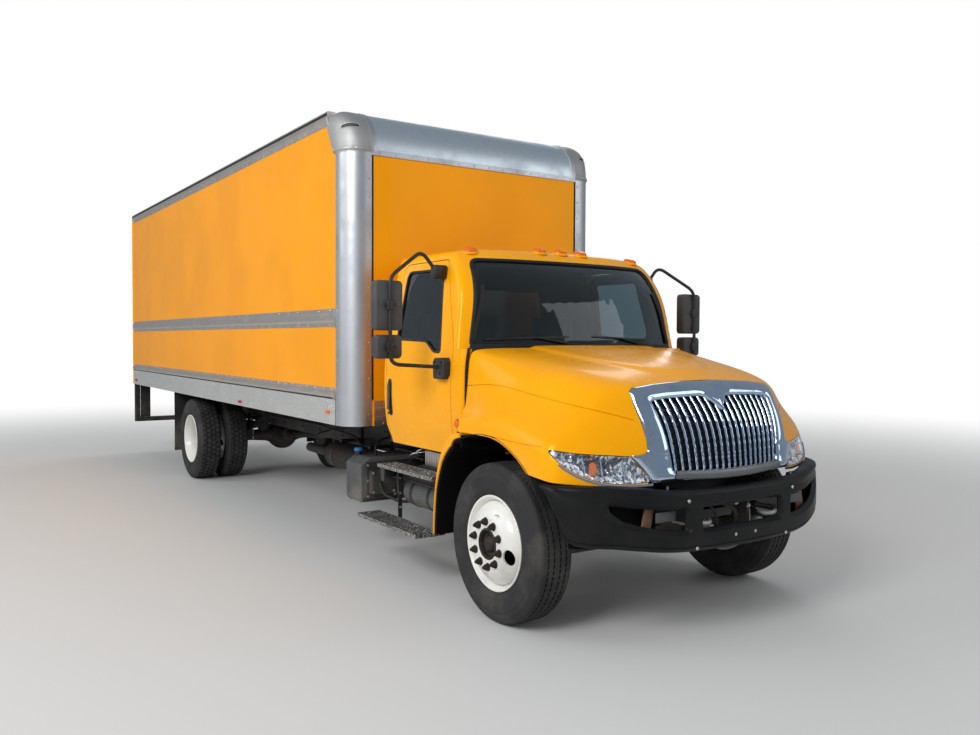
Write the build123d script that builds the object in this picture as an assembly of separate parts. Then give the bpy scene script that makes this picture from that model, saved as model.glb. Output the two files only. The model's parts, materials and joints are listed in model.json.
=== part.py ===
from build123d import *
from math import hypot
import os

# Box truck: conventional cab, van body, two axles with twin rear wheels.
# All lengths are in millimetres. Stations (y) are measured from the front axle, rearwards positive.
# X is across the truck, its left side positive. Z is up from the ground.

# Layout along the truck
wheelbase = 6883
bumper_face = -1035
body_front = 1938
body_length = 8000
cab_front = 560
cab_rear = 1700

# Wheels and tyres
tyre_radius = 510
tyre_width = 280
tyre_tread_width = 200
tyre_bead_radius = 286
rim_width = 234
rim_flange_radius = 298
rim_wall = 9
bead_clearance = 0.5
well_radius = 250
disc_offset = 168
disc_wall = 11
disc_flat_radius = 180
disc_joint = 60
hand_hole_radius = 33
hand_hole_y = 199
hand_hole_z = 81
hub_radius = 100
hub_length = 12
drum_radius = 215
drum_wall = 20
drum_depth = 120
front_track = 2080
rear_track = 1853
twin_spacing = 343
spindle_radius = 45
running_clearance = 0.05

# Front axle and steering
front_spring_width = 80
beam_drop = 90
beam_half_depth = 45
beam_flange = 22
beam_web = 36
kingpin_spread = 1760
kingpin_radius = 20
beam_eye_radius = 52
beam_eye_height = 96
fork_gap = 6
fork_arm = 36
fork_radius = 60
fork_back = 72
fork_wall = 26
backing_plate_wall = 8
steering_arm_length = 230
steering_arm_wall = 26
steering_arm_half = 24
tie_rod_radius = 14
tie_eye_half = 17
tie_eye_radius = 32
ball_stud_radius = 12
open_pivot_clearance = 6
stack_clearance = 6

# Rear axle and springs
axle_tube_radius = 72
banjo_radius = 205
pinion_radius = 95
rear_spring_width = 80
rear_spring_half = 680
rear_leaf_wall = 70

# Frame
rail_spread = 862
rail_top = 977
rail_height = 257
rail_flange = 89
rail_wall = 9
rail_rear = 9780
horn_front = -960
horn_rear = -600
horn_top = 900
crossmember_height = 110
crossmember_wall = 60

# Cab
cab_floor_height = 985
cab_wall = 45
glass_wall = 6
glass_inset = 12
door_gap = 6
belt_height = 1755
header_height = 2385

# Hood
hood_wall = 10
arch_radius = 683
arch_station = 100
arch_height = 500

# Bumper
bumper_wall = 28
bumper_bottom = 540
bumper_top = 920
plate_bolt_spacing = 178
plate_bolt_radius = 3.5
plate_bolt_height = 634

# Van body
body_width = 2591
body_top = 3690
body_bottom = 1083
body_wall = 38
panel_recess = 12
floor_top = 1245
floor_wall = 35
crossmember_pitch = 400
crossmember_first = 62
body_crossmember_width = 50
sill_width = 70
sill_top = 1105
post_radius = 170
nose_radius = 340
bottom_rail_top = 1297
rub_rail_top = 1365
top_rail_bottom = 3600
mid_rail_bottom = 1920
mid_rail_top = 2030
rear_frame_depth = 58
rear_frame_width = 150
rear_header_height = 150
rear_door_wall = 30

body_rear = body_front + body_length
half_body = body_width / 2
half_panel = half_body - panel_recess
half_rail = rail_spread / 2
rail_bottom = rail_top - rail_height
axle_height = tyre_radius
middle_station = (bumper_face + body_rear) / 2
everywhere = (-1400, 1400)

os.makedirs("parts", exist_ok=True)


# Helpers

def block(x, y, z):
    size = [high - low for low, high in (x, y, z)]
    centre = [(high + low) / 2 for low, high in (x, y, z)]
    return Pos(*centre) * Box(*size)


def prism(corners, direction):
    face = Face(Wire.make_polygon([Vector(*corner) for corner in corners]))
    return Solid.extrude(face, Vector(*direction))


def side_prism(outline, x_low, x_high):
    return prism([(x_low, y, z) for y, z in outline], (x_high - x_low, 0, 0))


def front_prism(outline, y_low, y_high):
    return prism([(x, y_low, z) for x, z in outline], (0, y_high - y_low, 0))


def plan_prism(outline, z_low, z_high):
    return prism([(x, y, z_low) for x, y in outline], (0, 0, z_high - z_low))


def rod(start, end, radius):
    start = Vector(*start)
    path = Vector(*end) - start
    return Solid.make_cylinder(radius, path.length, Plane(origin=start, z_dir=path))


def mirrored(shape):
    return mirror(shape, about=Plane.YZ)


def both_sides(shape):
    return shape + mirrored(shape)


# Completes an outline given from its lowest right corner up to the centre line.
def full_outline(half):
    left = [(-x, z) for x, z in reversed(half) if x > 0]
    return list(half) + left


# Moves every side of an anticlockwise outline inward by one distance.
def inset(points, distance):
    moved = []
    for before, here, after in zip(points[-1:] + points[:-1], points, points[1:] + points[:1]):
        ax, ay = here[0] - before[0], here[1] - before[1]
        bx, by = after[0] - here[0], after[1] - here[1]
        ax, ay = ax / hypot(ax, ay), ay / hypot(ax, ay)
        bx, by = bx / hypot(bx, by), by / hypot(bx, by)
        turn = 1 + ax * bx + ay * by
        shift_x = -distance * (ay + by) / turn
        shift_y = distance * (ax + bx) / turn
        moved.append((here[0] + shift_x, here[1] + shift_y))
    return moved


def loft_of(wires):
    return Solid.make_loft(wires, ruled=True)


def save(name, shape):
    export_step(Pos(0, -middle_station, 0) * shape, f"parts/{name}.step")


# Wheels: profiles are (distance along the axle, radius), outboard positive, turned about the axle

def turned(profile):
    corners = [Vector(u, 0, r) for u, r in profile]
    return Solid.revolve(Face(Wire.make_polygon(corners)), 360, Axis.X)


def tyre_solid():
    shoulder = tyre_radius - 14
    bead = rim_width / 2 - 2 * rim_wall - bead_clearance
    half = [
        (bead, tyre_bead_radius + bead_clearance),
        (bead + rim_wall, rim_flange_radius + bead_clearance),
        (tyre_width / 2 - 16, tyre_bead_radius + 40),
        (tyre_width / 2 - 3, tyre_bead_radius + 80),
        (tyre_width / 2, tyre_bead_radius + 118),
        (tyre_width / 2 - 10, shoulder - 34),
        (tyre_tread_width / 2 + 18, shoulder),
        (tyre_tread_width / 2, tyre_radius),
    ]
    return turned(half + [(-u, r) for u, r in reversed(half)])


def rim_solid(offset):
    side = 1 if offset > 0 else -1
    half = rim_width / 2
    barrel = [
        (half, rim_flange_radius),
        (half - rim_wall, rim_flange_radius),
        (half - 2 * rim_wall, tyre_bead_radius - bead_clearance),
        (well_radius * 0.2, well_radius + rim_wall),
    ]
    outer = barrel + [(-u, r) for u, r in reversed(barrel)]
    inner = [
        (-half, rim_flange_radius - rim_wall),
        (-half + rim_wall, tyre_bead_radius - rim_wall),
        (-well_radius * 0.2, well_radius),
        (well_radius * 0.2, well_radius),
        (half - rim_wall, tyre_bead_radius - rim_wall),
        (half, rim_flange_radius - rim_wall),
    ]
    face = abs(offset)
    disc = [
        (disc_joint - disc_wall, well_radius + 3),
        (face - disc_wall, disc_flat_radius),
        (face - disc_wall, hub_radius - 2),
        (face, hub_radius - 2),
        (face, disc_flat_radius + disc_wall / 2),
        (disc_joint + disc_wall, well_radius + 3),
    ]
    disc = turned([(side * u, r) for u, r in disc])
    for end in (-1, 1):
        hole_y, hole_z = end * hand_hole_y, end * hand_hole_z
        disc = disc - rod((-rim_width, hole_y, hole_z), (rim_width, hole_y, hole_z), hand_hole_radius)
    return turned(outer + inner) + disc


# Hub barrel with its drum, open inboard, bored for the spindle
def hub_solid(drum_open, drum_closed, cap):
    profile = [
        (drum_open, drum_radius),
        (drum_open, drum_radius - drum_wall),
        (drum_closed - drum_wall, drum_radius - drum_wall),
        (drum_closed - drum_wall, spindle_radius + 30),
        (drum_open + drum_depth / 2, spindle_radius + 30),
        (drum_open + drum_depth / 2, spindle_radius + running_clearance),
        (cap - 30, spindle_radius + running_clearance),
        (cap - 30, 0),
        (cap, 0),
        (cap, hub_radius - 30),
        (cap - 18, hub_radius),
        (drum_closed, hub_radius),
        (drum_closed, drum_radius),
    ]
    return turned(profile)


front_centre = front_track / 2
twin_outer = rear_track / 2 + twin_spacing / 2
twin_inner = rear_track / 2 - twin_spacing / 2
drum_open = -110
front_drum_closed = drum_open + drum_depth + drum_wall
front_cap = disc_offset + hub_length

front_wheel = rim_solid(disc_offset) + hub_solid(drum_open, front_drum_closed, front_cap)
front_wheel = Pos(front_centre, 0, axle_height) * front_wheel
front_tyre = Pos(front_centre, 0, axle_height) * tyre_solid()

rear_hub_open = -190
rear_hub_closed = rear_hub_open + drum_depth + 60
rear_cap = disc_offset + 132
rear_hub = hub_solid(rear_hub_open, rear_hub_closed, rear_cap)
rear_wheel = Pos(twin_inner, 0, 0) * (rim_solid(disc_offset) + rear_hub)
rear_wheel = rear_wheel + Pos(twin_outer, 0, 0) * rim_solid(-disc_offset)
rear_wheel = Pos(0, wheelbase, axle_height) * rear_wheel
rear_tyre = Pos(twin_inner, wheelbase, axle_height) * tyre_solid()
rear_tyre = rear_tyre + Pos(twin_outer, wheelbase, axle_height) * tyre_solid()

for side, turn in (("left", lambda shape: shape), ("right", mirrored)):
    save(f"wheel_front_{side}", turn(front_wheel))
    save(f"tyre_front_{side}", turn(front_tyre))
    save(f"wheel_rear_{side}", turn(rear_wheel))
    save(f"tyres_rear_{side}", turn(rear_tyre))

# Front axle: dropped beam between kingpin eyes, knuckles, tie rod

half_kingpins = kingpin_spread / 2
eye_low = axle_height - beam_eye_height / 2
eye_high = axle_height + beam_eye_height / 2
beam_half = [
    (0, eye_low - beam_drop),
    (half_kingpins - 320, eye_low - beam_drop),
    (half_kingpins - 140, eye_low),
    (half_kingpins, eye_low),
    (half_kingpins, eye_high),
    (half_kingpins - 170, eye_high),
    (half_kingpins - 340, eye_high - beam_drop),
    (0, eye_high - beam_drop),
]
beam = both_sides(front_prism(beam_half, -beam_half_depth, beam_half_depth))
web_half = half_kingpins - 360
web_z = (eye_low - beam_drop + beam_flange, eye_high - beam_drop - beam_flange)
web_cut = block((-web_half, web_half), (beam_web / 2, 2 * beam_half_depth), web_z)
beam = beam - web_cut - mirror(web_cut, about=Plane.XZ)
for kingpin_x in (-half_kingpins, half_kingpins):
    beam = beam + rod((kingpin_x, 0, eye_low), (kingpin_x, 0, eye_high), beam_eye_radius)
for kingpin_x in (-half_kingpins, half_kingpins):
    bore = rod((kingpin_x, 0, eye_low - 1), (kingpin_x, 0, eye_high + 1), kingpin_radius + running_clearance)
    beam = beam - bore
front_pad_top = eye_high - beam_drop + 26
for side_x in (-half_rail, half_rail):
    pad_x = (side_x - front_spring_width / 2, side_x + front_spring_width / 2)
    beam = beam + block(pad_x, (-70, 70), (eye_high - beam_drop - 4, front_pad_top))
save("front_axle", beam)

# Knuckle: a fork on its kingpin, a spindle outboard, a straight arm back to the tie rod
arm_low = eye_low - fork_gap - fork_arm
arm_high = eye_high + fork_gap + fork_arm
ball_x = half_kingpins
ball_y = steering_arm_length
knuckle = rod((half_kingpins, 0, arm_low), (half_kingpins, 0, eye_low - fork_gap), fork_radius)
knuckle = knuckle + rod((half_kingpins, 0, eye_high + fork_gap), (half_kingpins, 0, arm_high), fork_radius)
back_x = (half_kingpins + fork_back, half_kingpins + fork_back + fork_wall)
for arm_z in ((arm_low, eye_low - fork_gap), (eye_high + fork_gap, arm_high)):
    knuckle = knuckle + block((half_kingpins, back_x[1]), (-50, 50), arm_z)
knuckle = knuckle + block(back_x, (-50, 50), (arm_low, arm_high))
knuckle = knuckle + rod((half_kingpins, 0, arm_low), (half_kingpins, 0, arm_high), kingpin_radius)
spindle_end = front_centre + front_cap - 30 - stack_clearance
knuckle = knuckle + rod((back_x[0] + 2, 0, axle_height), (spindle_end, 0, axle_height), spindle_radius)
plate_radius = drum_radius - drum_wall - stack_clearance
plate_x = (back_x[1] - backing_plate_wall, back_x[1])
knuckle = knuckle + rod((plate_x[0], 0, axle_height), (plate_x[1], 0, axle_height), plate_radius)
arm_outline = [
    (ball_x - 40, 0),
    (ball_x + 40, 0),
    (ball_x + steering_arm_half, ball_y - 60),
    (ball_x + steering_arm_half, ball_y + 30),
    (ball_x - steering_arm_half, ball_y + 30),
    (ball_x - steering_arm_half, ball_y - 60),
]
arm_base = arm_low - steering_arm_wall
knuckle = knuckle + plan_prism(arm_outline, arm_base, arm_low)
rod_height = arm_base - stack_clearance - tie_eye_half
stud_end = rod_height - tie_eye_half - 8
knuckle = knuckle + rod((ball_x, ball_y, stud_end), (ball_x, ball_y, arm_base), ball_stud_radius)
save("knuckle_left", knuckle)
save("knuckle_right", mirrored(knuckle))

tie_rod = rod((-ball_x, ball_y, rod_height), (ball_x, ball_y, rod_height), tie_rod_radius)
for eye_x, clearance in ((ball_x, running_clearance), (-ball_x, open_pivot_clearance)):
    eye_low_z = rod_height - tie_eye_half
    eye_high_z = rod_height + tie_eye_half
    bore = ball_stud_radius + clearance
    tie_rod = tie_rod + rod((eye_x, ball_y, eye_low_z), (eye_x, ball_y, eye_high_z), tie_eye_radius)
    tie_rod = tie_rod - rod((eye_x, ball_y, eye_low_z - 1), (eye_x, ball_y, eye_high_z + 1), bore)
save("tie_rod", tie_rod)

# Frame: two C rails with front horns, crossmembers and cab pads

# Stations of the crossmembers
crossmember_stations = (1250, 2900, 4500, 6100, 7700, 9300)

rail_x = (half_rail - rail_flange, half_rail)
hollow_x = (half_rail - rail_flange - 1, half_rail - rail_wall)
web_x = (rail_wall - half_rail, half_rail - rail_wall)


def channel(front, rear, top):
    hollow_z = (rail_bottom + rail_wall, top - rail_wall)
    hollow = block(hollow_x, (front - 1, rear + 1), hollow_z)
    return block(rail_x, (front, rear), (rail_bottom, top)) - hollow


rail = channel(horn_rear, rail_rear, rail_top)
horn = channel(horn_front, horn_rear, horn_top)
frame = both_sides(rail + horn)
member_top = rail_top - 30
for station in crossmember_stations:
    member_y = (station, station + crossmember_wall)
    frame = frame + block(web_x, member_y, (member_top - crossmember_height, member_top))
horn_member_y = (horn_front + 160, horn_front + 210)
frame = frame + block(web_x, horn_member_y, (rail_bottom + 20, horn_top - 30))
for station in (cab_front + 90, cab_rear - 100):
    for side_x in (-half_rail, half_rail - rail_flange):
        pad_x = (side_x, side_x + rail_flange)
        frame = frame + block(pad_x, (station - 45, station + 45), (rail_top, cab_floor_height))
save("frame_rails", frame)

# Springs: leaf packs as arched bands on the axles

def leaf_band(front, rear, end_z, middle_z, wall, x_low, x_high):
    steps = 8
    length = rear - front
    lower = []
    for index in range(steps + 1):
        share = index / steps
        height = middle_z + (end_z - middle_z) * (2 * share - 1) ** 2
        lower.append((front + share * length, height))
    upper = [(y, z + wall) for y, z in reversed(lower)]
    return side_prism(lower + upper, x_low, x_high)


front_spring_x = (half_rail - front_spring_width / 2, half_rail + front_spring_width / 2)
leaf_wall = 42
front_spring = leaf_band(-640, 700, rail_bottom - 60, front_pad_top, leaf_wall, *front_spring_x)
for station in (-640, 640):
    hanger_z = (rail_bottom - 60, rail_bottom)
    front_spring = front_spring + block(front_spring_x, (station, station + 60), hanger_z)
rear_spring_x = (half_rail, half_rail + rear_spring_width)
rear_pad_top = axle_height + axle_tube_radius + 24
rear_spring_y = (wheelbase - rear_spring_half, wheelbase + rear_spring_half)
rear_spring = leaf_band(*rear_spring_y, rail_bottom + 20, rear_pad_top, rear_leaf_wall, *rear_spring_x)
save("springs", both_sides(front_spring) + both_sides(rear_spring))

# Rear axle: housing, tubes and spindles

rear_spindle_end = twin_inner + rear_cap - 30 - stack_clearance
rear_spindle_start = twin_inner + rear_hub_open + drum_depth / 2 - 12


def rear_axle_rod(start_x, end_x, radius):
    return rod((start_x, wheelbase, axle_height), (end_x, wheelbase, axle_height), radius)


rear_axle = rear_axle_rod(-rear_spindle_start, rear_spindle_start, axle_tube_radius)
rear_axle = rear_axle + rear_axle_rod(-rear_spindle_end, rear_spindle_end, spindle_radius)
banjo_front = (0, wheelbase - 150, axle_height)
banjo_rear = (0, wheelbase + 150, axle_height)
rear_axle = rear_axle + rod(banjo_front, banjo_rear, banjo_radius)
pinion_start = (0, wheelbase - 300, axle_height + 20)
pinion_end = (0, wheelbase - 140, axle_height + 10)
rear_axle = rear_axle + rod(pinion_start, pinion_end, pinion_radius)
for side_x in (-1, 1):
    inner = side_x * half_rail
    outer = side_x * (half_rail + rear_spring_width)
    pad_x = (min(inner, outer), max(inner, outer))
    rear_axle = rear_axle + block(pad_x, (wheelbase - 90, wheelbase + 90), (axle_height + 40, rear_pad_top))
    plate_start = side_x * (twin_inner + rear_hub_open - 14)
    plate_end = side_x * (twin_inner + rear_hub_open - 6)
    rear_axle = rear_axle + rear_axle_rod(plate_start, plate_end, drum_radius)
save("rear_axle", rear_axle)

# Engine and gearbox as plain blocks, driveshaft, radiator

engine_front = -520
engine_rear = 470
gearbox_rear = 1150
shaft_radius = 48
engine = block((-300, 300), (engine_front, engine_rear), (640, 1340))
gearbox = block((-170, 170), (engine_rear, gearbox_rear), (660, 930))
save("engine_block", engine + gearbox)

shaft_front = (0, gearbox_rear, 780)
shaft_middle = (0, 3900, 770)
driveshaft = rod(shaft_front, shaft_middle, shaft_radius) + rod(shaft_middle, pinion_start, shaft_radius)
driveshaft = driveshaft + Pos(*shaft_middle) * Sphere(shaft_radius + 14)
save("driveshaft", driveshaft - gearbox - rear_axle)

radiator_front = -640
radiator_rear = -580
radiator_core = block((-400, 400), (radiator_front, radiator_rear), (rail_top + 13, 1400))
radiator_tank = block((-330, 330), (radiator_front, radiator_rear), (640, rail_top + 13))
save("radiator", radiator_core + radiator_tank)

# Tanks, battery box, steps, exhaust on the rails

tank_radius = 300
tank_x = half_rail + 40 + tank_radius
tank_z = 700
fuel_tank = rod((tank_x, 2080, tank_z), (tank_x, 3000, tank_z), tank_radius)
for station in (2250, 2830):
    fuel_tank = fuel_tank + block((half_rail, half_rail + 90), (station, station + 70), (760, 960))
save("fuel_tank", fuel_tank)

# Fluid tank outline (x, z)
fluid_outline = [
    (half_rail, 420),
    (1070, 420),
    (1082, 450),
    (1082, 745),
    (1000, 800),
    (half_rail, 800),
]
fluid_tank = mirrored(front_prism(fluid_outline, 2110, 2410))
save("fluid_tank", fluid_tank)

air_tank_radius = 110
air_tanks = rod((-900, 940, 600), (-900, 1530, 600), air_tank_radius)
air_tanks = air_tanks + block((-900, -half_rail), (1180, 1260), (700, 790))
save("air_tanks", air_tanks)

battery_box = block((half_rail, 940), (960, 1540), (470, 790))
save("battery_box", battery_box)

# Step bracket outline (x, z), from the rail out to both treads
upper_tread_z = 820
lower_tread_z = 400
tread_wall = 30
bracket_outline = [
    (half_rail, 940),
    (half_rail, 850),
    (980, upper_tread_z - 60),
    (980, lower_tread_z - tread_wall),
    (1225, lower_tread_z - tread_wall),
    (1225, lower_tread_z - 2),
    (1015, lower_tread_z - 2),
    (1015, upper_tread_z - tread_wall),
    (1150, upper_tread_z - tread_wall),
    (1150, upper_tread_z - 2),
    (980, upper_tread_z - 2),
]
steps = block((990, 1155), (800, 1650), (upper_tread_z - tread_wall, upper_tread_z))
steps = steps + block((1025, 1230), (890, 1860), (lower_tread_z - tread_wall, lower_tread_z))
for station in (895, 1560):
    steps = steps + front_prism(bracket_outline, station, station + 10)
save("cab_steps", both_sides(steps))

exhaust_x = -640
exhaust_z = 640
exhaust = rod((exhaust_x, 2650, exhaust_z), (exhaust_x, 3650, exhaust_z), 130)
exhaust = exhaust + rod((exhaust_x, 3640, exhaust_z), (exhaust_x, 4300, exhaust_z), 50)
for station in (2800, 3450):
    exhaust = exhaust + block((exhaust_x, -half_rail), (station, station + 50), (740, 820))
save("exhaust", exhaust)

# Front bumper: moulded shell with three openings

# Half of the plan outline (x, y), from the end round to the centre
bumper_half = [
    (1158, -480),
    (1190, -540),
    (1160, -635),
    (1105, -720),
    (1020, -787),
    (900, -860),
    (750, -930),
    (480, -1012),
    (150, bumper_face),
    (0, bumper_face),
]
bumper_rise = 60
bumper_plan = full_outline(bumper_half)
# The inside runs out past both ends, which leaves the shell open at the back
end_x, end_y = bumper_half[0]
past_end = (end_x, end_y + 3 * bumper_wall)
bumper_inner = inset(list(reversed(full_outline([past_end] + bumper_half[1:]))), bumper_wall)
bumper = plan_prism(bumper_plan, bumper_bottom, bumper_top + bumper_rise)
bumper = bumper - plan_prism(bumper_inner, bumper_bottom - 1, bumper_top + bumper_rise + 1)
# Cuts seen from the side (y, z): the top edge rises and the lower corner runs up to the ends
top_cut = [
    (-1300, bumper_top),
    (-900, bumper_top + bumper_rise / 4),
    (-400, bumper_top + bumper_rise),
    (-400, bumper_top + 200),
    (-1300, bumper_top + 200),
]
end_cut = [
    (-540, 1100),
    (-540, 940),
    (-575, 889),
    (-630, 774),
    (-665, 684),
    (-720, 622),
    (-860, 596),
    (-935, 575),
    (-990, 400),
    (-300, 400),
    (-300, 1100),
]
bumper = bumper - side_prism(top_cut, *everywhere) - side_prism(end_cut, *everywhere)
opening_low = 692
opening_high = 820
opening_y = (bumper_face - 10, -760)
centre_opening = 345
post_outer = 470
bumper = bumper - block((-centre_opening, centre_opening), opening_y, (opening_low, opening_high))
side_opening = [
    (post_outer, opening_low),
    (620, opening_low + 10),
    (800, opening_low + 50),
    (930, opening_high + 34),
    (700, opening_high + 10),
    (post_outer, opening_high),
]
bumper = bumper - both_sides(front_prism(side_opening, *opening_y))
mount_x = (half_rail - 60, half_rail + 30)
bumper = bumper + both_sides(block(mount_x, (bumper_face + bumper_wall - 8, horn_front), (700, 880)))
for plate_bolt_x in (-plate_bolt_spacing / 2, plate_bolt_spacing / 2):
    bolt_start = (plate_bolt_x, bumper_face - 10, plate_bolt_height)
    bolt_end = (plate_bolt_x, bumper_face + bumper_wall + 10, plate_bolt_height)
    bumper = bumper - rod(bolt_start, bolt_end, plate_bolt_radius)
save("front_bumper", bumper)

# Rear guard and mud flaps

guard_top = 560
guard_bottom = 490
guard = block((-1255, 1255), (body_rear - 100, body_rear - 3), (guard_bottom, guard_top))
posts = block((1200, 1280), (body_rear - 68, body_rear - 3), (guard_bottom, body_bottom))
posts = posts + block((1050, 1200), (body_rear - 68, body_rear - 58), (guard_top - 4, body_bottom))
brace = [
    (body_rear - 400, rail_bottom),
    (body_rear - 340, rail_bottom),
    (body_rear - 60, guard_top),
    (body_rear - 100, guard_top - 30),
    (body_rear - 100, guard_bottom + 10),
]
posts = posts + side_prism(brace, half_rail - 60, half_rail)
guard = guard + both_sides(posts)
save("rear_guard", guard)

flap_station = body_front + crossmember_first + 14 * crossmember_pitch
flap = block((640, half_panel - body_wall - 1), (flap_station, flap_station + 12), (280, sill_top))
save("mud_flaps", both_sides(flap))

# Cab: one closed form, split where the panels meet

# Cross-section, half, (x, z) from the floor to the roof's centre
cab_section = [
    (1035, cab_floor_height),
    (1085, 1250),
    (1085, 1620),
    (1058, belt_height),
    (952, 2400),
    (900, 2455),
    (700, 2478),
    (0, 2485),
]
# Plan outlines of the cab's front: height, y at the centre, y at x = 520, corner x and y, side y
cab_slices = [
    (cab_floor_height, cab_front, cab_front, 900, cab_front, cab_front),
    (1560, cab_front, cab_front, 900, cab_front, cab_front),
    (belt_height, 400, 450, 955, 585, 660),
    (2400, 690, 722, 862, 823, 900),
    (2490, 800, 830, 840, 930, 1000),
]
wide = 1200


def cab_form(distance):
    outline = inset(full_outline(cab_section), distance)
    tube = front_prism(outline, 300 + distance, cab_rear - distance)
    wires = []
    for height, centre_y, quarter_y, corner_x, corner_y, side_y in cab_slices:
        front = [(0, centre_y), (520, quarter_y), (corner_x, corner_y), (wide, side_y)]
        front = front + [(wide, cab_rear + 50)]
        outline = front + [(-x, y) for x, y in reversed(front) if x > 0]
        wires.append(Wire.make_polygon([Vector(x, y + distance, height) for x, y in outline]))
    return tube & loft_of(wires)


door_rear = 1640
door_outline = [
    (664, cab_floor_height - 20),
    (664, 1740),
    (905, header_height - door_gap),
    (1560, header_height - door_gap),
    (door_rear, 1800),
    (door_rear, 1150),
    (door_rear - 30, cab_floor_height - 20),
]
opening_outline = inset(list(reversed(door_outline)), -door_gap)
window_outline = [(835, 1706), (930, 1712), (1060, 1788), (1520, 1800), (1492, 2320), (950, 2312)]
windshield_low = belt_height + 18
windshield_outline = [
    (-935, windshield_low),
    (935, windshield_low),
    (846, header_height),
    (-846, header_height),
]
rear_window_outline = [(-480, 1780), (480, 1780), (480, 2230), (-480, 2230)]

# The part of the cab's form that is its left side wall, down to a depth from its face
def side_wall_region(depth):
    inner = [(x - depth, z) for x, z in cab_section[:5]]
    inner[0] = (inner[0][0], cab_floor_height - 30)
    return front_prism(inner + [(wide + 50, 2450), (wide + 50, cab_floor_height - 30)], 300, cab_rear + 50)


cab_outer = cab_form(0)
cab_shell = cab_outer - cab_form(cab_wall)
windshield_hole = front_prism(windshield_outline, 200, 1000)
rear_window_hole = front_prism(rear_window_outline, 1500, 1800)
left_side = (700, 1300)
door = cab_shell & side_prism(door_outline, *left_side) & side_wall_region(cab_wall + 3)
door = door - side_prism(window_outline, *left_side)
doorway = side_prism(opening_outline, *left_side) & side_wall_region(cab_wall + 3 + door_gap)
shell = cab_shell - windshield_hole - rear_window_hole - both_sides(doorway)

roof_region = block(everywhere, (200, 1800), (header_height, 2600))
floor_y = (cab_front + cab_wall, door_rear + door_gap)
floor_region = block(everywhere, floor_y, (900, cab_floor_height + cab_wall))
back_region = block(everywhere, (1200, 1800), (900, header_height)) - floor_region
front_region = block(everywhere, (200, 1200), (900, header_height)) - floor_region
save("cab_roof", shell & roof_region)
save("cab_floor", shell & floor_region)
save("cab_back", shell & back_region)
save("cab_front", shell & front_region)

glass_layer = cab_form(glass_inset) - cab_form(glass_inset + glass_wall)
windshield = glass_layer & windshield_hole
rear_window = glass_layer & rear_window_hole
save("cab_glass", windshield + rear_window)
door_glass = glass_layer & side_prism(window_outline, *left_side)

handle = block((1075, 1108), (1555, 1597), (1207, 1485))
door = door + handle
save("door_left", door)
save("door_right", mirrored(door))
save("door_glass_left", door_glass)
save("door_glass_right", mirrored(door_glass))

# Mirrors: a tube from the upper bracket, down past both heads, to the lower bracket
mirror_tube_radius = 13
bracket_outer = 1135
tube_points = [
    (1045, 925, 2290),
    (1167, 925, 2432),
    (1483, 800, 2227),
    (1483, 800, 1640),
    (bracket_outer - 20, 790, 1630),
]
mirrors = block((1068, bracket_outer), (715, 870), (1520, 1670))
for start, end in zip(tube_points, tube_points[1:]):
    mirrors = mirrors + rod(start, end, mirror_tube_radius)
for point in tube_points[1:-1]:
    mirrors = mirrors + Pos(*point) * Sphere(mirror_tube_radius)
upper_bracket = block((960, 1075), (890, 960), (2240, 2340)) - cab_outer
mirrors = mirrors + upper_bracket
upper_head = block((1370, 1580), (810, 900), (1860, 2205))
lower_head = block((1370, 1570), (810, 900), (1665, 1830))
mirrors = mirrors + upper_head + lower_head
mirrors = mirrors - cab_outer
save("mirrors_left", mirrors)
save("mirrors_right", mirrored(mirrors))

# Inside the cab: dashboard outline (y, z), steering wheel, seats
dashboard_outline = [
    (660, 1330),
    (900, 1330),
    (990, 1420),
    (990, 1560),
    (900, 1660),
    (700, 1680),
    (620, 1600),
]
dashboard = side_prism(dashboard_outline, -1020, 1020)
save("dashboard", dashboard)

wheel_plane = Plane(origin=(520, 1130, 1560), x_dir=(1, 0, 0), z_dir=(0, 0.55, 0.835))
steering_wheel = wheel_plane * Torus(215, 16)
steering_wheel = steering_wheel + wheel_plane * Box(420, 40, 16) + wheel_plane * Cylinder(60, 30)
steering_wheel = steering_wheel + wheel_plane * Pos(0, 0, -130) * Cylinder(28, 240)
save("steering_wheel", steering_wheel - dashboard)

seat_height = 1400


def seat(centre_x, width):
    span = (centre_x - width / 2, centre_x + width / 2)
    cushion = block(span, (1090, 1560), (seat_height - 160, seat_height))
    back = block(span, (1500, 1630), (seat_height, 2060))
    base_span = (span[0] + 60, span[1] - 60)
    base = block(base_span, (1150, 1500), (cab_floor_height + cab_wall, seat_height - 160))
    return cushion + back + base


save("seats", seat(520, 500) + seat(-440, 800))


# Hood: a form cut from cross-sections and plan slices, made a shell, split into hood, grille and lamps

# Half cross-sections: station, then (x, z) from the skirt to the edge of the top, then z at the centre
hood_sections = [
    (600, (1170, 800), (1170, 1230), (1135, 1300), (1088, 1390),
     (1072, 1520), (1010, 1650), (900, 1722), 1785),
    (0, (1195, 800), (1195, 1215), (1160, 1295), (1075, 1390),
     (1000, 1495), (945, 1590), (860, 1645), 1703),
    (-450, (1190, 800), (1190, 1150), (1150, 1225), (1030, 1310),
     (925, 1400), (860, 1500), (780, 1560), 1616),
    (-1000, (1160, 800), (1160, 1080), (1110, 1130), (930, 1190),
     (790, 1260), (720, 1340), (660, 1400), 1450),
]
# Plan slices: height, y at the centre, and the corners (x, y) round to the side
hood_slices = [
    (800, -965, (470, -915), (640, -868), (960, -745), (1130, -640), (1200, -560)),
    (1000, -950, (470, -895), (630, -845), (960, -730), (1130, -620), (1200, -560)),
    (1370, -856, (510, -800), (630, -745), (960, -560), (1130, -460), (1200, -400)),
    (1546, -697, (500, -675), (640, -640), (960, -450), (1130, -350), (1200, -300)),
    (1800, -300, (500, -280), (640, -250), (960, -100), (1130, 0), (1200, 50)),
]


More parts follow.
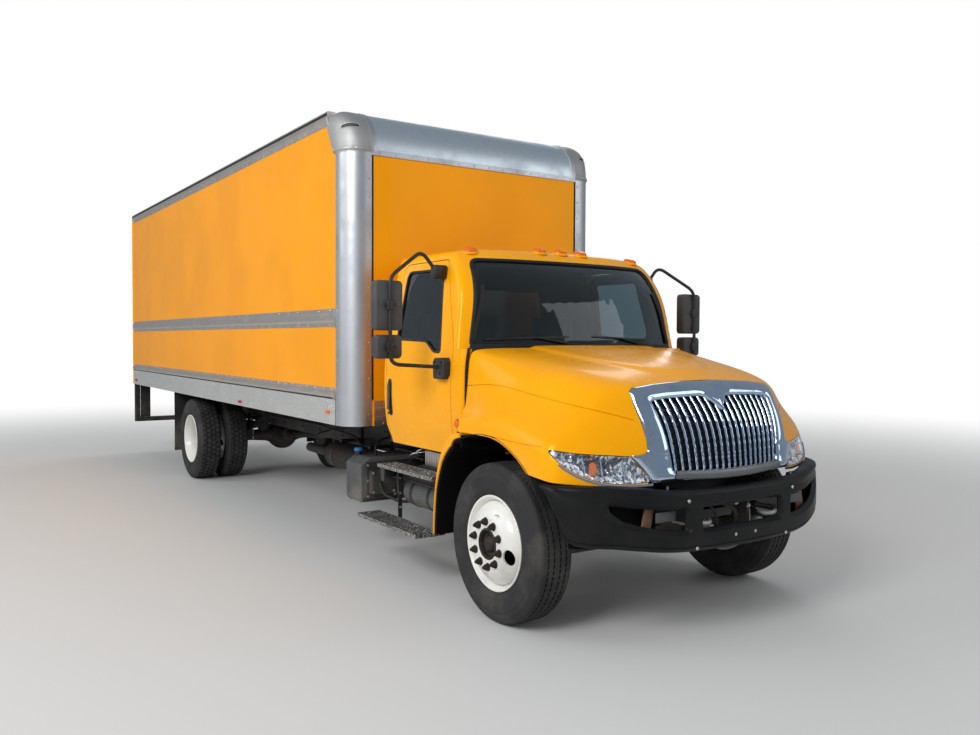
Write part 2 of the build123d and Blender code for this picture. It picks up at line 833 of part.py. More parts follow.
def hood_form(distance):
    wires = []
    for station, *section, centre_z in hood_sections:
        edge_x, edge_z = section[-1]
        shoulder = (0.8 * edge_x, edge_z + 0.6 * (centre_z - edge_z))
        outline = inset(full_outline(section + [shoulder, (0, centre_z)]), distance)
        wires.append(Wire.make_polygon([Vector(x, station, z) for x, z in outline]))
    across = loft_of(wires)
    wires = []
    for height, centre_y, *corners in hood_slices:
        front = [(0, centre_y)] + corners + [(1200, 700)]
        outline = front + [(-x, y) for x, y in reversed(front) if x > 0]
        wires.append(Wire.make_polygon([Vector(x, y, height) for x, y in inset(outline, distance)]))
    return across & loft_of(wires)


hood_outer = hood_form(0)
hood_shell = hood_outer - hood_form(hood_wall)
# Where the hood meets the cab in plan (x, y), and its lower edge from the side (y, z)
rear_arc = [
    (-1300, 528),
    (-1050, 515),
    (-600, 400),
    (0, 330),
    (600, 400),
    (1050, 515),
    (1300, 528),
    (1300, 900),
    (-1300, 900),
]
skirt_line = [
    (-1300, 700),
    (-1300, 945),
    (-880, 945),
    (-359, 1000),
    (100, 1183),
    (700, 1183),
    (700, 700),
]
arch_start = (everywhere[0], arch_station, arch_height)
arch_end = (everywhere[1], arch_station, arch_height)
arch = rod(arch_start, arch_end, arch_radius)
hood_trim = plan_prism(rear_arc, 700, 2000) + side_prism(skirt_line, *everywhere) + arch
hood_shell = hood_shell - hood_trim
liner = rod((640, arch_station, arch_height), (1300, arch_station, arch_height), arch_radius + 10)
liner = liner & block((640, 1300), (-700, arch_station), (990, 1400))
liner = liner + block((640, 1300), (arch_station, 700), (1183, 1193))
liner = (liner & hood_outer) - hood_trim
hood_shell = hood_shell + both_sides(liner)

# Outlines seen from the front (x, z)
grille_outline = [
    (-627, 1700),
    (627, 1700),
    (627, 1500),
    (600, 1150),
    (600, 940),
    (-600, 940),
    (-600, 1150),
    (-627, 1500),
]
grille_region = front_prism(grille_outline, -1300, -600)
chrome_top = side_prism([(-1300, 900), (-690, 900), (-690, 1546), (-700, 1600), (-1300, 1600)], -700, 700)
grille_region = grille_region & chrome_top
lamp_outline = [
    (605, 1125),
    (780, 1142),
    (1000, 1160),
    (1250, 1165),
    (1250, 1120),
    (1000, 1030),
    (800, 975),
    (625, 958),
]
lamp_region = both_sides(front_prism(lamp_outline, -1300, -560))
grille_shell = hood_shell & grille_region
mouth = [(-524, 1437), (-90, 1455), (0, 1368), (90, 1455), (524, 1437), (469, 1025), (-469, 1025)]
grille = grille_shell - front_prism(mouth, -1300, -600)
bar_space = front_prism(inset(list(reversed(mouth)), -12), -1300, -600)
bar_layer = (hood_form(hood_wall - 3) - hood_form(28)) & bar_space
bar_count = 18
bar_half = 9
mouth_half = mouth[4][0]
bar_pitch = 2 * mouth_half / (bar_count + 1)
for index in range(bar_count):
    bar_x = -mouth_half + bar_pitch * (index + 1)
    grille = grille + (bar_layer & block((bar_x - bar_half, bar_x + bar_half), (-1300, -600), (900, 1700)))
save("grille", grille)
lamps = (hood_outer - hood_form(60) - hood_trim) & lamp_region
save("headlamps", lamps)
hood = hood_shell - grille_region - lamp_region
save("hood", hood)

# Strips of the wheel arch that stay on the cab
quarter_outline = [
    (360, 1175),
    (500, 1175),
    (650, 1000),
    (705, 800),
    (727, 436),
    (713, 436),
    (683, 800),
    (600, 985),
    (480, 1110),
]
cab_side_space = block((0, 1088), (cab_front, 800), (cab_floor_height, 1300))
quarter = side_prism(quarter_outline, 640, 1190) - cab_side_space
save("quarter_fenders", both_sides(quarter))

# Van body: a closed form with rounded front edges, split into panels

def body_form(distance):
    half = half_panel - distance
    form_z = (body_bottom - 100, body_top - distance)
    form = block((-half, half), (body_front + distance, body_rear), form_z)
    uprights = form.edges().filter_by(Axis.Z).group_by(Axis.Y)[0]
    top_front = form.edges().filter_by(Axis.X).group_by(Axis.Y)[0].sort_by(Axis.Z)[-1]
    return fillet(uprights, post_radius - distance) & fillet(top_front, nose_radius - distance)


body_inner = body_form(body_wall)
body_shell = body_form(0) - body_inner
panel_rear = body_rear - rear_frame_depth
inner_half = half_panel - body_wall
body_shell = body_shell & block(everywhere, (0, panel_rear), (body_bottom, body_top))
nose_line = body_top - nose_radius - 20
nose_rear = body_front + nose_radius + 20
post_edge = half_panel - post_radius - 3
post_rear = body_front + post_radius + 3
above_nose = block(everywhere, (0, nose_rear), (nose_line, body_top + 1))
corner_band = block((post_edge, 1400), (0, post_rear), (body_bottom, nose_line))
save("nose_cap", body_shell & above_nose)
save("corner_posts", both_sides(body_shell & corner_band))
front_band = block((-post_edge, post_edge), (0, post_rear), (body_bottom, nose_line))
save("box_front", body_shell & front_band)
roof_z = (body_top - body_wall - 1, body_top + 1)
roof_band = block((-inner_half, inner_half), (nose_rear, body_rear), roof_z)
save("box_roof", body_shell & roof_band)
side_band = block((inner_half, everywhere[1]), (post_rear, body_rear), (bottom_rail_top, top_rail_bottom))
side_band = side_band - above_nose
save("box_sides", both_sides(body_shell & side_band))

# Aluminium rails on both sides, each with its upstand
low_rail = block((inner_half, half_body), (post_rear, panel_rear), (body_bottom, bottom_rail_top))
top_rail = block((inner_half, half_body), (nose_rear, panel_rear), (top_rail_bottom, body_top + 10))
mid_rail = block((half_panel, half_body), (post_rear, panel_rear), (mid_rail_bottom, mid_rail_top))
rub_rail = block((half_panel, half_body), (post_rear, panel_rear), (bottom_rail_top, rub_rail_top))
save("box_rails", both_sides(low_rail + rub_rail) + both_sides(top_rail) + both_sides(mid_rail))

# Floor on crossmembers and sills
floor_low = floor_top - floor_wall
floor_x = (-inner_half, inner_half)
floor = block(floor_x, (body_front + body_wall, panel_rear), (floor_low, floor_top))
floor = floor & body_inner
crossmember_count = int((body_length - 2 * crossmember_first) / crossmember_pitch) + 1
for index in range(crossmember_count):
    station = body_front + crossmember_first + index * crossmember_pitch
    member = block(floor_x, (station, station + body_crossmember_width), (sill_top, floor_low))
    floor = floor + (member & body_inner if index == 0 else member)
for side_x in (-half_rail, half_rail - sill_width):
    floor = floor + block((side_x, side_x + sill_width), (body_front + 40, rail_rear), (rail_top, sill_top))
save("box_floor", floor)

# Rear frame and roll-up door
rear_y = (body_rear - rear_frame_depth, body_rear)
rear_frame = block((-half_body, half_body), rear_y, (body_bottom, body_top + 10))
door_half = half_body - rear_frame_width
door_top = body_top - rear_header_height
door_x = (-door_half, door_half)
rear_frame = rear_frame - block(door_x, (rear_y[0] - 1, rear_y[1] + 1), (floor_top, door_top))
save("rear_frame", rear_frame)

slat_count = 8
slat_height = (door_top - floor_top) / slat_count
roll_door_y = (rear_y[0] + 8, rear_y[0] + 8 + rear_door_wall)
roll_door = block(door_x, roll_door_y, (floor_top, door_top))
groove_y = (roll_door_y[1] - 8, roll_door_y[1] + 1)
for index in range(1, slat_count):
    groove_z = floor_top + index * slat_height
    roll_door = roll_door - block(everywhere, groove_y, (groove_z - 5, groove_z + 5))
save("roll_up_door", roll_door)
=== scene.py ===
import json, math
import bpy, bmesh
import numpy as np
from mathutils import Vector, Matrix

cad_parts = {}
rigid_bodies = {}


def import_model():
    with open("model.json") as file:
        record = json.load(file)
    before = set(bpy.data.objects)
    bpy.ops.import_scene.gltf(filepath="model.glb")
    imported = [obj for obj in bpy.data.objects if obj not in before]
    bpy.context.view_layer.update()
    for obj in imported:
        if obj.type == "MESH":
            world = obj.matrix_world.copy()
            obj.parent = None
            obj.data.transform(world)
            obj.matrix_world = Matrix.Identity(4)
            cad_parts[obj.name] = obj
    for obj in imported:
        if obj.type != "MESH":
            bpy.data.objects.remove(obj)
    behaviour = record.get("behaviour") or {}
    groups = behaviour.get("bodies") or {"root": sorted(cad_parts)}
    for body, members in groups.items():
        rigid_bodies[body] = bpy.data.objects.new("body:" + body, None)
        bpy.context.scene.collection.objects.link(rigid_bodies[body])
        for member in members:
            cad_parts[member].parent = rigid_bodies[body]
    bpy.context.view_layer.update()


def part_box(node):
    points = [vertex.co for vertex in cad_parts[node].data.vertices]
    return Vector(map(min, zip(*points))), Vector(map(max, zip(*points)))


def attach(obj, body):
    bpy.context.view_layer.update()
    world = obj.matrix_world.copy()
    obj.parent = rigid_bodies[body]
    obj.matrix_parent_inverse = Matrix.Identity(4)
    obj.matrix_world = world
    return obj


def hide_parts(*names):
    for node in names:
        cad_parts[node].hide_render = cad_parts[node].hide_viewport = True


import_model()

print("frame loaded")

# Stations are metres behind the front axle, heights are metres above the ground, x is across, left positive.
low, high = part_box("wheel_front_left")
frontAxle = (low.y + high.y) / 2
low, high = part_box("wheel_rear_left")
wheelbase = (low.y + high.y) / 2 - frontAxle
chassis = "chassis"
collection = bpy.context.scene.collection


def at(x, station, z):
    return Vector((x, station + frontAxle, z))


def boxOf(node):
    low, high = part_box(node)
    return low - at(0, 0, 0), high - at(0, 0, 0)


# A mesh from its points and faces
def meshFrom(verts, faces):
    mesh = bpy.data.meshes.new("form")
    mesh.from_pydata([tuple(v) for v in verts], [], faces)
    return mesh


def fromBmesh(bm):
    mesh = bpy.data.meshes.new("form")
    bm.to_mesh(mesh)
    bm.free()
    return mesh


def joined(meshes):
    bm = bmesh.new()
    for mesh in meshes:
        bm.from_mesh(mesh)
        bpy.data.meshes.remove(mesh)
    return fromBmesh(bm)


def moved(mesh, matrix):
    mesh.transform(matrix)
    if matrix.determinant() < 0:
        mesh.flip_normals()
    return mesh


def flipped(mesh):
    return moved(mesh.copy(), Matrix.Diagonal((-1, 1, 1, 1)))


def bothSides(mesh):
    return joined([flipped(mesh), mesh])


# A sheet of faces between rows of points that all have the same count
def rowsMesh(rows, closeRows=False, closeEnds=False):
    rows = [list(row) for row in rows]
    width = len(rows[0])
    verts = [p for row in rows for p in row]
    faces = []
    for r in range(len(rows) - 1):
        for c in range(width if closeRows else width - 1):
            d = (c + 1) % width
            faces.append((r * width + c, r * width + d, (r + 1) * width + d, (r + 1) * width + c))
    if closeEnds:
        faces.append(tuple(reversed(range(width))))
        faces.append(tuple((len(rows) - 1) * width + c for c in range(width)))
    mesh = meshFrom(verts, faces)
    bm = bmesh.new()
    bm.from_mesh(mesh)
    bpy.data.meshes.remove(mesh)
    bmesh.ops.remove_doubles(bm, verts=bm.verts, dist=1e-6)
    bmesh.ops.recalc_face_normals(bm, faces=bm.faces)
    return fromBmesh(bm)


# An outline of two numbers a point, pushed along one axis: "x", "y" or "z"
def prism(outline, axis, start, end):
    order = {"x": lambda u, v, w: at(w, u, v), "y": lambda u, v, w: at(u, w, v), "z": lambda u, v, w: at(u, v, w)}
    put = order[axis]
    return rowsMesh([[put(u, v, w) for u, v in outline] for w in (start, end)], True, True)


def bar(x, station, z):
    return prism([(x[0], station[0]), (x[1], station[0]), (x[1], station[1]), (x[0], station[1])], "z", *z)


# Corners of an outline rounded to a radius each, with arcs
def rounded(outline, radius, steps=6):
    points = []
    count = len(outline)
    for index, corner in enumerate(outline):
        corner = Vector(corner)
        before, after = Vector(outline[index - 1]), Vector(outline[(index + 1) % count])
        toBefore, toAfter = (before - corner).normalized(), (after - corner).normalized()
        half = math.acos(max(-1, min(1, toBefore.dot(toAfter)))) / 2
        size = radius[index] if isinstance(radius, (list, tuple)) else radius
        reach = min(size / math.tan(half), 0.48 * (before - corner).length, 0.48 * (after - corner).length)
        start, end = corner + toBefore * reach, corner + toAfter * reach
        for step in range(steps + 1):
            t = step / steps
            points.append(tuple((1 - t) ** 2 * start + 2 * t * (1 - t) * corner + t * t * end))
    return points


# A profile of (distance along the axis, radius) turned about a line through a point
def turned(profile, centre, axis, segments=48, closed=True):
    axis = Vector(axis).normalized()
    side = axis.orthogonal().normalized()
    other = axis.cross(side)
    rows = []
    for index in range(segments):
        angle = 2 * math.pi * index / segments
        out = side * math.cos(angle) + other * math.sin(angle)
        rows.append([centre + axis * along + out * radius for along, radius in profile])
    return rowsMesh(rows + rows[:1], closed)


# A round bar along points, its corners rounded, its ends closed
def tube(points, radius, bend=0.05, sides=12, steps=6):
    points = [Vector(p) for p in points]
    path = [points[0]]
    for before, corner, after in zip(points, points[1:], points[2:]):
        toBefore, toAfter = (before - corner), (after - corner)
        reach = min(bend, toBefore.length * 0.45, toAfter.length * 0.45)
        start, end = corner + toBefore.normalized() * reach, corner + toAfter.normalized() * reach
        for step in range(steps + 1):
            t = step / steps
            path.append((1 - t) ** 2 * start + 2 * t * (1 - t) * corner + t * t * end)
    path.append(points[-1])
    return alongPath(path, [(radius * math.cos(2 * math.pi * k / sides), radius * math.sin(2 * math.pi * k / sides))
                            for k in range(sides)])


# A closed section of (sideways, upward) pushed along a path of points
def alongPath(path, section):
    rows = []
    up = None
    for index, point in enumerate(path):
        ahead = path[min(index + 1, len(path) - 1)] - path[max(index - 1, 0)]
        ahead.normalize()
        if up is None:
            up = ahead.orthogonal()
        up = (up - ahead * up.dot(ahead)).normalized()
        side = ahead.cross(up)
        rows.append([point + side * u + up * v for u, v in section])
    return rowsMesh(rows, True, True)


# A round bar along places given as (x, station, height)
def pipe(places, *sizes, **more):
    return tube([at(*p) for p in places], *sizes, **more)


def evaluated(obj):
    depsgraph = bpy.context.evaluated_depsgraph_get()
    mesh = bpy.data.meshes.new_from_object(obj.evaluated_get(depsgraph))
    old = obj.data
    bpy.data.objects.remove(obj)
    bpy.data.meshes.remove(old)
    return mesh


# Runs modifiers on a mesh: (type, settings) pairs; gives the mesh that comes out
def worked(mesh, *steps):
    obj = bpy.data.objects.new("work", mesh)
    collection.objects.link(obj)
    for kind, settings in steps:
        modifier = obj.modifiers.new("step", kind)
        for key, value in settings.items():
            setattr(modifier, key, value)
    return evaluated(obj)


# Takes the cutters away from a mesh, or keeps what lies inside them; a cutter that is inside out is turned first
def cut(mesh, cutters, operation="DIFFERENCE"):
    helpers, steps = [], []
    for cutter in cutters:
        bm = bmesh.new()
        bm.from_mesh(cutter)
        if bm.calc_volume(signed=True) < 0:
            cutter.flip_normals()
        bm.free()
        helper = bpy.data.objects.new("cutter", cutter)
        collection.objects.link(helper)
        helpers.append(helper)
        steps.append(("BOOLEAN", {"operation": operation, "object": helper, "solver": "EXACT"}))
    result = worked(mesh, *steps)
    for helper in helpers:
        old = helper.data
        bpy.data.objects.remove(helper)
        bpy.data.meshes.remove(old)
    return result


def bevelled(mesh, width, segments=2, angle=35):
    return worked(mesh, ("BEVEL", {"width": width, "segments": segments, "limit_method": "ANGLE",
                                   "angle_limit": math.radians(angle), "harden_normals": False}))


def thickened(mesh, thickness):
    return worked(mesh, ("SOLIDIFY", {"thickness": thickness, "offset": -1, "use_even_offset": True}))


def softBox(x, station, z, radius=0.01, segments=3):
    return bevelled(bar(x, station, z), radius, segments)


# Smooth faces, with sharp edges where two of them meet at more than an angle
def shade(mesh, angle):
    bm = bmesh.new()
    bm.from_mesh(mesh)
    limit = math.radians(angle)
    for face in bm.faces:
        face.smooth = True
    for edge in bm.edges:
        edge.smooth = len(edge.link_faces) == 2 and edge.calc_face_angle(0) < limit
    bm.to_mesh(mesh)
    bm.free()


# One finished piece: its mesh, finish and body, and the CAD nodes that it stands for
def piece(name, mesh, finish, body=chassis, nodes=(), slot=None, angle=38):
    shade(mesh, angle)
    mesh.name = name
    obj = bpy.data.objects.new(name, mesh)
    collection.objects.link(obj)
    mesh.materials.clear()
    mesh.materials.append(finish.material)
    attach(obj, body)
    if nodes:
        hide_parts(*nodes)
    slot or finish.slot
    return obj


# Finishes: a wrapped socket takes part in sums, and one maker adds every node

class Link:
    def __init__(self, maker, socket):
        self.maker = maker
        self.socket = socket

    def sums(self, operation, *values):
        return self.maker.node("ShaderNodeMath", {"operation": operation}, *values)

    def __add__(self, other): return self.sums("ADD", self, other)
    def __radd__(self, other): return self.sums("ADD", other, self)
    def __sub__(self, other): return self.sums("SUBTRACT", self, other)
    def __rsub__(self, other): return self.sums("SUBTRACT", other, self)
    def __mul__(self, other): return self.sums("MULTIPLY", self, other)
    def __rmul__(self, other): return self.sums("MULTIPLY", other, self)


class Finish:
    def __init__(self, name, slot, colour, roughness, **settings):
        self.material = bpy.data.materials.new(name)
        self.slot = slot
        self.material.use_nodes = True
        self.tree = self.material.node_tree
        self.shader = self.tree.nodes["Principled BSDF"]
        self.set("Base Color", (*colour, 1))
        self.set("Roughness", roughness)
        for key, value in settings.items():
            self.set(key.replace("_", " "), value)
        self.bump = None

    def set(self, name, value):
        if isinstance(value, Link):
            self.tree.links.new(value.socket, self.shader.inputs[name])
        else:
            self.shader.inputs[name].default_value = value

    # Any node: its type, its settings, then its inputs in order or by name
    def node(self, kind, settings, *values, output=0, **named):
        made = self.tree.nodes.new(kind)
        for key, value in settings.items():
            if key == "stops":
                ramp = made.color_ramp.elements
                while len(ramp) < len(value):
                    ramp.new(0.5)
                for element, (place, shade) in zip(ramp, value):
                    element.position = place
                    element.color = shade
            else:
                setattr(made, key, value)
        pairs = list(zip(made.inputs, values))
        pairs += [(made.inputs[key.replace("_", " ")], value) for key, value in named.items()]
        for socket, value in pairs:
            if isinstance(value, Link):
                self.tree.links.new(value.socket, socket)
            elif value is not None:
                socket.default_value = value
        return Link(self, made.outputs[output])

    def place(self):
        return self.node("ShaderNodeTexCoord", {}, output="Object")

    # The place on the piece, stretched by three factors
    def stretched(self, factors):
        return self.node("ShaderNodeVectorMath", {"operation": "MULTIPLY"}, self.place(), factors)

    def axis(self, name):
        return self.node("ShaderNodeSeparateXYZ", {}, self.place(), output=name)

    def noise(self, scale, detail=3.0, rough=0.55, vector=None):
        return self.node("ShaderNodeTexNoise", {}, vector or self.place(), Scale=scale, Detail=detail,
                         Roughness=rough, output="Fac")

    def cells(self, scale, vector=None):
        return self.node("ShaderNodeTexVoronoi", {"feature": "F1"}, vector or self.place(), Scale=scale,
                         output="Distance")

    # 0 below low, 1 above high, smooth between
    def step(self, value, low, high):
        return self.node("ShaderNodeMapRange", {"interpolation_type": "SMOOTHSTEP"}, value, low, high, 0.0, 1.0)

    def blend(self, factor, first, second):
        mix = self.tree.nodes.new("ShaderNodeMix")
        mix.data_type = "RGBA"
        for socket, value in ((mix.inputs["Factor"], factor), (mix.inputs[6], first), (mix.inputs[7], second)):
            if isinstance(value, Link):
                self.tree.links.new(value.socket, socket)
            else:
                socket.default_value = value if isinstance(value, (int, float)) else (*value[:3], 1)
        return Link(self, mix.outputs[2])

    # Adds a height to the surface's normal
    def raised(self, height, strength=0.3, distance=0.002):
        named = {"Normal": self.bump} if self.bump else {}
        self.bump = self.node("ShaderNodeBump", {}, Strength=strength, Distance=distance, Height=height, **named)
        self.set("Normal", self.bump)


# Colours are plain linear numbers
dustColour = (0.34, 0.30, 0.25)


# Dust that gathers low on the truck and in patches
def dusty(finish, base, amount, top=1.2, colour=dustColour):
    lowDown = 1 - finish.step(finish.axis("Z"), 0.1, top)
    patches = finish.step(finish.noise(3.1, 5, 0.62), 0.38, 0.72)
    return finish.blend(lowDown * patches * amount, base, colour)


def paintFinish(name, slot, colour, roughness, coat, dust, waviness):
    finish = Finish(name, slot, colour, roughness, Coat_Roughness=0.06, Specular_IOR_Level=0.3,
                    Specular_Tint=(*(min(1, 0.06 + 1.7 * c) for c in colour), 1))
    broad = finish.noise(1.3, 3, 0.5)
    darker = tuple(0.93 * c for c in colour)
    tone = finish.blend(finish.step(broad, 0.35, 0.65), darker, colour)
    finish.set("Base Color", dusty(finish, tone, dust))
    finish.set("Roughness", roughness + 0.12 * finish.step(finish.noise(6.0, 5), 0.4, 0.75))
    finish.set("Coat Weight", coat * (1 - 0.4 * finish.step(finish.noise(2.0, 4), 0.45, 0.8)))
    finish.raised(finish.noise(420, 2), 0.05, 0.0006)
    finish.raised(finish.noise(1.1, 2), waviness, 0.02)
    return finish


cabYellow = paintFinish("cabYellow", "body_paint", (0.94, 0.39, 0.003), 0.26, 0.20, 0.18, 0.03)
panelYellow = paintFinish("panelYellow", "panel_paint", (0.95, 0.355, 0.003), 0.36, 0.10, 0.08, 0.10)
wheelWhite = paintFinish("wheelWhite", "white_paint", (0.80, 0.79, 0.75), 0.34, 0.4, 0.55, 0.02)
doorWhite = paintFinish("doorWhite", "white_paint", (0.78, 0.78, 0.76), 0.40, 0.3, 0.25, 0.05)


def brushedFinish(name, slot, colour, roughness, stretch, metallic=1.0, dust=0.15):
    finish = Finish(name, slot, colour, roughness, Metallic=metallic)
    grain = finish.noise(60, 4, 0.6, finish.stretched(stretch))
    stains = finish.step(finish.noise(5.0, 6, 0.65), 0.42, 0.75)
    tone = finish.blend(grain * 0.4 + stains * 0.3, colour, tuple(0.62 * c for c in colour))
    finish.set("Base Color", dusty(finish, tone, dust))
    finish.set("Roughness", roughness - 0.08 + 0.16 * grain + 0.15 * stains)
    finish.raised(grain, 0.12, 0.0006)
    return finish


railAluminium = brushedFinish("railAluminium", "rail_aluminium", (0.74, 0.69, 0.63), 0.38, (6, 0.25, 6))
postAluminium = brushedFinish("postAluminium", "rail_aluminium", (0.62, 0.64, 0.67), 0.42, (6, 6, 0.3))
noseAluminium = brushedFinish("noseAluminium", "rail_aluminium", (0.72, 0.80, 0.86), 0.42, (0.5, 4, 4))
castAluminium = brushedFinish("castAluminium", "rail_aluminium", (0.50, 0.50, 0.49), 0.58, (3, 3, 3), 0.9)
tankAluminium = brushedFinish("tankAluminium", "rail_aluminium", (0.72, 0.72, 0.72), 0.22, (4, 0.4, 4))


# Rough treads: bright raised spots, the sheet between them dark partly as dirt and partly as painted shade, and dirt
# in patches
def treadFinish():
    finish = Finish("treadAluminium", "tread_aluminium", (0.55, 0.53, 0.50), 0.42, Metallic=0.85)
    spots = finish.step(finish.cells(62), 0.32, 0.56)
    dirt = finish.step(finish.noise(21, 4, 0.6), 0.40, 0.62)
    finish.set("Base Color", finish.blend(spots * 0.62 + dirt * 0.25, (0.58, 0.57, 0.54), (0.040, 0.038, 0.035)))
    finish.set("Roughness", 0.35 + 0.35 * spots)
    finish.raised(1 - spots, 0.5, 0.003)
    return finish


treadAluminium = treadFinish()


# Pressed pattern of small raised dots on the lower rails
knurledAluminium = brushedFinish("knurledAluminium", "rail_aluminium", (0.88, 0.89, 0.86), 0.46, (6, 0.4, 6))
knurledAluminium.raised(1 - knurledAluminium.step(
    knurledAluminium.cells(46, knurledAluminium.stretched((1, 0.62, 1))), 0.05, 0.5), 0.55, 0.004)


def chromeFinish(name, colour, roughness):
    finish = Finish(name, "chrome", colour, roughness, Metallic=1.0)
    smear = finish.step(finish.noise(7.0, 5, 0.6), 0.45, 0.8)
    finish.set("Base Color", finish.blend(smear, colour, tuple(0.8 * c for c in colour)))
    finish.set("Roughness", roughness + 0.10 * smear)
    return finish


# Chrome and bowl chrome are tinted blue: a painted reflection of the sky
chrome = chromeFinish("chrome", (0.52, 0.63, 0.78), 0.05)
bowlChrome = chromeFinish("bowlChrome", (0.30, 0.34, 0.40), 0.06)
facetChrome = chromeFinish("facetChrome", (0.80, 0.82, 0.85), 0.10)
# Each facet's colour is dark or bright at random: painted reflection; the same cells raise the facets
facets = facetChrome.node("ShaderNodeTexVoronoi", {"feature": "F1"}, facetChrome.stretched((1, 1, 0.6)), Scale=70.0,
                          output="Color")
facetReliefAndReflection = facetChrome.step(facetChrome.node("ShaderNodeRGBToBW", {}, facets), 0.25, 0.75)
facetChrome.set("Base Color", facetChrome.blend(facetReliefAndReflection, (0.10, 0.13, 0.17), (0.85, 0.88, 0.92)))
facetChrome.raised(facetReliefAndReflection, 0.6, 0.003)


def plasticFinish(name, slot, colour, roughness, grain, dust=0.3, faded=0.5):
    finish = Finish(name, slot, colour, roughness, Specular_IOR_Level=0.4)
    fade = finish.step(finish.noise(2.6, 5, 0.6), 0.35, 0.75)
    tone = finish.blend(fade * faded, colour, tuple(min(1, 1.9 * c + 0.012) for c in colour))
    finish.set("Base Color", dusty(finish, tone, dust))
    finish.set("Roughness", roughness + 0.15 * fade)
    finish.raised(finish.cells(grain), 0.12, 0.0008)
    return finish


bumperBlack = plasticFinish("bumperBlack", "black_plastic", (0.0045, 0.005, 0.0055), 0.42, 700, 0.06, 0.25)
bumperBlack.set("Specular IOR Level", 0.2)
trimBlack = plasticFinish("trimBlack", "black_plastic", (0.016, 0.016, 0.017), 0.36, 900, 0.2)
sealBlack = plasticFinish("sealBlack", "dark_trim", (0.010, 0.010, 0.011), 0.5, 1200, 0.1)
dashGrey = plasticFinish("dashGrey", "dark_trim", (0.022, 0.023, 0.025), 0.6, 500, 0)
# Chassis black is darker than its paint, as painted shade under the truck
chassisShadeBlack = plasticFinish("chassisShadeBlack", "black_metal", (0.009, 0.009, 0.009), 0.45, 260, 0.3)
mirrorGrey = plasticFinish("mirrorGrey", "black_plastic", (0.045, 0.046, 0.048), 0.5, 900, 0.1)
tankGrey = plasticFinish("tankGrey", "grey_metal", (0.06, 0.062, 0.065), 0.5, 400, 0.5)
capBlue = plasticFinish("capBlue", "dark_trim", (0.02, 0.16, 0.42), 0.35, 900, 0.1, 0.2)
# Near-black for linings and plates in the arches and behind the bumper: painted shade, darker than black paint
shadeBlack = plasticFinish("shadeBlack", "black_plastic", (0.002, 0.002, 0.002), 0.8, 300, 0.0, 0.1)
shadeBlack.set("Specular IOR Level", 0.1)
flapBlack = plasticFinish("flapBlack", "flap_rubber", (0.012, 0.012, 0.012), 0.6, 300, 0.5)


def rubberFinish(name, colour, dust):
    finish = Finish(name, "tyre_rubber", colour, 0.75, Specular_IOR_Level=0.25)
    mottle = finish.step(finish.noise(14, 6, 0.65), 0.35, 0.7)
    tone = finish.blend(mottle * 0.6, colour, tuple(1.5 * c for c in colour))
    patches = finish.step(finish.noise(4, 5, 0.6), 0.4, 0.75)
    finish.set("Base Color", finish.blend(patches * dust, tone, (0.12, 0.11, 0.095)))
    finish.set("Roughness", 0.68 + 0.2 * mottle)
    finish.raised(finish.noise(260, 3), 0.25, 0.0008)
    return finish


tyreBlack = rubberFinish("tyreBlack", (0.024, 0.024, 0.025), 0.4)


def rustyFinish(name, colour, rust, amount):
    finish = Finish(name, "engine_iron", colour, 0.6, Metallic=0.3)
    scale = finish.step(finish.noise(24, 6, 0.7), 0.5 - amount * 0.4, 0.75)
    finish.set("Base Color", finish.blend(scale, colour, rust))
    finish.set("Roughness", 0.5 + 0.35 * scale)
    finish.raised(finish.noise(180, 5, 0.7), 0.5, 0.0015)
    return finish


hubIron = rustyFinish("hubIron", (0.016, 0.013, 0.012), (0.050, 0.035, 0.028), 0.5)
engineIron = rustyFinish("engineIron", (0.05, 0.05, 0.052), (0.09, 0.05, 0.03), 0.3)
# Exhaust steel and its rust, made darker as painted shade under the truck
exhaustSteelShaded = rustyFinish("exhaustSteelShaded", (0.020, 0.018, 0.016), (0.034, 0.020, 0.013), 0.4)
engineRust = rustyFinish("engineRust", (0.16, 0.085, 0.05), (0.24, 0.13, 0.08), 0.7)


def glassFinish(name, slot, colour, roughness=0.0, transmission=1.0):
    finish = Finish(name, slot, colour, roughness, Transmission_Weight=transmission, IOR=1.45)
    film = finish.step(finish.noise(3.5, 5, 0.6), 0.5, 0.8)
    finish.set("Roughness", roughness + 0.06 * film)
    return finish


windowGlass = glassFinish("windowGlass", "window_glass", (0.20, 0.27, 0.30))
lensClear = glassFinish("lensClear", "lamp_lens", (0.96, 0.97, 0.99))
lensAmber = glassFinish("lensAmber", "lamp_lens", (0.95, 0.20, 0.01), 0.12, 0.35)
lensRed = glassFinish("lensRed", "lamp_lens", (0.62, 0.01, 0.008), 0.12, 0.3)
mirrorGlass = chromeFinish("mirrorGlass", (0.78, 0.82, 0.84), 0.02)
boltSteel = brushedFinish("boltSteel", "chrome", (0.66, 0.65, 0.62), 0.3, (4, 4, 4))


def fabricFinish(name, colour):
    finish = Finish(name, "seat_fabric", colour, 0.9, Sheen_Weight=0.25)
    weave = finish.node("ShaderNodeTexWave", {"wave_type": "BANDS"}, finish.place(), Scale=180.0, Distortion=1.5)
    finish.set("Base Color", finish.blend(finish.noise(9, 4), colour, tuple(1.6 * c for c in colour)))
    finish.raised(finish.node("ShaderNodeRGBToBW", {}, weave), 0.4, 0.001)
    return finish


seatCloth = fabricFinish("seatCloth", (0.06, 0.062, 0.07))
print("finishes made")


# Camera and stage
cameraSettings = {"place": (-4.227, -4.541, 1.800), "heading": 33.76, "pitch": -1.834, "roll": 0.281, "lens": 31.97}


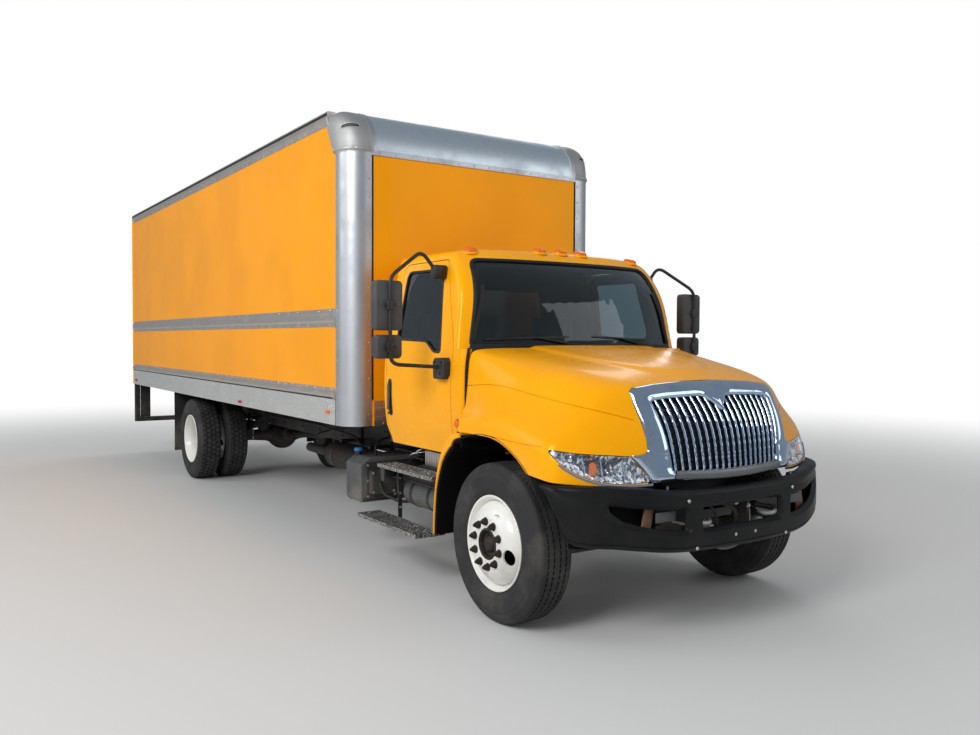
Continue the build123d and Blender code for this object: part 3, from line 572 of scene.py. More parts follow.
def makeCamera(settings):
    heading, pitch, roll = (math.radians(settings[key]) for key in ("heading", "pitch", "roll"))
    ahead = Vector((math.sin(heading) * math.cos(pitch), math.cos(heading) * math.cos(pitch), math.sin(pitch)))
    side = ahead.cross(Vector((0, 0, 1))).normalized()
    up = side.cross(ahead)
    right = side * math.cos(roll) + up * math.sin(roll)
    up = up * math.cos(roll) - side * math.sin(roll)
    data = bpy.data.cameras.new("camera")
    data.lens = settings["lens"]
    data.sensor_width = 36
    data.clip_end = 400
    camera = bpy.data.objects.new("camera", data)
    collection.objects.link(camera)
    turn = Matrix((right, up, -ahead)).transposed().to_4x4()
    camera.matrix_world = Matrix.Translation(at(*settings["place"])) @ turn
    bpy.context.scene.camera = camera


makeCamera(cameraSettings)

stageSettings = {"floorRadius": 90, "clear": 6, "gone": 17, "floorColour": (0.62, 0.62, 0.61), "skyStrength": 0.50,
                 "glossStrength": 0.32}


def makeStage(settings):
    bpy.context.scene.view_settings.view_transform = "Standard"
    radius = settings["floorRadius"]
    ring = [(radius * math.cos(math.pi * k / 32), radius * math.sin(math.pi * k / 32)) for k in range(64)]
    mesh = meshFrom([(x, y, 0) for x, y in ring], [tuple(range(64))])
    floor = bpy.data.objects.new("floor", mesh)
    collection.objects.link(floor)
    finish = Finish("floorPale", None, settings["floorColour"], 0.75, Specular_IOR_Level=0.1)
    away = finish.node("ShaderNodeVectorMath", {"operation": "LENGTH"}, finish.place(), output="Value")
    faded = finish.step(away, settings["clear"], settings["gone"])
    seen = finish.node("ShaderNodeLightPath", {}, output="Is Camera Ray")
    white = finish.node("ShaderNodeEmission", {}, (1, 1, 1, 1), 1.0)
    shader = Link(finish, finish.shader.outputs[0])
    mixed = finish.node("ShaderNodeMixShader", {}, faded * seen, shader, white)
    finish.tree.links.new(mixed.socket, finish.tree.nodes["Material Output"].inputs["Surface"])
    mesh.materials.append(finish.material)

    world = bpy.data.worlds.new("studio")
    bpy.context.scene.world = world
    world.use_nodes = True
    tree = world.node_tree
    background = tree.nodes["Background"]
    background.inputs["Color"].default_value = (0.93, 0.96, 1.0, 1)
    background.inputs["Strength"].default_value = settings["skyStrength"]
    whiteBack = tree.nodes.new("ShaderNodeBackground")
    whiteBack.inputs["Color"].default_value = (1, 1, 1, 1)
    glossBack = tree.nodes.new("ShaderNodeBackground")
    glossBack.inputs["Color"].default_value = (0.80, 0.89, 1.0, 1)
    glossBack.inputs["Strength"].default_value = settings["glossStrength"]
    path = tree.nodes.new("ShaderNodeLightPath")
    gloss = tree.nodes.new("ShaderNodeMixShader")
    choice = tree.nodes.new("ShaderNodeMixShader")
    anyRay = tree.nodes.new("ShaderNodeMath")
    anyRay.operation = "MAXIMUM"
    tree.links.new(path.outputs["Is Camera Ray"], anyRay.inputs[0])
    tree.links.new(path.outputs["Is Transmission Ray"], anyRay.inputs[1])
    tree.links.new(anyRay.outputs[0], choice.inputs["Fac"])
    tree.links.new(path.outputs["Is Glossy Ray"], gloss.inputs["Fac"])
    tree.links.new(background.outputs[0], gloss.inputs[1])
    tree.links.new(glossBack.outputs[0], gloss.inputs[2])
    tree.links.new(gloss.outputs[0], choice.inputs[1])
    tree.links.new(whiteBack.outputs[0], choice.inputs[2])
    tree.links.new(choice.outputs[0], tree.nodes["World Output"].inputs["Surface"])


makeStage(stageSettings)

# Soft lamps: place, aim (x, station, height), size and power
lampSettings = {
    "key": ((-11.0, -3.5, 8.0), (0, 2.5, 1.2), 5.0, 1000),
    "fill": ((8.0, -8.0, 6.0), (0, 1.5, 1.2), 7.0, 220),
    "side": ((-11.0, 7.0, 7.0), (0, 5.5, 1.5), 8.0, 400),
    "back": ((9.0, 13.0, 8.0), (0, 6.0, 1.5), 8.0, 420),
}


def makeLamps(settings):
    for name, (place, aim, size, power) in settings.items():
        data = bpy.data.lights.new(name, "AREA")
        data.size = size
        data.energy = power
        lamp = bpy.data.objects.new(name, data)
        collection.objects.link(lamp)
        lamp.location = at(*place)
        lamp.rotation_euler = (at(*aim) - at(*place)).to_track_quat("-Z", "Y").to_euler()


makeLamps(lampSettings)
print("camera, stage and lamps set")


# Rounded forms: outlines across the truck, at stations, meet outlines in plan, at heights, with a soft edge

def softened(outline, rounds=3):
    points = [Vector(p) for p in outline]
    for _ in range(rounds):
        inner = []
        for a, b in zip(points, points[1:]):
            inner += [a * 0.75 + b * 0.25, a * 0.25 + b * 0.75]
        points = [points[0]] + inner[1:-1] + [points[-1]]
    return points


def whole(half):
    return [(-x, v) for x, v in half if x > 0] + [(x, v) for x, v in reversed(half)]


class RoundedForm:
    angleCount = 361

    # across: station -> half outline (x, height) from low to the centre; plan: height -> half outline (x, station)
    def __init__(self, across, plan, axisHeight, axisStation, edge, rear=9.0):
        self.axisHeight = axisHeight
        self.axisStation = axisStation
        self.edge = edge
        self.rear = rear
        self.angles = np.linspace(-np.pi / 2, 3 * np.pi / 2, self.angleCount)
        self.stations, self.acrossTable = self.table(across, axisHeight, 1)
        self.heights, self.planTable = self.table(plan, axisStation, -1)

    def table(self, outlines, centre, sign):
        keys = sorted(outlines)
        rows = []
        for key in keys:
            line = softened(whole(outlines[key]))
            angle = np.unwrap([math.atan2(sign * (v - centre), x) for x, v in line])
            size = np.array([math.hypot(x, v - centre) for x, v in line])
            if angle[0] > angle[-1]:
                angle, size = angle[::-1], size[::-1]
            turns = np.round((angle.mean() - np.pi / 2) / (2 * np.pi))
            rows.append(np.interp(self.angles, angle - 2 * np.pi * turns, size))
        return self.finer(np.array(keys, float), np.array(rows))

    # Rows between the given ones, smooth along the truck or up it
    def finer(self, keys, rows, steps=12):
        slopes = np.gradient(rows, keys, axis=0)
        fineKeys, fineRows = [], []
        for index in range(len(keys) - 1):
            gap = keys[index + 1] - keys[index]
            for t in np.linspace(0, 1, steps, endpoint=index == len(keys) - 2):
                a, b = 2 * t ** 3 - 3 * t ** 2 + 1, t ** 3 - 2 * t ** 2 + t
                c, d = -2 * t ** 3 + 3 * t ** 2, t ** 3 - t ** 2
                fineKeys.append(keys[index] + t * gap)
                fineRows.append(a * rows[index] + b * gap * slopes[index]
                                + c * rows[index + 1] + d * gap * slopes[index + 1])
        return np.array(fineKeys), np.array(fineRows)

    def look(self, keys, table, key, angle):
        row = np.clip(np.interp(key, keys, np.arange(len(keys))), 0, len(keys) - 1.001)
        column = np.clip(np.interp(angle, self.angles, np.arange(self.angleCount)), 0, self.angleCount - 1.001)
        r, c = row.astype(int), column.astype(int)
        fr, fc = row - r, column - c
        return ((table[r, c] * (1 - fc) + table[r, c + 1] * fc) * (1 - fr)
                + (table[r + 1, c] * (1 - fc) + table[r + 1, c + 1] * fc) * fr)

    def turn(self, v, x):
        angle = np.arctan2(v, x)
        return np.where(angle < -np.pi / 2, angle + 2 * np.pi, angle)

    # Below 0 inside the form, above 0 outside; points are (x, station, height)
    def field(self, points):
        x, s, z = points[..., 0], points[..., 1], points[..., 2]
        across = np.hypot(x, z - self.axisHeight) - self.look(
            self.stations, self.acrossTable, s, self.turn(z - self.axisHeight, x))
        plan = np.hypot(x, s - self.axisStation) - self.look(
            self.heights, self.planTable, z, self.turn(self.axisStation - s, x))
        front = self.meet(across, plan, self.edge)
        return self.meet(front, s - self.rear, self.edge * 0.6)

    # The greater of two fields, with a soft change from one to the other
    def meet(self, first, second, edge):
        return (first + second + np.sqrt((first - second) ** 2 + edge ** 2)) / 2

    def hit(self, origins, directions, reach=3.0, inward=0.0):
        origins, directions = np.broadcast_arrays(np.asarray(origins, float), np.asarray(directions, float))
        near = np.zeros(origins.shape[:-1])
        far = near + reach
        for _ in range(34):
            middle = (near + far) / 2
            outside = self.field(origins + directions * middle[..., None]) > -inward
            far = np.where(outside, middle, far)
            near = np.where(outside, near, middle)
        return origins + directions * near[..., None]

    def normal(self, points, step=0.004):
        points = np.asarray(points, float)
        slope = np.stack([self.field(points + step * e) - self.field(points - step * e) for e in np.eye(3)], -1)
        return slope / np.linalg.norm(slope, axis=-1, keepdims=True)

    # Points on the form straight ahead of (x, height), or straight out from (station, height) on one side
    def ahead(self, outline, inward=0.0):
        origins = [(x, self.axisStation, z) for x, z in outline]
        return self.hit(origins, (0, -1, 0), inward=inward)

    def aside(self, outline, side=1, inward=0.0):
        origins = [(0, s, z) for s, z in outline]
        return self.hit(origins, (side, 0, 0), inward=inward)

    # Directions round the axis, closer together where the ring at a station turns
    def spread(self, station, count):
        fine = np.linspace(-0.06, np.pi + 0.06, 600)
        ring = self.hit((0, station, self.axisHeight), np.stack([np.cos(fine), 0 * fine, np.sin(fine)], -1))
        steps = np.diff(ring, axis=0)
        headings = np.unwrap(np.arctan2(steps[:, 2], steps[:, 0]))
        weight = np.linalg.norm(steps, axis=-1) + 0.25 * np.abs(np.gradient(headings))
        length = np.concatenate([[0], np.cumsum(weight)])
        angles = np.interp(np.linspace(0, length[-1], count), length, fine)
        return np.stack([np.cos(angles), 0 * angles, np.sin(angles)], -1)

    # The skin as rows of points, from the rear along the axis and round the front at the tilts given in degrees
    def skin(self, rear, turnStation, counts, tilts, rearRadius=0.0):
        across, along = counts
        outward = self.spread((rear + turnStation) / 2, across)
        rows = []
        if rearRadius:
            last = self.hit((0, rear + rearRadius, self.axisHeight), outward, inward=rearRadius)
            rows += [last * [k, 1, k] + [0, 0, self.axisHeight * (1 - k)] for k in (0.02, 0.35, 0.7)]
            for t in np.radians(np.linspace(90, 0, 7, endpoint=False)):
                origin = (0, rear + rearRadius * math.sin(t), self.axisHeight)
                rows.append(self.hit(origin, outward, inward=rearRadius * (1 - math.cos(t))))
        for station in np.linspace(rear, turnStation, along):
            rows.append(self.hit((0, station, self.axisHeight), outward))
        for tilt in np.radians(tilts):
            rows.append(self.hit((0, turnStation, self.axisHeight), outward * np.cos(tilt) - [0, np.sin(tilt), 0]))
        return rows


def placed(points):
    return [at(*p) for p in points]


# Takes away what lies beyond planes, each a point and the direction of the side that goes
def trimmed(mesh, planes):
    bm = bmesh.new()
    bm.from_mesh(mesh)
    bpy.data.meshes.remove(mesh)
    for point, normal in planes:
        geometry = bm.verts[:] + bm.edges[:] + bm.faces[:]
        bmesh.ops.bisect_plane(bm, geom=geometry, plane_co=at(*point), plane_no=normal, clear_outer=True)
    return fromBmesh(bm)


# A shell made from a form's skin, going inward by its thickness
def shellOf(form, thickness, rear, turnStation, counts, tilts, rearRadius=0.0, shape=None, planes=()):
    rows = form.skin(rear, turnStation, counts, tilts, rearRadius)
    if shape:
        rows = [shape(row) for row in rows]
    mesh = rowsMesh([placed(row) for row in rows])
    outwards = sum(face.normal.dot(face.center - at(0, (rear + turnStation) / 2, form.axisHeight)) > 0
                   for face in mesh.polygons)
    if outwards < len(mesh.polygons) / 2:
        mesh.flip_normals()
    return thickened(trimmed(mesh, planes), thickness)


# A strip of a given section that follows points on a form; the section is (sideways, outward)
def stripOn(form, points, section, closed=False):
    points = np.asarray(points)
    normals = form.normal(points)
    path = placed(points)
    count = len(path)
    rows = []
    for index, point in enumerate(path):
        if closed:
            ahead = path[(index + 1) % count] - path[index - 1]
        else:
            ahead = path[min(index + 1, count - 1)] - path[max(index - 1, 0)]
        up = Vector(normals[index])
        side = ahead.normalized().cross(up).normalized()
        rows.append([point + side * u + up * v for u, v in section])
    if closed:
        rows.append(rows[0])
    return rowsMesh(rows, True, not closed)


# Points spaced along an outline so that a strip or an edge can follow a curved form
def spaced(outline, gap, closed=True):
    points = [Vector(p) for p in outline]
    if closed:
        points.append(points[0])
    result = []
    for a, b in zip(points, points[1:]):
        steps = max(1, round((b - a).length / gap))
        result += [tuple(a.lerp(b, k / steps)) for k in range(steps)]
    if not closed:
        result.append(tuple(points[-1]))
    return result


# Small round heads in rows: each a place and the direction that it faces
def domes(places, radius, height, sides=8, rings=2):
    verts, faces = [], []
    for point, facing in places:
        facing = Vector(facing).normalized()
        side = facing.orthogonal().normalized()
        other = facing.cross(side)
        base = len(verts)
        for ring in range(rings + 1):
            rise = math.sin(math.pi / 2 * ring / (rings + 0.6))
            wide = radius * math.cos(math.pi / 2 * ring / (rings + 0.6))
            for k in range(sides):
                angle = 2 * math.pi * k / sides
                verts.append(point + side * wide * math.cos(angle) + other * wide * math.sin(angle)
                             + facing * (height * rise - 0.001 * (ring == 0)))
        for ring in range(rings):
            for k in range(sides):
                a, b = base + ring * sides + k, base + ring * sides + (k + 1) % sides
                faces.append((a, b, b + sides, a + sides))
        top = base + rings * sides
        faces.append(tuple(top + k for k in range(sides)))
        faces.append(tuple(base + k for k in reversed(range(sides))))
    return meshFrom(verts, faces)


# Hexagon heads on washers
def bolts(places, radius, height):
    meshes = []
    for point, facing in places:
        point = Vector(point)
        facing = Vector(facing).normalized()
        side = facing.orthogonal().normalized()
        turn = Matrix((side, facing.cross(side), facing)).transposed().to_4x4()
        washer = [(1.35, -0.1), (1.35, 0.18), (1.15, 0.24)]
        rows = []
        for k in range(12):
            angle = math.pi * k / 6
            flat = 1 / math.cos(((angle + math.pi / 6) % (math.pi / 3)) - math.pi / 6)
            ring = [(u * radius * math.cos(angle), u * radius * math.sin(angle), v * height) for u, v in washer]
            for u, v in ((0.87, 0.24), (0.87, 0.86), (0.74, 1.0)):
                ring.append((u * flat * radius * math.cos(angle), u * flat * radius * math.sin(angle), v * height))
            ring.append((0, 0, height))
            ring.insert(0, (0, 0, -0.1 * height))
            rows.append([Vector(p) for p in ring])
        meshes.append(moved(rowsMesh(rows + rows[:1]), Matrix.Translation(point) @ turn))
    return joined(meshes)


# Hood and cab forms, in metres; each half outline runs from its lowest or rearmost point to the centre
hoodAcross = {
    0.60: [(1.170, 0.80), (1.170, 1.21), (1.155, 1.262), (1.080, 1.290), (1.052, 1.33), (1.050, 1.42), (1.050, 1.60),
           (1.046, 1.715), (1.020, 1.752), (0.920, 1.762), (0.700, 1.770), (0, 1.785)],
    0.0: [(1.195, 0.80), (1.195, 1.215), (1.160, 1.295), (1.075, 1.390), (1.000, 1.495), (0.945, 1.590),
          (0.860, 1.645), (0.700, 1.680), (0, 1.703)],
    -0.45: [(1.190, 0.80), (1.190, 1.150), (1.150, 1.225), (1.030, 1.310), (0.925, 1.400), (0.860, 1.500),
            (0.780, 1.560), (0.640, 1.592), (0, 1.616)],
    -1.0: [(1.160, 0.80), (1.160, 1.080), (1.110, 1.130), (0.930, 1.190), (0.790, 1.260), (0.720, 1.340),
           (0.660, 1.400), (0.540, 1.430), (0, 1.450)],
}
hoodPlan = {
    0.80: [(1.2, 0.70), (1.2, -0.56), (1.13, -0.64), (0.96, -0.745), (0.64, -0.868), (0.47, -0.915), (0, -0.965)],
    1.00: [(1.2, 0.70), (1.2, -0.56), (1.13, -0.62), (0.96, -0.730), (0.63, -0.845), (0.47, -0.895), (0, -0.950)],
    1.37: [(1.2, 0.70), (1.2, -0.40), (1.13, -0.46), (0.96, -0.560), (0.63, -0.745), (0.51, -0.800), (0, -0.856)],
    1.546: [(1.2, 0.70), (1.2, -0.30), (1.13, -0.35), (0.96, -0.450), (0.64, -0.640), (0.50, -0.675), (0, -0.697)],
    1.80: [(1.2, 0.70), (1.2, 0.05), (1.13, 0.0), (0.96, -0.100), (0.64, -0.250), (0.50, -0.280), (0, -0.300)],
}
cabSection = [(1.035, 0.90), (1.035, 0.985), (1.085, 1.25), (1.085, 1.62), (1.058, 1.755), (0.952, 2.400),
              (0.900, 2.455), (0.700, 2.478), (0, 2.485)]
cabPlan = {
    0.90: [(1.2, 1.75), (1.2, 0.56), (0.9, 0.56), (0.52, 0.51), (0, 0.485)],
    1.38: [(1.2, 1.75), (1.2, 0.56), (0.9, 0.56), (0.52, 0.51), (0, 0.485)],
    1.755: [(1.2, 1.75), (1.2, 0.66), (0.955, 0.585), (0.52, 0.45), (0, 0.40)],
    2.40: [(1.2, 1.75), (1.2, 0.90), (0.862, 0.823), (0.52, 0.722), (0, 0.69)],
    2.49: [(1.2, 1.75), (1.2, 1.00), (0.84, 0.93), (0.52, 0.83), (0, 0.80)],
}
hoodForm = RoundedForm(hoodAcross, hoodPlan, 0.90, 0.30, 0.045)
cabForm = RoundedForm({0.2: cabSection, 1.8: cabSection}, cabPlan, 0.97, 1.20, 0.04)
print("forms ready")


# Hood: one smooth skin with a raised middle, trimmed at the cab, the arches, the grille and the lamps
hood = {
    "thickness": 0.010, "raise": 0.014, "raiseHalf": 0.60, "raiseBack": 0.40, "raiseEdge": 0.11,
    "archRadius": 0.683, "archStation": 0.10, "archHeight": 0.50,
    "rearArc": [(-1.3, 0.42), (-1.13, 0.435), (-1.078, 0.497), (-1.03, 0.500), (-0.6, 0.40), (0, 0.33), (0.6, 0.40),
                (1.03, 0.500), (1.078, 0.497), (1.13, 0.435), (1.3, 0.42), (1.3, 0.9), (-1.3, 0.9)],
    "skirt": [(-1.3, 0.7), (-1.3, 0.945), (-0.88, 0.945), (-0.359, 1.0), (0.1, 1.183), (0.7, 1.183), (0.7, 0.7)],
    "seamWidth": 0.006, "seamDepth": 0.007,
    # rearmost to foremost, (x, station, height) near the skin
    "upperSeam": [(1.085, 0.52, 1.500), (1.05, 0.25, 1.512), (1.04, 0.094, 1.507), (1.0, -0.27, 1.455),
                  (0.86, -0.52, 1.385), (0.645, -0.72, 1.320)],
    "lowerSeam": [(1.17, 0.10, 1.190), (1.17, -0.12, 1.182), (1.16, -0.30, 1.172), (1.10, -0.46, 1.168)],
}
# Points of the grille's mouth, each with the point of the outer edge that lies beyond it
grillePairs = [((0, 1.372), (0, 1.548)), ((0.088, 1.452), (0.12, 1.547)), ((0.14, 1.462), (0.20, 1.545)),
               ((0.40, 1.452), (0.45, 1.532)), ((0.510, 1.440), (0.600, 1.514)), ((0.524, 1.425), (0.634, 1.492)),
               ((0.516, 1.36), (0.638, 1.42)), ((0.505, 1.27), (0.628, 1.30)), ((0.494, 1.19), (0.622, 1.20)),
               ((0.488, 1.150), (0.625, 1.152)), ((0.486, 1.142), (0.637, 1.137)), ((0.484, 1.134), (0.669, 1.129)),
               ((0.482, 1.126), (0.716, 1.1245)), ((0.480, 1.118), (0.719, 1.114)), ((0.477, 1.09), (0.690, 1.080)),
               ((0.474, 1.05), (0.661, 1.041)), ((0.468, 1.03), (0.636, 1.001)), ((0.462, 1.026), (0.619, 0.972)),
               ((0.43, 1.024), (0.600, 0.966)), ((0.36, 1.021), (0.470, 0.972)), ((0.25, 1.018), (0.25, 0.967)),
               ((0, 1.015), (0, 0.963))]
grilleMouth = [mouth for mouth, edge in grillePairs]
grilleOuter = [edge for mouth, edge in grillePairs]
lampOutline = [(0.619, 0.972), (0.638, 1.001), (0.663, 1.041), (0.692, 1.080), (0.717, 1.112), (0.720, 1.122),
               (0.832, 1.130), (0.940, 1.137), (1.030, 1.145), (1.100, 1.156), (1.131, 1.162), (1.139, 1.148),
               (1.132, 1.120), (1.109, 1.089), (1.083, 1.060), (1.039, 1.026), (0.984, 0.999), (0.910, 0.976),
               (0.830, 0.964), (0.720, 0.962)]


def mirrorLoop(half):
    return half + [(-x, z) for x, z in reversed(half) if x > 0]


def hoodRaise(row):
    x, s = row[:, 0], row[:, 1]
    reach = np.hypot(x / hood["raiseHalf"], np.minimum(s - hood["raiseBack"], 0))
    rise = np.clip((1 - reach) / hood["raiseEdge"], 0, 1)
    row = row.copy()
    row[:, 2] += hood["raise"] * rise * rise * (3 - 2 * rise)
    return row


def archCylinder(grow=0.0, x=(-1.4, 1.4)):
    centre = at(0, hood["archStation"], hood["archHeight"])
    radius = hood["archRadius"] + grow
    return turned([(x[0], 0), (x[0], radius), (x[1], radius), (x[1], 0)], centre, (1, 0, 0), 96)


# A cutter that follows a line on the hood's skin
def seamCutter(line, side):
    points = []
    for start, end in zip(line, line[1:]):
        for step in range(8):
            points.append([a + (b - a) * step / 8 for a, b in zip(start, end)])
    points.append(list(line[-1]))
    smooth = np.array(points)
    for _ in range(3):
        smooth[1:-1] = (smooth[:-2] + 2 * smooth[1:-1] + smooth[2:]) / 4
    smooth[:, 0] *= side
    inside = np.zeros(smooth.shape) + (0, 0.1, 1.05)
    outward = smooth - inside
    onSkin = hoodForm.hit(inside, outward / np.linalg.norm(outward, axis=-1, keepdims=True))
    half, depth = hood["seamWidth"] / 2, hood["seamDepth"]
    return stripOn(hoodForm, onSkin, [(-half, -depth), (half, -depth), (half, 0.02), (-half, 0.02)])


hoodShell = shellOf(hoodForm, hood["thickness"], 0.62, -0.15, (180, 42), np.linspace(1.5, 90, 60), shape=hoodRaise)
cutters = [prism(hood["rearArc"], "z", 0.6, 2.1), prism(hood["skirt"], "x", -1.5, 1.5), archCylinder(),
           prism(mirrorLoop(grilleOuter), "y", -1.4, -0.55)]
cutters += [prism([(side * x, z) for x, z in rounded(lampOutline, 0.01, 3)], "y", -1.3, -0.2) for side in (-1, 1)]
cutters.append(bar((-0.64, 0.64), (-1.3, -0.5), (0.90, 0.985)))
hoodSkin = cut(hoodShell, cutters)
seams = [seamCutter(hood[line], side) for line in ("upperSeam", "lowerSeam") for side in (-1, 1)]
hoodSkin = cut(hoodSkin, seams)
piece("hoodSkin", hoodSkin, cabYellow, "hood", ["hood"], angle=30)
print("hood skin", len(hoodSkin.polygons))


# Loops of points around the grille: the form's surface at a blend of two outlines, pushed out or in
def loopAt(outline, centre, count):
    points = [Vector(p) - Vector(centre) for p in outline]
    angles = np.unwrap([math.atan2(p.y, p.x) for p in points])
    if angles[0] > angles[-1]:
        angles, points = angles[::-1], points[::-1]
    wanted = np.linspace(0, 2 * math.pi, count, endpoint=False)
    loop = []
    for angle in wanted:
        base = angles[0] + (angle - angles[0]) % (2 * math.pi)
        direction = Vector((math.cos(angle), math.sin(angle)))
        index = int(np.searchsorted(angles, base)) - 1
        a = points[index % len(points)]
        b = points[(index + 1) % len(points)]
        across = b - a
        size = (a.x * across.y - a.y * across.x) / (direction.x * across.y - direction.y * across.x)
        loop.append(Vector(centre) + direction * size)
    return loop


def ringOn(form, inner, outer, centre, profile, count=240):
    innerLoop, outerLoop = loopAt(inner, centre, count), loopAt(outer, centre, count)
    rows = []
    for share, push in profile:
        flat = [a.lerp(b, share) for a, b in zip(innerLoop, outerLoop)]
        points = form.ahead([tuple(p) for p in flat])
        normals = form.normal(points)
        rows.append(placed(points + normals * push))
    return rowsMesh(rows + rows[:1], True)


grille = {"centre": (0, 1.25), "bars": 18, "barHalf": 0.0095, "barDepth": 0.030, "scallop": 0.0012, "scallops": 9}
surroundProfile = [(0.0, -0.034), (0.0, -0.006), (0.04, 0.004), (0.14, 0.012), (0.35, 0.017), (0.62, 0.016),
                   (0.84, 0.011), (0.94, 0.006), (0.985, 0.001), (1.0, -0.005), (1.0, -0.026)]


# Pairs of points closer together, all the way round
def closerPairs(pairs, gap):
    half = []
    for (a, b), (c, d) in zip(pairs, pairs[1:]):
        a, b, c, d = Vector(a), Vector(b), Vector(c), Vector(d)
        steps = max(1, round(max((c - a).length, (d - b).length) / gap))
        half += [(a.lerp(c, k / steps), b.lerp(d, k / steps)) for k in range(steps)]
    half.append((Vector(pairs[-1][0]), Vector(pairs[-1][1])))
    other = [(Vector((-a.x, a.y)), Vector((-b.x, b.y))) for a, b in reversed(half[1:-1])]
    return half + other


def surroundMesh():
    loop = closerPairs(grillePairs, 0.012)
    rows = []
    for share, push in surroundProfile:
        points = hoodForm.ahead([tuple(a.lerp(b, share)) for a, b in loop])
        rows.append(placed(points + hoodForm.normal(points) * push))
    return rowsMesh(rows, True)


piece("grilleSurround", surroundMesh(), chrome, "hood", ["grille"])


def mouthTop(x):
    for (x0, z0), (x1, z1) in zip(grilleMouth, grilleMouth[1:]):
        if x0 <= abs(x) <= x1 and z0 > 1.3:
            return z0 + (z1 - z0) * (abs(x) - x0) / (x1 - x0)
    return 1.40


def grilleBars():
    meshes = []
    topHalf, lowHalf = 0.515, 0.470
    for index in range(grille["bars"]):
        share = (index + 0.5) / grille["bars"] * 2 - 1
        topZ = mouthTop(share * topHalf) + 0.012
        outline = []
        for step in range(37):
            z = 1.0 + (topZ - 1.0) * step / 36
            half = lowHalf + (topHalf - lowHalf) * (z - 1.0) / 0.46
            outline.append((share * half, z))
        points = hoodForm.ahead(outline)
        normals = hoodForm.normal(points)
        waves = np.array([math.cos(2 * math.pi * grille["scallops"] * (z - 1.0) / 0.46) for x, z in outline])
        points = points + normals * (waves[:, None] * grille["scallop"] - 0.008)
        wide, deep = grille["barHalf"], grille["barDepth"]
        section = [(-0.55 * wide, -deep), (0.55 * wide, -deep), (wide, -0.010), (0.92 * wide, -0.003),
                   (0.5 * wide, 0.002), (0, 0.0035), (-0.5 * wide, 0.002), (-0.92 * wide, -0.003), (-wide, -0.010)]
        meshes.append(stripOn(hoodForm, points, section))
    return joined(meshes)


piece("grilleBars", grilleBars(), chrome, "hood")
# A solid black sheet behind the grille bars, where the dark radiator and shade show: painted shade
grilleShade = ringOn(hoodForm, [(0.02 * x, 1.25 + 0.02 * (z - 1.25)) for x, z in mirrorLoop(grilleMouth)],
                mirrorLoop(grilleMouth), grille["centre"],
                [(0, -0.070), (1.02, -0.062), (1.02, -0.058), (0, -0.064)], 96)
piece("grilleScreen", grilleShade, sealBlack, "hood")
screenBars = []
for index in range(9):
    z = 1.04 + index * 0.045
    line = hoodForm.ahead([(x, z) for x in np.linspace(-0.47, 0.47, 25)])
    section = [(-0.004, -0.006), (0.004, -0.006), (0.004, 0.006), (-0.004, 0.006)]
    screenBars.append(stripOn(hoodForm, line + hoodForm.normal(line) * -0.045, section))
piece("grilleScreenBars", joined(screenBars), trimBlack, "hood")
print("grille done")


# Van body: a box with rounded uprights and a rounded top front edge
sideHigh = boxOf("box_sides")[1]
frontLow = boxOf("box_front")[0]
frameLow, frameHigh = boxOf("rear_frame")
noseLow, noseHigh = boxOf("nose_cap")
van = {
    "half": sideHigh.x, "front": frontLow.y, "rear": frameHigh.y, "panelRear": sideHigh.y, "top": noseHigh.z,
    "bottom": frontLow.z, "noseLine": noseLow.z, "postRadius": 0.17, "noseRadius": 0.34, "capInner": 1.075,
    "skin": 0.005, "rivet": 0.0085, "rivetRise": 0.005, "pitch": 0.152, "flange": 0.045,
}


class VanForm(RoundedForm):
    def __init__(self, sizes):
        self.sizes = sizes
        self.axisHeight = 2.5
        self.axisStation = 3.0

    def corner(self, across, along, radius):
        outside = np.hypot(np.maximum(across, 0), np.maximum(along, 0))
        return np.minimum(np.maximum(across, along), 0) + outside - radius

    def field(self, points):
        x, s, z = points[..., 0], points[..., 1], points[..., 2]
        post, nose = self.sizes["postRadius"], self.sizes["noseRadius"]
        plan = self.corner(np.abs(x) - self.sizes["half"] + post, self.sizes["front"] + post - s, post)
        side = self.corner(self.sizes["front"] + nose - s, z - self.sizes["top"] + nose, nose)
        return self.meet(plan, side, 0.003)


vanForm = VanForm(van)


def arc(centre, radius, start, end, steps=18):
    return [(centre[0] + radius * math.cos(math.radians(start + (end - start) * k / steps)),
             centre[1] + radius * math.sin(math.radians(start + (end - start) * k / steps)))
            for k in range(steps + 1)]


def rivetRow(start, end, facing, pitch=van["pitch"]):
    start, end = Vector(start), Vector(end)
    count = max(1, round((end - start).length / pitch))
    return [(at(*start.lerp(end, (k + 0.5) / count)), facing) for k in range(count)]


def vanPosts():
    radius, skin, flange = van["postRadius"], van["skin"], van["flange"]
    centre = (van["half"] - radius, van["front"] + radius)
    outer = arc(centre, radius + skin, 0, -90)
    inner = arc(centre, radius, -90, 0)
    outline = [(van["half"] + skin, centre[1] + flange)] + outer + [(centre[0] - flange, van["front"] - skin)]
    outline += [(centre[0] - flange, van["front"])] + inner + [(van["half"], centre[1] + flange)]
    return prism(outline, "z", van["bottom"], van["noseLine"] + 0.004)


def postRivets():
    half, front, radius, skin = van["half"], van["front"], van["postRadius"], van["skin"]
    inset = van["flange"] * 0.55
    low, high = van["bottom"] + 0.02, van["noseLine"]
    side = rivetRow((half + skin, front + radius + inset, low), (half + skin, front + radius + inset, high),
                    (1, 0, 0))
    ahead = rivetRow((half - radius - inset, front - skin, low), (half - radius - inset, front - skin, high),
                     (0, -1, 0))
    return domes(side + ahead, van["rivet"], van["rivetRise"])


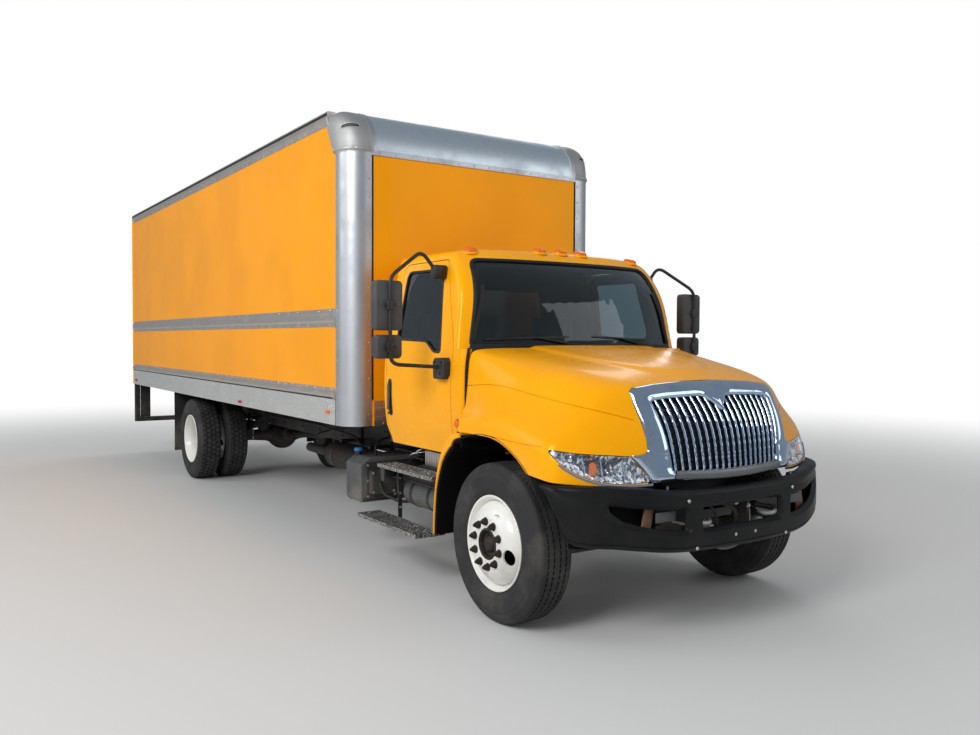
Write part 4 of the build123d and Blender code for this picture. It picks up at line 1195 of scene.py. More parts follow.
def noseSection(grow, back=0.07, drop=0.03):
    radius = van["noseRadius"]
    centre = (van["front"] + radius, van["top"] - radius)
    outer = arc(centre, radius + grow, 180, 90, 26)
    inner = arc(centre, radius - 0.001, 90, 180, 26)
    outline = [(van["front"] - grow, van["noseLine"] - drop)] + outer + [(centre[0] + back, van["top"] + grow)]
    outline.append((centre[0] + back, van["top"] - 0.001))
    return outline + inner + [(van["front"] + 0.001, van["noseLine"] - drop)]


inner = van["capInner"]
piece("nose", prism(noseSection(0.003), "x", -inner, inner), noseAluminium, nodes=["nose_cap"])
band = prism(noseSection(0.009, 0.06, 0.012), "x", inner - 0.052, inner - 0.004)
flangeOutline = rounded([(van["front"] - 0.008, van["noseLine"] - 0.030),
                         (van["front"] - 0.008, van["noseLine"] + 0.012),
                         (van["front"] + 0.004, van["noseLine"] + 0.014),
                         (van["front"] + 0.004, van["noseLine"] - 0.034)],
                        0.003, 3)
noseFlange = prism(flangeOutline, "x", 0.012 - inner, inner - 0.012)
piece("noseBands", joined([bothSides(bevelled(band, 0.003, 2)), noseFlange]), postAluminium)
noseRivets = rivetRow((-inner, van["front"] - 0.008, van["noseLine"] - 0.010), (inner, van["front"] - 0.008,
                      van["noseLine"] - 0.010), (0, -1, 0))
bandSpots = []
for x in (inner - 0.042, inner - 0.014):
    centre = (van["front"] + van["noseRadius"], van["top"] - van["noseRadius"])
    for (s, z), (cs, cz) in zip(arc(centre, van["noseRadius"] + 0.006, 172, 95, 7), arc((0, 0), 1, 172, 95, 7)):
        bandSpots += [(at(x, s, z), (0, cs, cz)), (at(-x, s, z), (0, cs, cz))]
piece("noseRivets", domes(noseRivets + bandSpots, van["rivet"], van["rivetRise"]), boltSteel)
frontRivets = rivetRow((-1.0, van["front"], van["noseLine"] - 0.075), (1.0, van["front"], van["noseLine"] - 0.075),
                       (0, -1, 0), 2 * van["pitch"])
for x in (-1.005, 1.005):
    frontRivets += rivetRow((x, van["front"], 1.40), (x, van["front"], 3.2), (0, -1, 0), 0.60)
piece("frontRivets", domes(frontRivets, van["rivet"], van["rivetRise"]), panelYellow)
piece("cornerPosts", bothSides(vanPosts()), postAluminium, nodes=["corner_posts"])
piece("postRivets", bothSides(postRivets()), boltSteel)

# Cast corner caps: the same form, a little proud, each with a hand slot whose black inside is painted shade
cap = {"rise": 0.007, "centre": (1.070, 2.330, 3.318), "slotHeight": 3.537, "slotReach": 0.347, "slotHalf": 0.060,
       "slotTall": 0.018, "slotTurn": 64, "rim": 0.030, "rounds": 60}


# Directions from the cap's centre and the distance of its skin along each, evened out away from its rims
def capReach():
    up, round_ = np.linspace(0, math.pi / 2, 46)[:, None], np.linspace(0, math.pi / 2, 46)[None, :]
    directions = np.stack([np.cos(up) * np.cos(round_), -np.cos(up) * np.sin(round_), np.sin(up) + 0 * round_], -1)
    reach = np.linalg.norm(vanForm.hit(cap["centre"], directions, 1.0, -cap["rise"]) - np.array(cap["centre"]),
                           axis=-1)
    for _ in range(cap["rounds"]):
        reach[1:-1, 1:-1] = (reach[:-2, 1:-1] + reach[2:, 1:-1] + reach[1:-1, :-2] + reach[1:-1, 2:]) / 4
    return directions, reach


capDirections, capDistances = capReach()


def capPatch(up, round_, inward):
    points = np.array(cap["centre"]) + capDirections[up, round_] * (capDistances[up, round_] - inward)[..., None]
    points[..., 2] = np.minimum(points[..., 2], van["top"])
    mesh = rowsMesh([placed(row) for row in points])
    if mesh.polygons[0].normal.dot(mesh.polygons[0].center - at(*cap["centre"])) < 0:
        mesh.flip_normals()
    return mesh


# The rear edge leans: its foot is nearer the post than its top
capRear = ((0, 2.165, cap["centre"][2]), (0, 1, -0.56))
piece("cornerCaps", bothSides(trimmed(thickened(capPatch(slice(None), slice(None), 0), 0.02), [capRear])),
      castAluminium)


def capSlot():
    half, tall = cap["slotHalf"], cap["slotTall"]
    turn = math.radians(cap["slotTurn"])
    out = Vector((math.cos(turn), -math.sin(turn), 0))
    along = Vector((0, 0, 1)).cross(out)
    between = [half - 2 * half * k / 16 for k in range(1, 16)]
    outline = (arc((half, 0), 1, -90, 90, 10) + [(u, 1) for u in between]
               + arc((-half, 0), 1, 90, 270, 10) + [(-u, -1) for u in between])
    centre = Vector(cap["centre"])
    middle = centre + out * cap["slotReach"] + Vector((0, 0, cap["slotHeight"] - cap["centre"][2]))
    rows = []
    for wide, push in ((tall + 0.009, -0.004), (tall + 0.008, 0.001), (tall + 0.005, 0.0035), (tall + 0.001, 0.003),
                       (tall - 0.003, 0.0008), (0.002, 0.0008)):
        row = []
        for u, v in outline:
            end = max(-half, min(half, u))
            target = middle + along * (end + (u - end) * wide) + Vector((0, 0, v * wide))
            way = (target - centre).normalized()
            up = math.degrees(math.asin(way.z)) / 2
            side = math.degrees(math.atan2(-way.y, way.x)) / 2
            i, j = int(up), int(side)
            fi, fj = up - i, side - j
            reach = ((capDistances[i, j] * (1 - fj) + capDistances[i, j + 1] * fj) * (1 - fi)
                     + (capDistances[i + 1, j] * (1 - fj) + capDistances[i + 1, j + 1] * fj) * fi)
            row.append(at(*(centre + way * (reach + push))))
        rows.append(row)
    return rowsMesh(rows[:5], True), rowsMesh(rows[4:], True, False)


slotRim, slotShade = capSlot()
piece("slotRims", bothSides(slotRim), castAluminium)
# The black inside each slot is painted shade, a patch on the cap rather than a cut recess
piece("capSlots", bothSides(slotShade), sealBlack)


def capRims():
    rim = cap["rim"]
    section = [(-rim / 2, -0.004), (rim / 2, -0.004), (rim / 2, 0.004), (rim / 2 - 0.004, 0.007),
               (-rim / 2 + 0.004, 0.007), (-rim / 2, 0.004)]
    low = [(cap["centre"][0] + 0.4 * math.cos(t), cap["centre"][1] - 0.5 * math.sin(t))
           for t in np.linspace(0.47, 1.57, 36)]
    line = np.array([(x, s, cap["centre"][2] + 0.028) for x, s in low])
    start = np.array([(cap["centre"][0], cap["centre"][1], cap["centre"][2] + 0.028)])
    ring = vanForm.hit(start, (line - start) / np.linalg.norm(line - start, axis=-1, keepdims=True), 1.0,
                       -cap["rise"])
    heights = np.linspace(cap["centre"][2] + 0.01, 3.66, 30)
    edge = vanForm.aside([(capRear[0][1] + 0.56 * (z - cap["centre"][2]) - 0.016, z) for z in heights], 1,
                         -cap["rise"])
    return joined([stripOn(vanForm, ring, section), stripOn(vanForm, edge, section)]), ring, edge


rims, rimRing, rimEdge = capRims()
piece("capRims", bothSides(rims), castAluminium)
spots = []
for line in (rimRing[3::4], rimEdge[2:-4:3]):
    spots += [(at(*(p + n * 0.006)), tuple(n)) for p, n in zip(line, vanForm.normal(line))]
piece("capRivets", bothSides(domes(spots, van["rivet"], van["rivetRise"])), boltSteel)
print("nose, posts and caps done")

# Side panels, with the corner above the nose line filled in up to the caps
panelOutline = [(van["front"] + 0.17, 1.297), (van["panelRear"], 1.297), (van["panelRear"], 3.61),
                (van["front"] + 0.33, 3.61), (van["front"] + 0.17, 3.42)]
piece("sidePanels", bothSides(prism(panelOutline, "x", van["half"] - 0.03, van["half"])), panelYellow,
      nodes=["box_sides"])

railStart, railEnd = van["front"] + van["postRadius"] + van["flange"] + 0.006, van["panelRear"] + 0.004
rails = {
    # (distance out from the panel, height) from low to high
    "mid": [(0, 1.900), (0.003, 1.900), (0.003, 1.930), (0.014, 1.934), (0.020, 1.944), (0.0225, 1.958),
            (0.0225, 1.992), (0.020, 2.006), (0.014, 2.016), (0.003, 2.020), (0.003, 2.050), (0, 2.050)],
    "rub": [(0, 1.306), (0.004, 1.306), (0.010, 1.308), (0.020, 1.314), (0.0255, 1.326), (0.0255, 1.344),
            (0.020, 1.356), (0.010, 1.362), (0.004, 1.364), (0.004, 1.392), (0, 1.392)],
    "low": [(-0.02, 1.083), (0.009, 1.083), (0.012, 1.087), (0.012, 1.098), (0.008, 1.102), (0.008, 1.286),
            (0.012, 1.290), (0.012, 1.300), (0, 1.306), (-0.02, 1.306)],
    "top": [(-0.03, 3.578), (0.003, 3.578), (0.003, 3.622), (0.010, 3.626), (0.010, 3.640), (0.016, 3.648),
            (0.016, 3.684), (0.010, 3.698), (-0.06, 3.698), (-0.06, 3.66)],
}


def railMesh(name, start, end):
    return bothSides(prism([(van["half"] + out, z) for out, z in rails[name]], "y", start, end))


piece("midRails", railMesh("mid", railStart, railEnd), railAluminium)
piece("rubRails", railMesh("rub", railStart, railEnd), railAluminium)
piece("lowRails", railMesh("low", railStart, railEnd), knurledAluminium, nodes=["box_rails"])
piece("topRails", railMesh("top", 2.30, railEnd), railAluminium)
# Thin black strips that paint shadow: under the rub rail, on the top rail's upper edge, and in the joint beside each
# corner post (a sealant strip, painted dark as the joint's shadow)
shadowLine = prism([(van["half"] + 0.001, 1.2995), (van["half"] + 0.0165, 1.2995), (van["half"] + 0.0165, 1.311),
                    (van["half"] + 0.001, 1.311)], "y", railStart, railEnd)
topRailShadow = prism([(van["half"] + 0.0165, 3.660), (van["half"] + 0.0180, 3.662), (van["half"] + 0.0180, 3.680),
                 (van["half"] + 0.0165, 3.684)], "y", 2.30, railEnd)
postJointShadow = bar((van["half"] - 0.232, van["half"] - 0.214), (van["front"] - 0.0035, van["front"] + 0.01),
                (1.30, 3.30))
piece("vanJoints", bothSides(joined([shadowLine, topRailShadow, postJointShadow])), sealBlack)
ends = [softBox((van["half"], van["half"] + 0.028), (railStart - 0.012, railStart + 0.004), (1.302, 1.395), 0.003, 2),
        softBox((van["half"], van["half"] + 0.024), (railStart - 0.012, railStart + 0.004), (1.895, 2.055), 0.003, 2)]
piece("railEnds", bothSides(joined(ends)), railAluminium)
railRivets = []
for out, z, pitch in ((0.003, 1.915, 0.24), (0.003, 2.035, 0.24), (0.004, 1.379, 0.18), (0.003, 3.600, 0.16),
                      (0.008, 1.268, 0.36), (0.008, 1.120, 0.36)):
    start = railStart if z < 3 else 2.40
    railRivets += rivetRow((van["half"] + out, start, z), (van["half"] + out, railEnd, z), (1, 0, 0), pitch)
for index in range(7):
    s = railStart + 0.02 + index * 0.022
    railRivets.append((at(van["half"] + 0.008, s, 1.235 - 0.018 * (index % 3)), (1, 0, 0)))
piece("railRivets", bothSides(domes(railRivets, van["rivet"], van["rivetRise"])), boltSteel)

# Aluminium rail across the front, below the yellow panel
frontRail = [(van["front"] + 0.01, 1.083), (van["front"] - 0.010, 1.083), (van["front"] - 0.010, 1.130),
             (van["front"] - 0.018, 1.136), (van["front"] - 0.018, 1.156), (van["front"] - 0.010, 1.162),
             (van["front"] - 0.010, 1.206), (van["front"] - 0.018, 1.212), (van["front"] - 0.018, 1.232),
             (van["front"] - 0.010, 1.238), (van["front"] - 0.010, 1.290), (van["front"] + 0.01, 1.296)]
piece("frontRail", prism(frontRail, "x", -1.045, 1.045), railAluminium)
spots = [spot for z in (1.105, 1.265)
         for spot in rivetRow((-1.03, van["front"] - 0.010, z), (1.03, van["front"] - 0.010, z), (0, -1, 0))]
piece("frontRailRivets", domes(spots, van["rivet"], van["rivetRise"]), boltSteel)


def markerLamp(place, facing, length=0.10, tall=0.032, rise=0.018):
    facing = Vector(facing)
    along = Vector((0, 0, 1)).cross(facing) if abs(facing.z) < 0.9 else Vector((1, 0, 0))
    up = facing.cross(along)
    outline = rounded([(-length / 2, -tall / 2), (length / 2, -tall / 2), (length / 2, tall / 2),
                       (-length / 2, tall / 2)],
                      tall * 0.45, 5)
    rows = []
    for share, height in ((1.0, -0.002), (1.0, rise * 0.5), (0.92, rise * 0.85), (0.7, rise)):
        rows.append([at(*place) + along * u * share + up * v * share + facing * height for u, v in outline])
    return rowsMesh(rows, True, True)


piece("sideMarkers", bothSides(joined([markerLamp((van["half"] + 0.009, 4.64, 1.127), (1, 0, 0), 0.075, 0.028),
                                       markerLamp((van["half"] + 0.009, 9.70, 1.150), (1, 0, 0), 0.11, 0.034)])),
      lensRed)
piece("sideAmbers", bothSides(markerLamp((van["half"] + 0.009, 2.30, 1.185), (1, 0, 0), 0.075, 0.028)), lensAmber)
print("van sides done")

# Rear frame, roll-up door and rear lamps
doorLow, doorHigh = boxOf("roll_up_door")
rear = {"slats": 8, "slatGap": 0.006, "face": doorHigh.y, "latch": 1.42,
        "hingeColumns": (-1.05, -0.52, 0, 0.52, 1.05)}


def rollDoor():
    tall = (doorHigh.z - doorLow.z) / rear["slats"]
    slats = []
    for index in range(rear["slats"]):
        low = doorLow.z + index * tall
        slats.append(softBox((doorLow.x + 0.002, doorHigh.x - 0.002), (doorLow.y, doorHigh.y),
                             (low + rear["slatGap"] / 2, low + tall - rear["slatGap"] / 2), 0.004, 2))
    return joined(slats)


piece("rollDoor", rollDoor(), doorWhite, nodes=["roll_up_door"])
# A black sheet behind the slats, so that the gaps between them show dark: painted shade
piece("rollDoorBack", bar((doorLow.x, doorHigh.x), (doorLow.y - 0.004, doorLow.y + 0.010), (doorLow.z, doorHigh.z)),
      sealBlack)


def rearFrameMesh():
    frameHalf, low, high = frameHigh.x, frameLow.z, frameHigh.z
    doorHalf = doorHigh.x
    outer = [(-frameHalf, low), (frameHalf, low), (frameHalf, high), (-frameHalf, high)]
    block = bevelled(prism(outer, "y", frameLow.y, frameHigh.y), 0.010, 3)
    hole = bar((-doorHalf, doorHalf), (frameLow.y - 0.1, frameHigh.y + 0.1), (doorLow.z, doorHigh.z))
    return bevelled(cut(block, [hole]), 0.003, 2, 60)


piece("rearFrame", rearFrameMesh(), panelYellow, nodes=["rear_frame"])
hardware = []
tall = (doorHigh.z - doorLow.z) / rear["slats"]
for index in range(1, rear["slats"]):
    z = doorLow.z + index * tall
    for x in rear["hingeColumns"]:
        hardware.append(softBox((x - 0.032, x + 0.032), (rear["face"] - 0.001, rear["face"] + 0.004),
                                (z - 0.046, z + 0.046), 0.0015, 1))
        hardware.append(pipe([(x - 0.026, rear["face"] + 0.006, z), (x + 0.026, rear["face"] + 0.006, z)], 0.0055,
                             sides=8))
latchZ = rear["latch"]
hardware += [softBox((-0.11, 0.11), (rear["face"] - 0.001, rear["face"] + 0.006), (latchZ - 0.055, latchZ + 0.055),
                     0.002, 2),
             softBox((-0.045, 0.045), (rear["face"], rear["face"] + 0.018), (1.252, latchZ - 0.05), 0.003, 2),
             pipe([(-0.16, rear["face"] + 0.0095, latchZ), (0.03, rear["face"] + 0.0095, latchZ)], 0.010),
             softBox((-0.19, -0.13), (rear["face"] + 0.004, rear["face"] + 0.0195), (latchZ - 0.02, latchZ + 0.02),
                     0.004, 2)]
for x in (-0.62, 0.62):
    hardware.append(softBox((x - 0.06, x + 0.06), (rear["face"], rear["face"] + 0.005), (1.30, 1.42), 0.002, 1))
    hardware.append(pipe([(x - 0.045, rear["face"] + 0.002, 1.33), (x - 0.045, rear["face"] + 0.013, 1.37),
                          (x + 0.045, rear["face"] + 0.013, 1.37), (x + 0.045, rear["face"] + 0.002, 1.33)],
                         0.006, 0.02))
piece("doorHardware", joined(hardware), boltSteel, angle=40)
strap = softBox((0.28, 0.31), (rear["face"] + 0.001, rear["face"] + 0.005), (1.26, 1.62), 0.001, 1)
bumperBlocks = [softBox((x - 0.05, x + 0.05), (frameHigh.y - 0.004, frameHigh.y + 0.0), (1.11, 1.22), 0.004, 2)
                for x in (-0.55, 0.55)]
seal = [bar((doorLow.x - 0.004, doorLow.x + 0.022), (rear["face"] - 0.001, rear["face"] + 0.004),
            (doorLow.z, doorHigh.z)),
        bar((doorHigh.x - 0.022, doorHigh.x + 0.004), (rear["face"] - 0.001, rear["face"] + 0.004),
            (doorLow.z, doorHigh.z)),
        bar((doorLow.x, doorHigh.x), (rear["face"] - 0.001, rear["face"] + 0.004),
            (doorHigh.z - 0.022, doorHigh.z + 0.003))]
piece("doorSeals", joined([strap] + bumperBlocks + seal), flapBlack)
sill = softBox((-1.14, 1.14), (frameHigh.y - 0.045, frameHigh.y - 0.0005),
               (doorLow.z - 0.001, doorLow.z + 0.006), 0.002, 1)
piece("rearSill", sill, treadAluminium)
rearLamps = {
    # finish, places across, inset from the rear, height, and the lamp's length, tallness and rise
    "rearMarkers": (lensRed, (-0.22, 0, 0.22, -1.2, 1.2), 0.016, 3.625, 0.10, 0.034, 0.0155),
    "tailLamps": (lensRed, (-1.16, 1.16, -0.97, 0.97), 0.0155, 1.165, 0.15, 0.060, 0.015),
    "backupLamps": (lensClear, (-0.78, 0.78), 0.0155, 1.165, 0.13, 0.060, 0.015),
}
for name, (finish, xs, inset, z, *size) in rearLamps.items():
    piece(name, joined([markerLamp((x, frameHigh.y - inset, z), (0, 1, 0), *size) for x in xs]), finish)
piece("plateBracket", softBox((-0.165, 0.165), (frameHigh.y - 0.008, frameHigh.y - 0.0005), (1.10, 1.225), 0.004, 2),
      chassisShadeBlack)
piece("ratedSill", joined([softBox((x - 0.012, x + 0.012), (frameHigh.y - 0.006, frameHigh.y - 0.0002),
                                   (1.50, 3.40), 0.003, 1)
                           for x in (-1.175, 1.175)]), railAluminium)
print("van rear done")


# Cab: one rounded skin, split into the cab and its doors, with seals, glass and trim
cab = {"wall": 0.028, "bottom": 0.985, "rear": 1.70, "rearRadius": 0.035, "turn": 1.0, "doorGap": 0.006,
       "glassIn": 0.010, "glassWall": 0.005, "linerWall": 0.004, "linerCentre": (0, 1.15, 1.70),
       "linerScale": (0.970, 0.945, 0.958)}
# The floor line, and the chamfer of the lower rear corner
cabPlanes = [((0, 0, cab["bottom"]), (0, 0, -1)), ((0, 1.605, cab["bottom"]), (0, 2, -1))]
windshieldOutline = rounded([(-0.962, 1.755), (0.962, 1.755), (0.846, 2.385), (-0.846, 2.385)],
                            (0.03, 0.03, 0.09, 0.09), 8)
rearWindowOutline = rounded([(-0.48, 1.78), (0.48, 1.78), (0.48, 2.23), (-0.48, 2.23)], 0.06, 6)
doorOutline = rounded([(0.664, 0.965), (0.664, 1.74), (0.905, 2.379), (1.560, 2.379), (1.640, 1.800), (1.640, 1.150),
                       (1.610, 0.965)], (0.03, 0.25, 0.06, 0.10, 0.35, 0.15, 0.04), 8)
windowOutline = rounded([(0.835, 1.706), (0.930, 1.712), (1.060, 1.788), (1.520, 1.800), (1.492, 2.320),
                         (0.950, 2.312)],
                        (0.02, 0.10, 0.12, 0.05, 0.06, 0.05), 8)


# An outline moved outward by a distance, whichever way it runs
def grown(outline, distance):
    points = [Vector(p) for p in outline]
    area = sum(a.x * b.y - a.y * b.x for a, b in zip(points, points[1:] + points[:1]))
    turn = 1 if area > 0 else -1
    result = []
    for before, here, after in zip(points[-1:] + points[:-1], points, points[1:] + points[:1]):
        first, second = here - before, after - here
        if first.length < 1e-6 or second.length < 1e-6:
            continue
        first.normalize()
        second.normalize()
        out = Vector((first.y + second.y, -first.x - second.x)) * turn
        result.append(tuple(here + out * (distance / (1 + first.dot(second)))))
    return result


cabTilts = np.concatenate([np.linspace(0.7, 26, 40), np.linspace(28, 90, 26)])


def cabShell(thickness, inward=0.0, shape=None):
    if inward:
        shape = lambda row: row - cabForm.normal(row) * inward
    rearRadius = cab["rearRadius"]
    return shellOf(cabForm, thickness, cab["rear"] - rearRadius, cab["turn"], (170, 22), cabTilts, rearRadius, shape,
                   cabPlanes)


def openings(grow=0.0):
    side = grown(doorOutline, cab["doorGap"] + grow)
    return [prism(side, "x", -1.4, -0.75), prism(side, "x", 0.75, 1.4),
            prism(grown(windshieldOutline, grow), "y", 0.1, 1.05),
            prism(grown(rearWindowOutline, grow), "y", 1.5, 1.9)]


cabWhole = cabShell(cab["wall"])
door = cut(cabWhole.copy(), [prism(doorOutline, "x", 0.75, 1.4)], "INTERSECT")
door = cut(door, [prism(windowOutline, "x", 0.6, 1.5)])
piece("cabSkin", cut(cabWhole, openings()), cabYellow, nodes=["cab_front", "cab_back", "cab_roof"], angle=30)
# The liner has the shape of the cab's skin, made smaller towards a point inside
linerCentre, linerScale = np.array(cab["linerCentre"]), np.array(cab["linerScale"])
liner = cabShell(cab["linerWall"], shape=lambda row: linerCentre + (row - linerCentre) * linerScale)
doorCard = cut(liner.copy(), [prism(grown(doorOutline, -0.02), "x", 0.75, 1.4)], "INTERSECT")
doorCard = cut(doorCard, [prism(grown(windowOutline, 0.002), "x", 0.6, 1.5)])
piece("cabLiner", cut(liner, openings(0.002)), dashGrey, angle=30)


# The same piece on the left and on the right door, with the start of the name of the node that it stands for
def onDoors(name, mesh, finish, node=None, angle=38):
    for side, made in (("left", mesh), ("right", flipped(mesh))):
        piece(name + "_" + side, made, finish, "door_" + side, [node + side] if node else (), angle=angle)


onDoors("doorSkin", door, cabYellow, "door_", 30)
onDoors("doorCard", doorCard, dashGrey, angle=30)
print("cab shell and doors cut")

# Glass, its dark border and the rubber round it
glass = cabShell(cab["glassWall"], cab["glassIn"])
border = cabShell(0.0015, cab["glassIn"] + 0.007)
front = cut(glass.copy(), [prism(grown(windshieldOutline, 0.003), "y", 0.1, 1.05)], "INTERSECT")
back = cut(glass.copy(), [prism(grown(rearWindowOutline, 0.003), "y", 1.5, 1.9)], "INTERSECT")
piece("cabGlass", joined([front, back]), windowGlass, nodes=["cab_glass"])
sideGlass = cut(glass, [prism(grown(windowOutline, 0.003), "x", 0.6, 1.5)], "INTERSECT")
onDoors("doorGlass", sideGlass, windowGlass, "door_glass_")
frit = cut(border.copy(), [prism(windshieldOutline, "y", 0.1, 1.05)], "INTERSECT")
clear = rounded([(-0.885, 1.815), (0.885, 1.815), (0.806, 2.320), (-0.806, 2.320)], 0.05, 6)
frit = cut(frit, [prism(clear, "y", 0.1, 1.05)])
sail = cut(border, [prism(windowOutline, "x", 0.6, 1.5)], "INTERSECT")
seen = rounded([(0.945, 1.795), (1.040, 1.800), (1.495, 1.818), (1.470, 2.290), (0.985, 2.285), (0.905, 1.86)],
               (0.03, 0.02, 0.04, 0.04, 0.03, 0.03), 5)
sail = cut(sail, [prism(seen, "x", 0.6, 1.5)])
piece("glassBorder", frit, sealBlack)
onDoors("windowBorder", sail, sealBlack)


def sealRound(points, half=0.011, rise=0.004):
    section = [(-half, -0.012), (half, -0.012), (half, 0.001), (half * 0.6, rise), (-half * 0.6, rise),
               (-half, 0.001)]
    return stripOn(cabForm, points, section, True)


piece("windshieldSeal", sealRound(cabForm.ahead(spaced(windshieldOutline, 0.03)), 0.013), sealBlack)
rearLoop = spaced(rearWindowOutline, 0.05)
rearSeal = [[at(x, cab["rear"] + 0.003, z) for x, z in grown(rearLoop, 0.014)],
            [at(x, cab["rear"] + 0.005, z) for x, z in grown(rearLoop, 0.004)],
            [at(x, cab["rear"] - 0.012, z) for x, z in grown(rearLoop, -0.010)]]
piece("rearWindowSeal", rowsMesh(rearSeal, True), sealBlack)
doorSeal = sealRound(cabForm.aside(spaced(windowOutline, 0.03)), 0.009, 0.003)
onDoors("windowSeal", doorSeal, sealBlack)
print("glass done")

# Cowl, ribbed corner trims, wipers and the dark gap behind the hood
cowl = cut(cabShell(0.020, -0.004), [bar((-0.97, 0.97), (0.2, 0.72), (1.60, 1.757))], "INTERSECT")


# Sides of the cowl between the hood and the doors, each with a seal along its front
def cowlSide(outline, low, high):
    rows = []
    for z in np.linspace(low, high, 24):
        side = float(cabForm.aside([(0.72, z)])[0][0])
        rows.append([at(side + u, s, z) for u, s in outline])
    return rowsMesh(rows, True, True)


cowlPost = [(-0.024, 0.512), (-0.012, 0.520), (-0.004, 0.540), (-0.0005, 0.570), (-0.0005, 0.648), (-0.06, 0.648),
            (-0.06, 0.512)]
piece("cowlSides", bothSides(cowlSide(cowlPost, 1.25, 1.735)), cabYellow)
piece("cowlSeals", bothSides(cowlSide([(-0.042, 0.504), (-0.024, 0.504), (-0.022, 0.516), (-0.042, 0.516)], 1.28,
                                      1.742)), sealBlack)
slots = [prism(rounded([(x - 0.024, 1.715), (x + 0.024, 1.715), (x + 0.024, 1.724), (x - 0.024, 1.724)], 0.004, 3),
               "y", 0.2, 0.6) for x in np.linspace(-0.72, 0.72, 19)]
piece("cowl", cut(cowl, slots), trimBlack)


def cornerTrim():
    line = [(0.947 - 0.12 * t, 1.785 + 0.40 * t) for t in np.linspace(0, 1, 16)]
    points = cabForm.ahead(line)
    normals = cabForm.normal(points)
    meshes = []
    for index in range(len(points) - 1):
        wide = 0.017 * (1 - 0.6 * index / len(points))
        a, b = points[index], points[index] * 0.25 + points[index + 1] * 0.75
        meshes.append(stripOn(cabForm, np.array([a, b]), [(-wide, -0.004), (wide, -0.004), (wide * 0.8, 0.009),
                                                            (-wide * 0.8, 0.009)]))
    meshes.append(stripOn(cabForm, points, [(-0.014, -0.006), (0.014, -0.006), (0.012, 0.004), (-0.012, 0.004)]))
    return joined(meshes)


piece("cornerTrims", bothSides(cornerTrim()), sealBlack)


def wiper(pivot, hinge, ends):
    blade = cabForm.ahead([tuple(Vector(ends[0]).lerp(Vector(ends[1]), t)) for t in np.linspace(0, 1, 12)])
    out = cabForm.normal(blade)
    rubber = stripOn(cabForm, blade + out * 0.006, [(-0.0025, -0.012), (0.0025, -0.012), (0.006, 0.006),
                                                    (-0.006, 0.006)])
    holder = stripOn(cabForm, (blade + out * 0.018)[2:10], [(-0.007, -0.005), (0.007, -0.005), (0.005, 0.006),
                                                            (-0.005, 0.006)])
    start = cabForm.ahead([pivot])[0]
    middle = cabForm.ahead([hinge])[0]
    startOut, middleOut = cabForm.normal(start[None])[0], cabForm.normal(middle[None])[0]
    path = [at(*(start + startOut * 0.010)), at(*(start + startOut * 0.034)), at(*(middle + middleOut * 0.030))]
    pivotCap = turned([(0, 0), (0, 0.019), (0.022, 0.016), (0.028, 0)], at(*(start + startOut * 0.006)), startOut, 20)
    return joined([rubber, holder, tube(path, 0.0065, 0.03, 8), pivotCap])


wipers = joined([wiper((-0.10, 1.752), (-0.50, 1.815), ((-0.86, 1.800), (-0.22, 1.822))),
                 wiper((0.66, 1.752), (0.28, 1.812), ((0.02, 1.826), (0.62, 1.800)))])
piece("wipers", wipers, trimBlack)


def blister(place, facing, along, halfLong, halfWide, rise, squeeze=0.0, sides=28):
    facing, along = Vector(facing).normalized(), Vector(along)
    along = (along - facing * along.dot(facing)).normalized()
    across = facing.cross(along)
    rows = []
    for share, height in ((1.0, -0.006), (1.0, 0.10), (0.97, 0.45), (0.86, 0.78), (0.66, 0.94), (0.36, 1.0),
                          (0.02, 1.01)):
        row = []
        for k in range(sides):
            angle = 2 * math.pi * k / sides
            u, v = math.cos(angle), math.sin(angle)
            wide = halfWide * (1 - squeeze * u)
            row.append(at(*place) + along * u * halfLong * share + across * v * wide * share
                       + facing * (height * rise if height > 0 else height))
        rows.append(row)
    return rowsMesh(rows, True, True)


roofSpots = [(-0.789, 2.437), (-0.20, 2.459), (0, 2.461), (0.20, 2.459), (0.789, 2.437)]
roofPoints = cabForm.ahead(roofSpots)
roofFacings = cabForm.normal(roofPoints)
lamps, bases = [], []
for point, facing in zip(roofPoints, roofFacings):
    place = tuple(point + np.array([0, 0.035, 0.008]))
    lean = (float(facing[0]) * 0.6, float(facing[1]) * 0.45, 1.0)
    lamps.append(blister(place, lean, (0, 1, 0), 0.062, 0.050, 0.034, 0.35))
    bases.append(blister(place, lean, (0, 1, 0), 0.072, 0.058, 0.012, 0.30))
piece("roofLamps", joined(lamps), lensAmber)
piece("roofLampBases", joined(bases), cabYellow)


# Doors: handle in a black recess, lower mirror bracket, mirrors on their tube
def capsule(s, low, high, half, steps=10):
    return arc((s, high - half), half, 0, 180, steps) + arc((s, low + half), half, 180, 360, steps)


handle = {"station": 1.576, "low": 1.207, "middle": 1.346, "high": 1.485, "half": 0.024}


def handlePlate(grow, out, inner):
    outline = capsule(handle["station"], handle["low"] - grow, handle["high"] + grow, handle["half"] + grow)
    rows = []
    for share, push in ((1.0, inner), (1.0, out - 0.002), (0.93, out)):
        flat = [(handle["station"] + (s - handle["station"]) * share,
                 handle["middle"] + (z - handle["middle"]) * (1 - (1 - share) * 0.3)) for s, z in outline]
        points = cabForm.aside(flat)
        rows.append(placed(points + np.array([push, 0, 0])))
    return rowsMesh(rows, True, True)


paddle = softBox((1.082, 1.104), (1.562, 1.590), (1.245, 1.455), 0.008, 3)
pad = [pipe([(1.078, 1.576, foot), (1.100, 1.576, end)], 0.012) for foot, end in ((1.250, 1.262), (1.450, 1.438))]
lock = turned([(0, 0), (0, 0.012), (0.010, 0.011), (0.012, 0)], at(1.087, 1.576, 1.222), (1, 0, 0), 20)

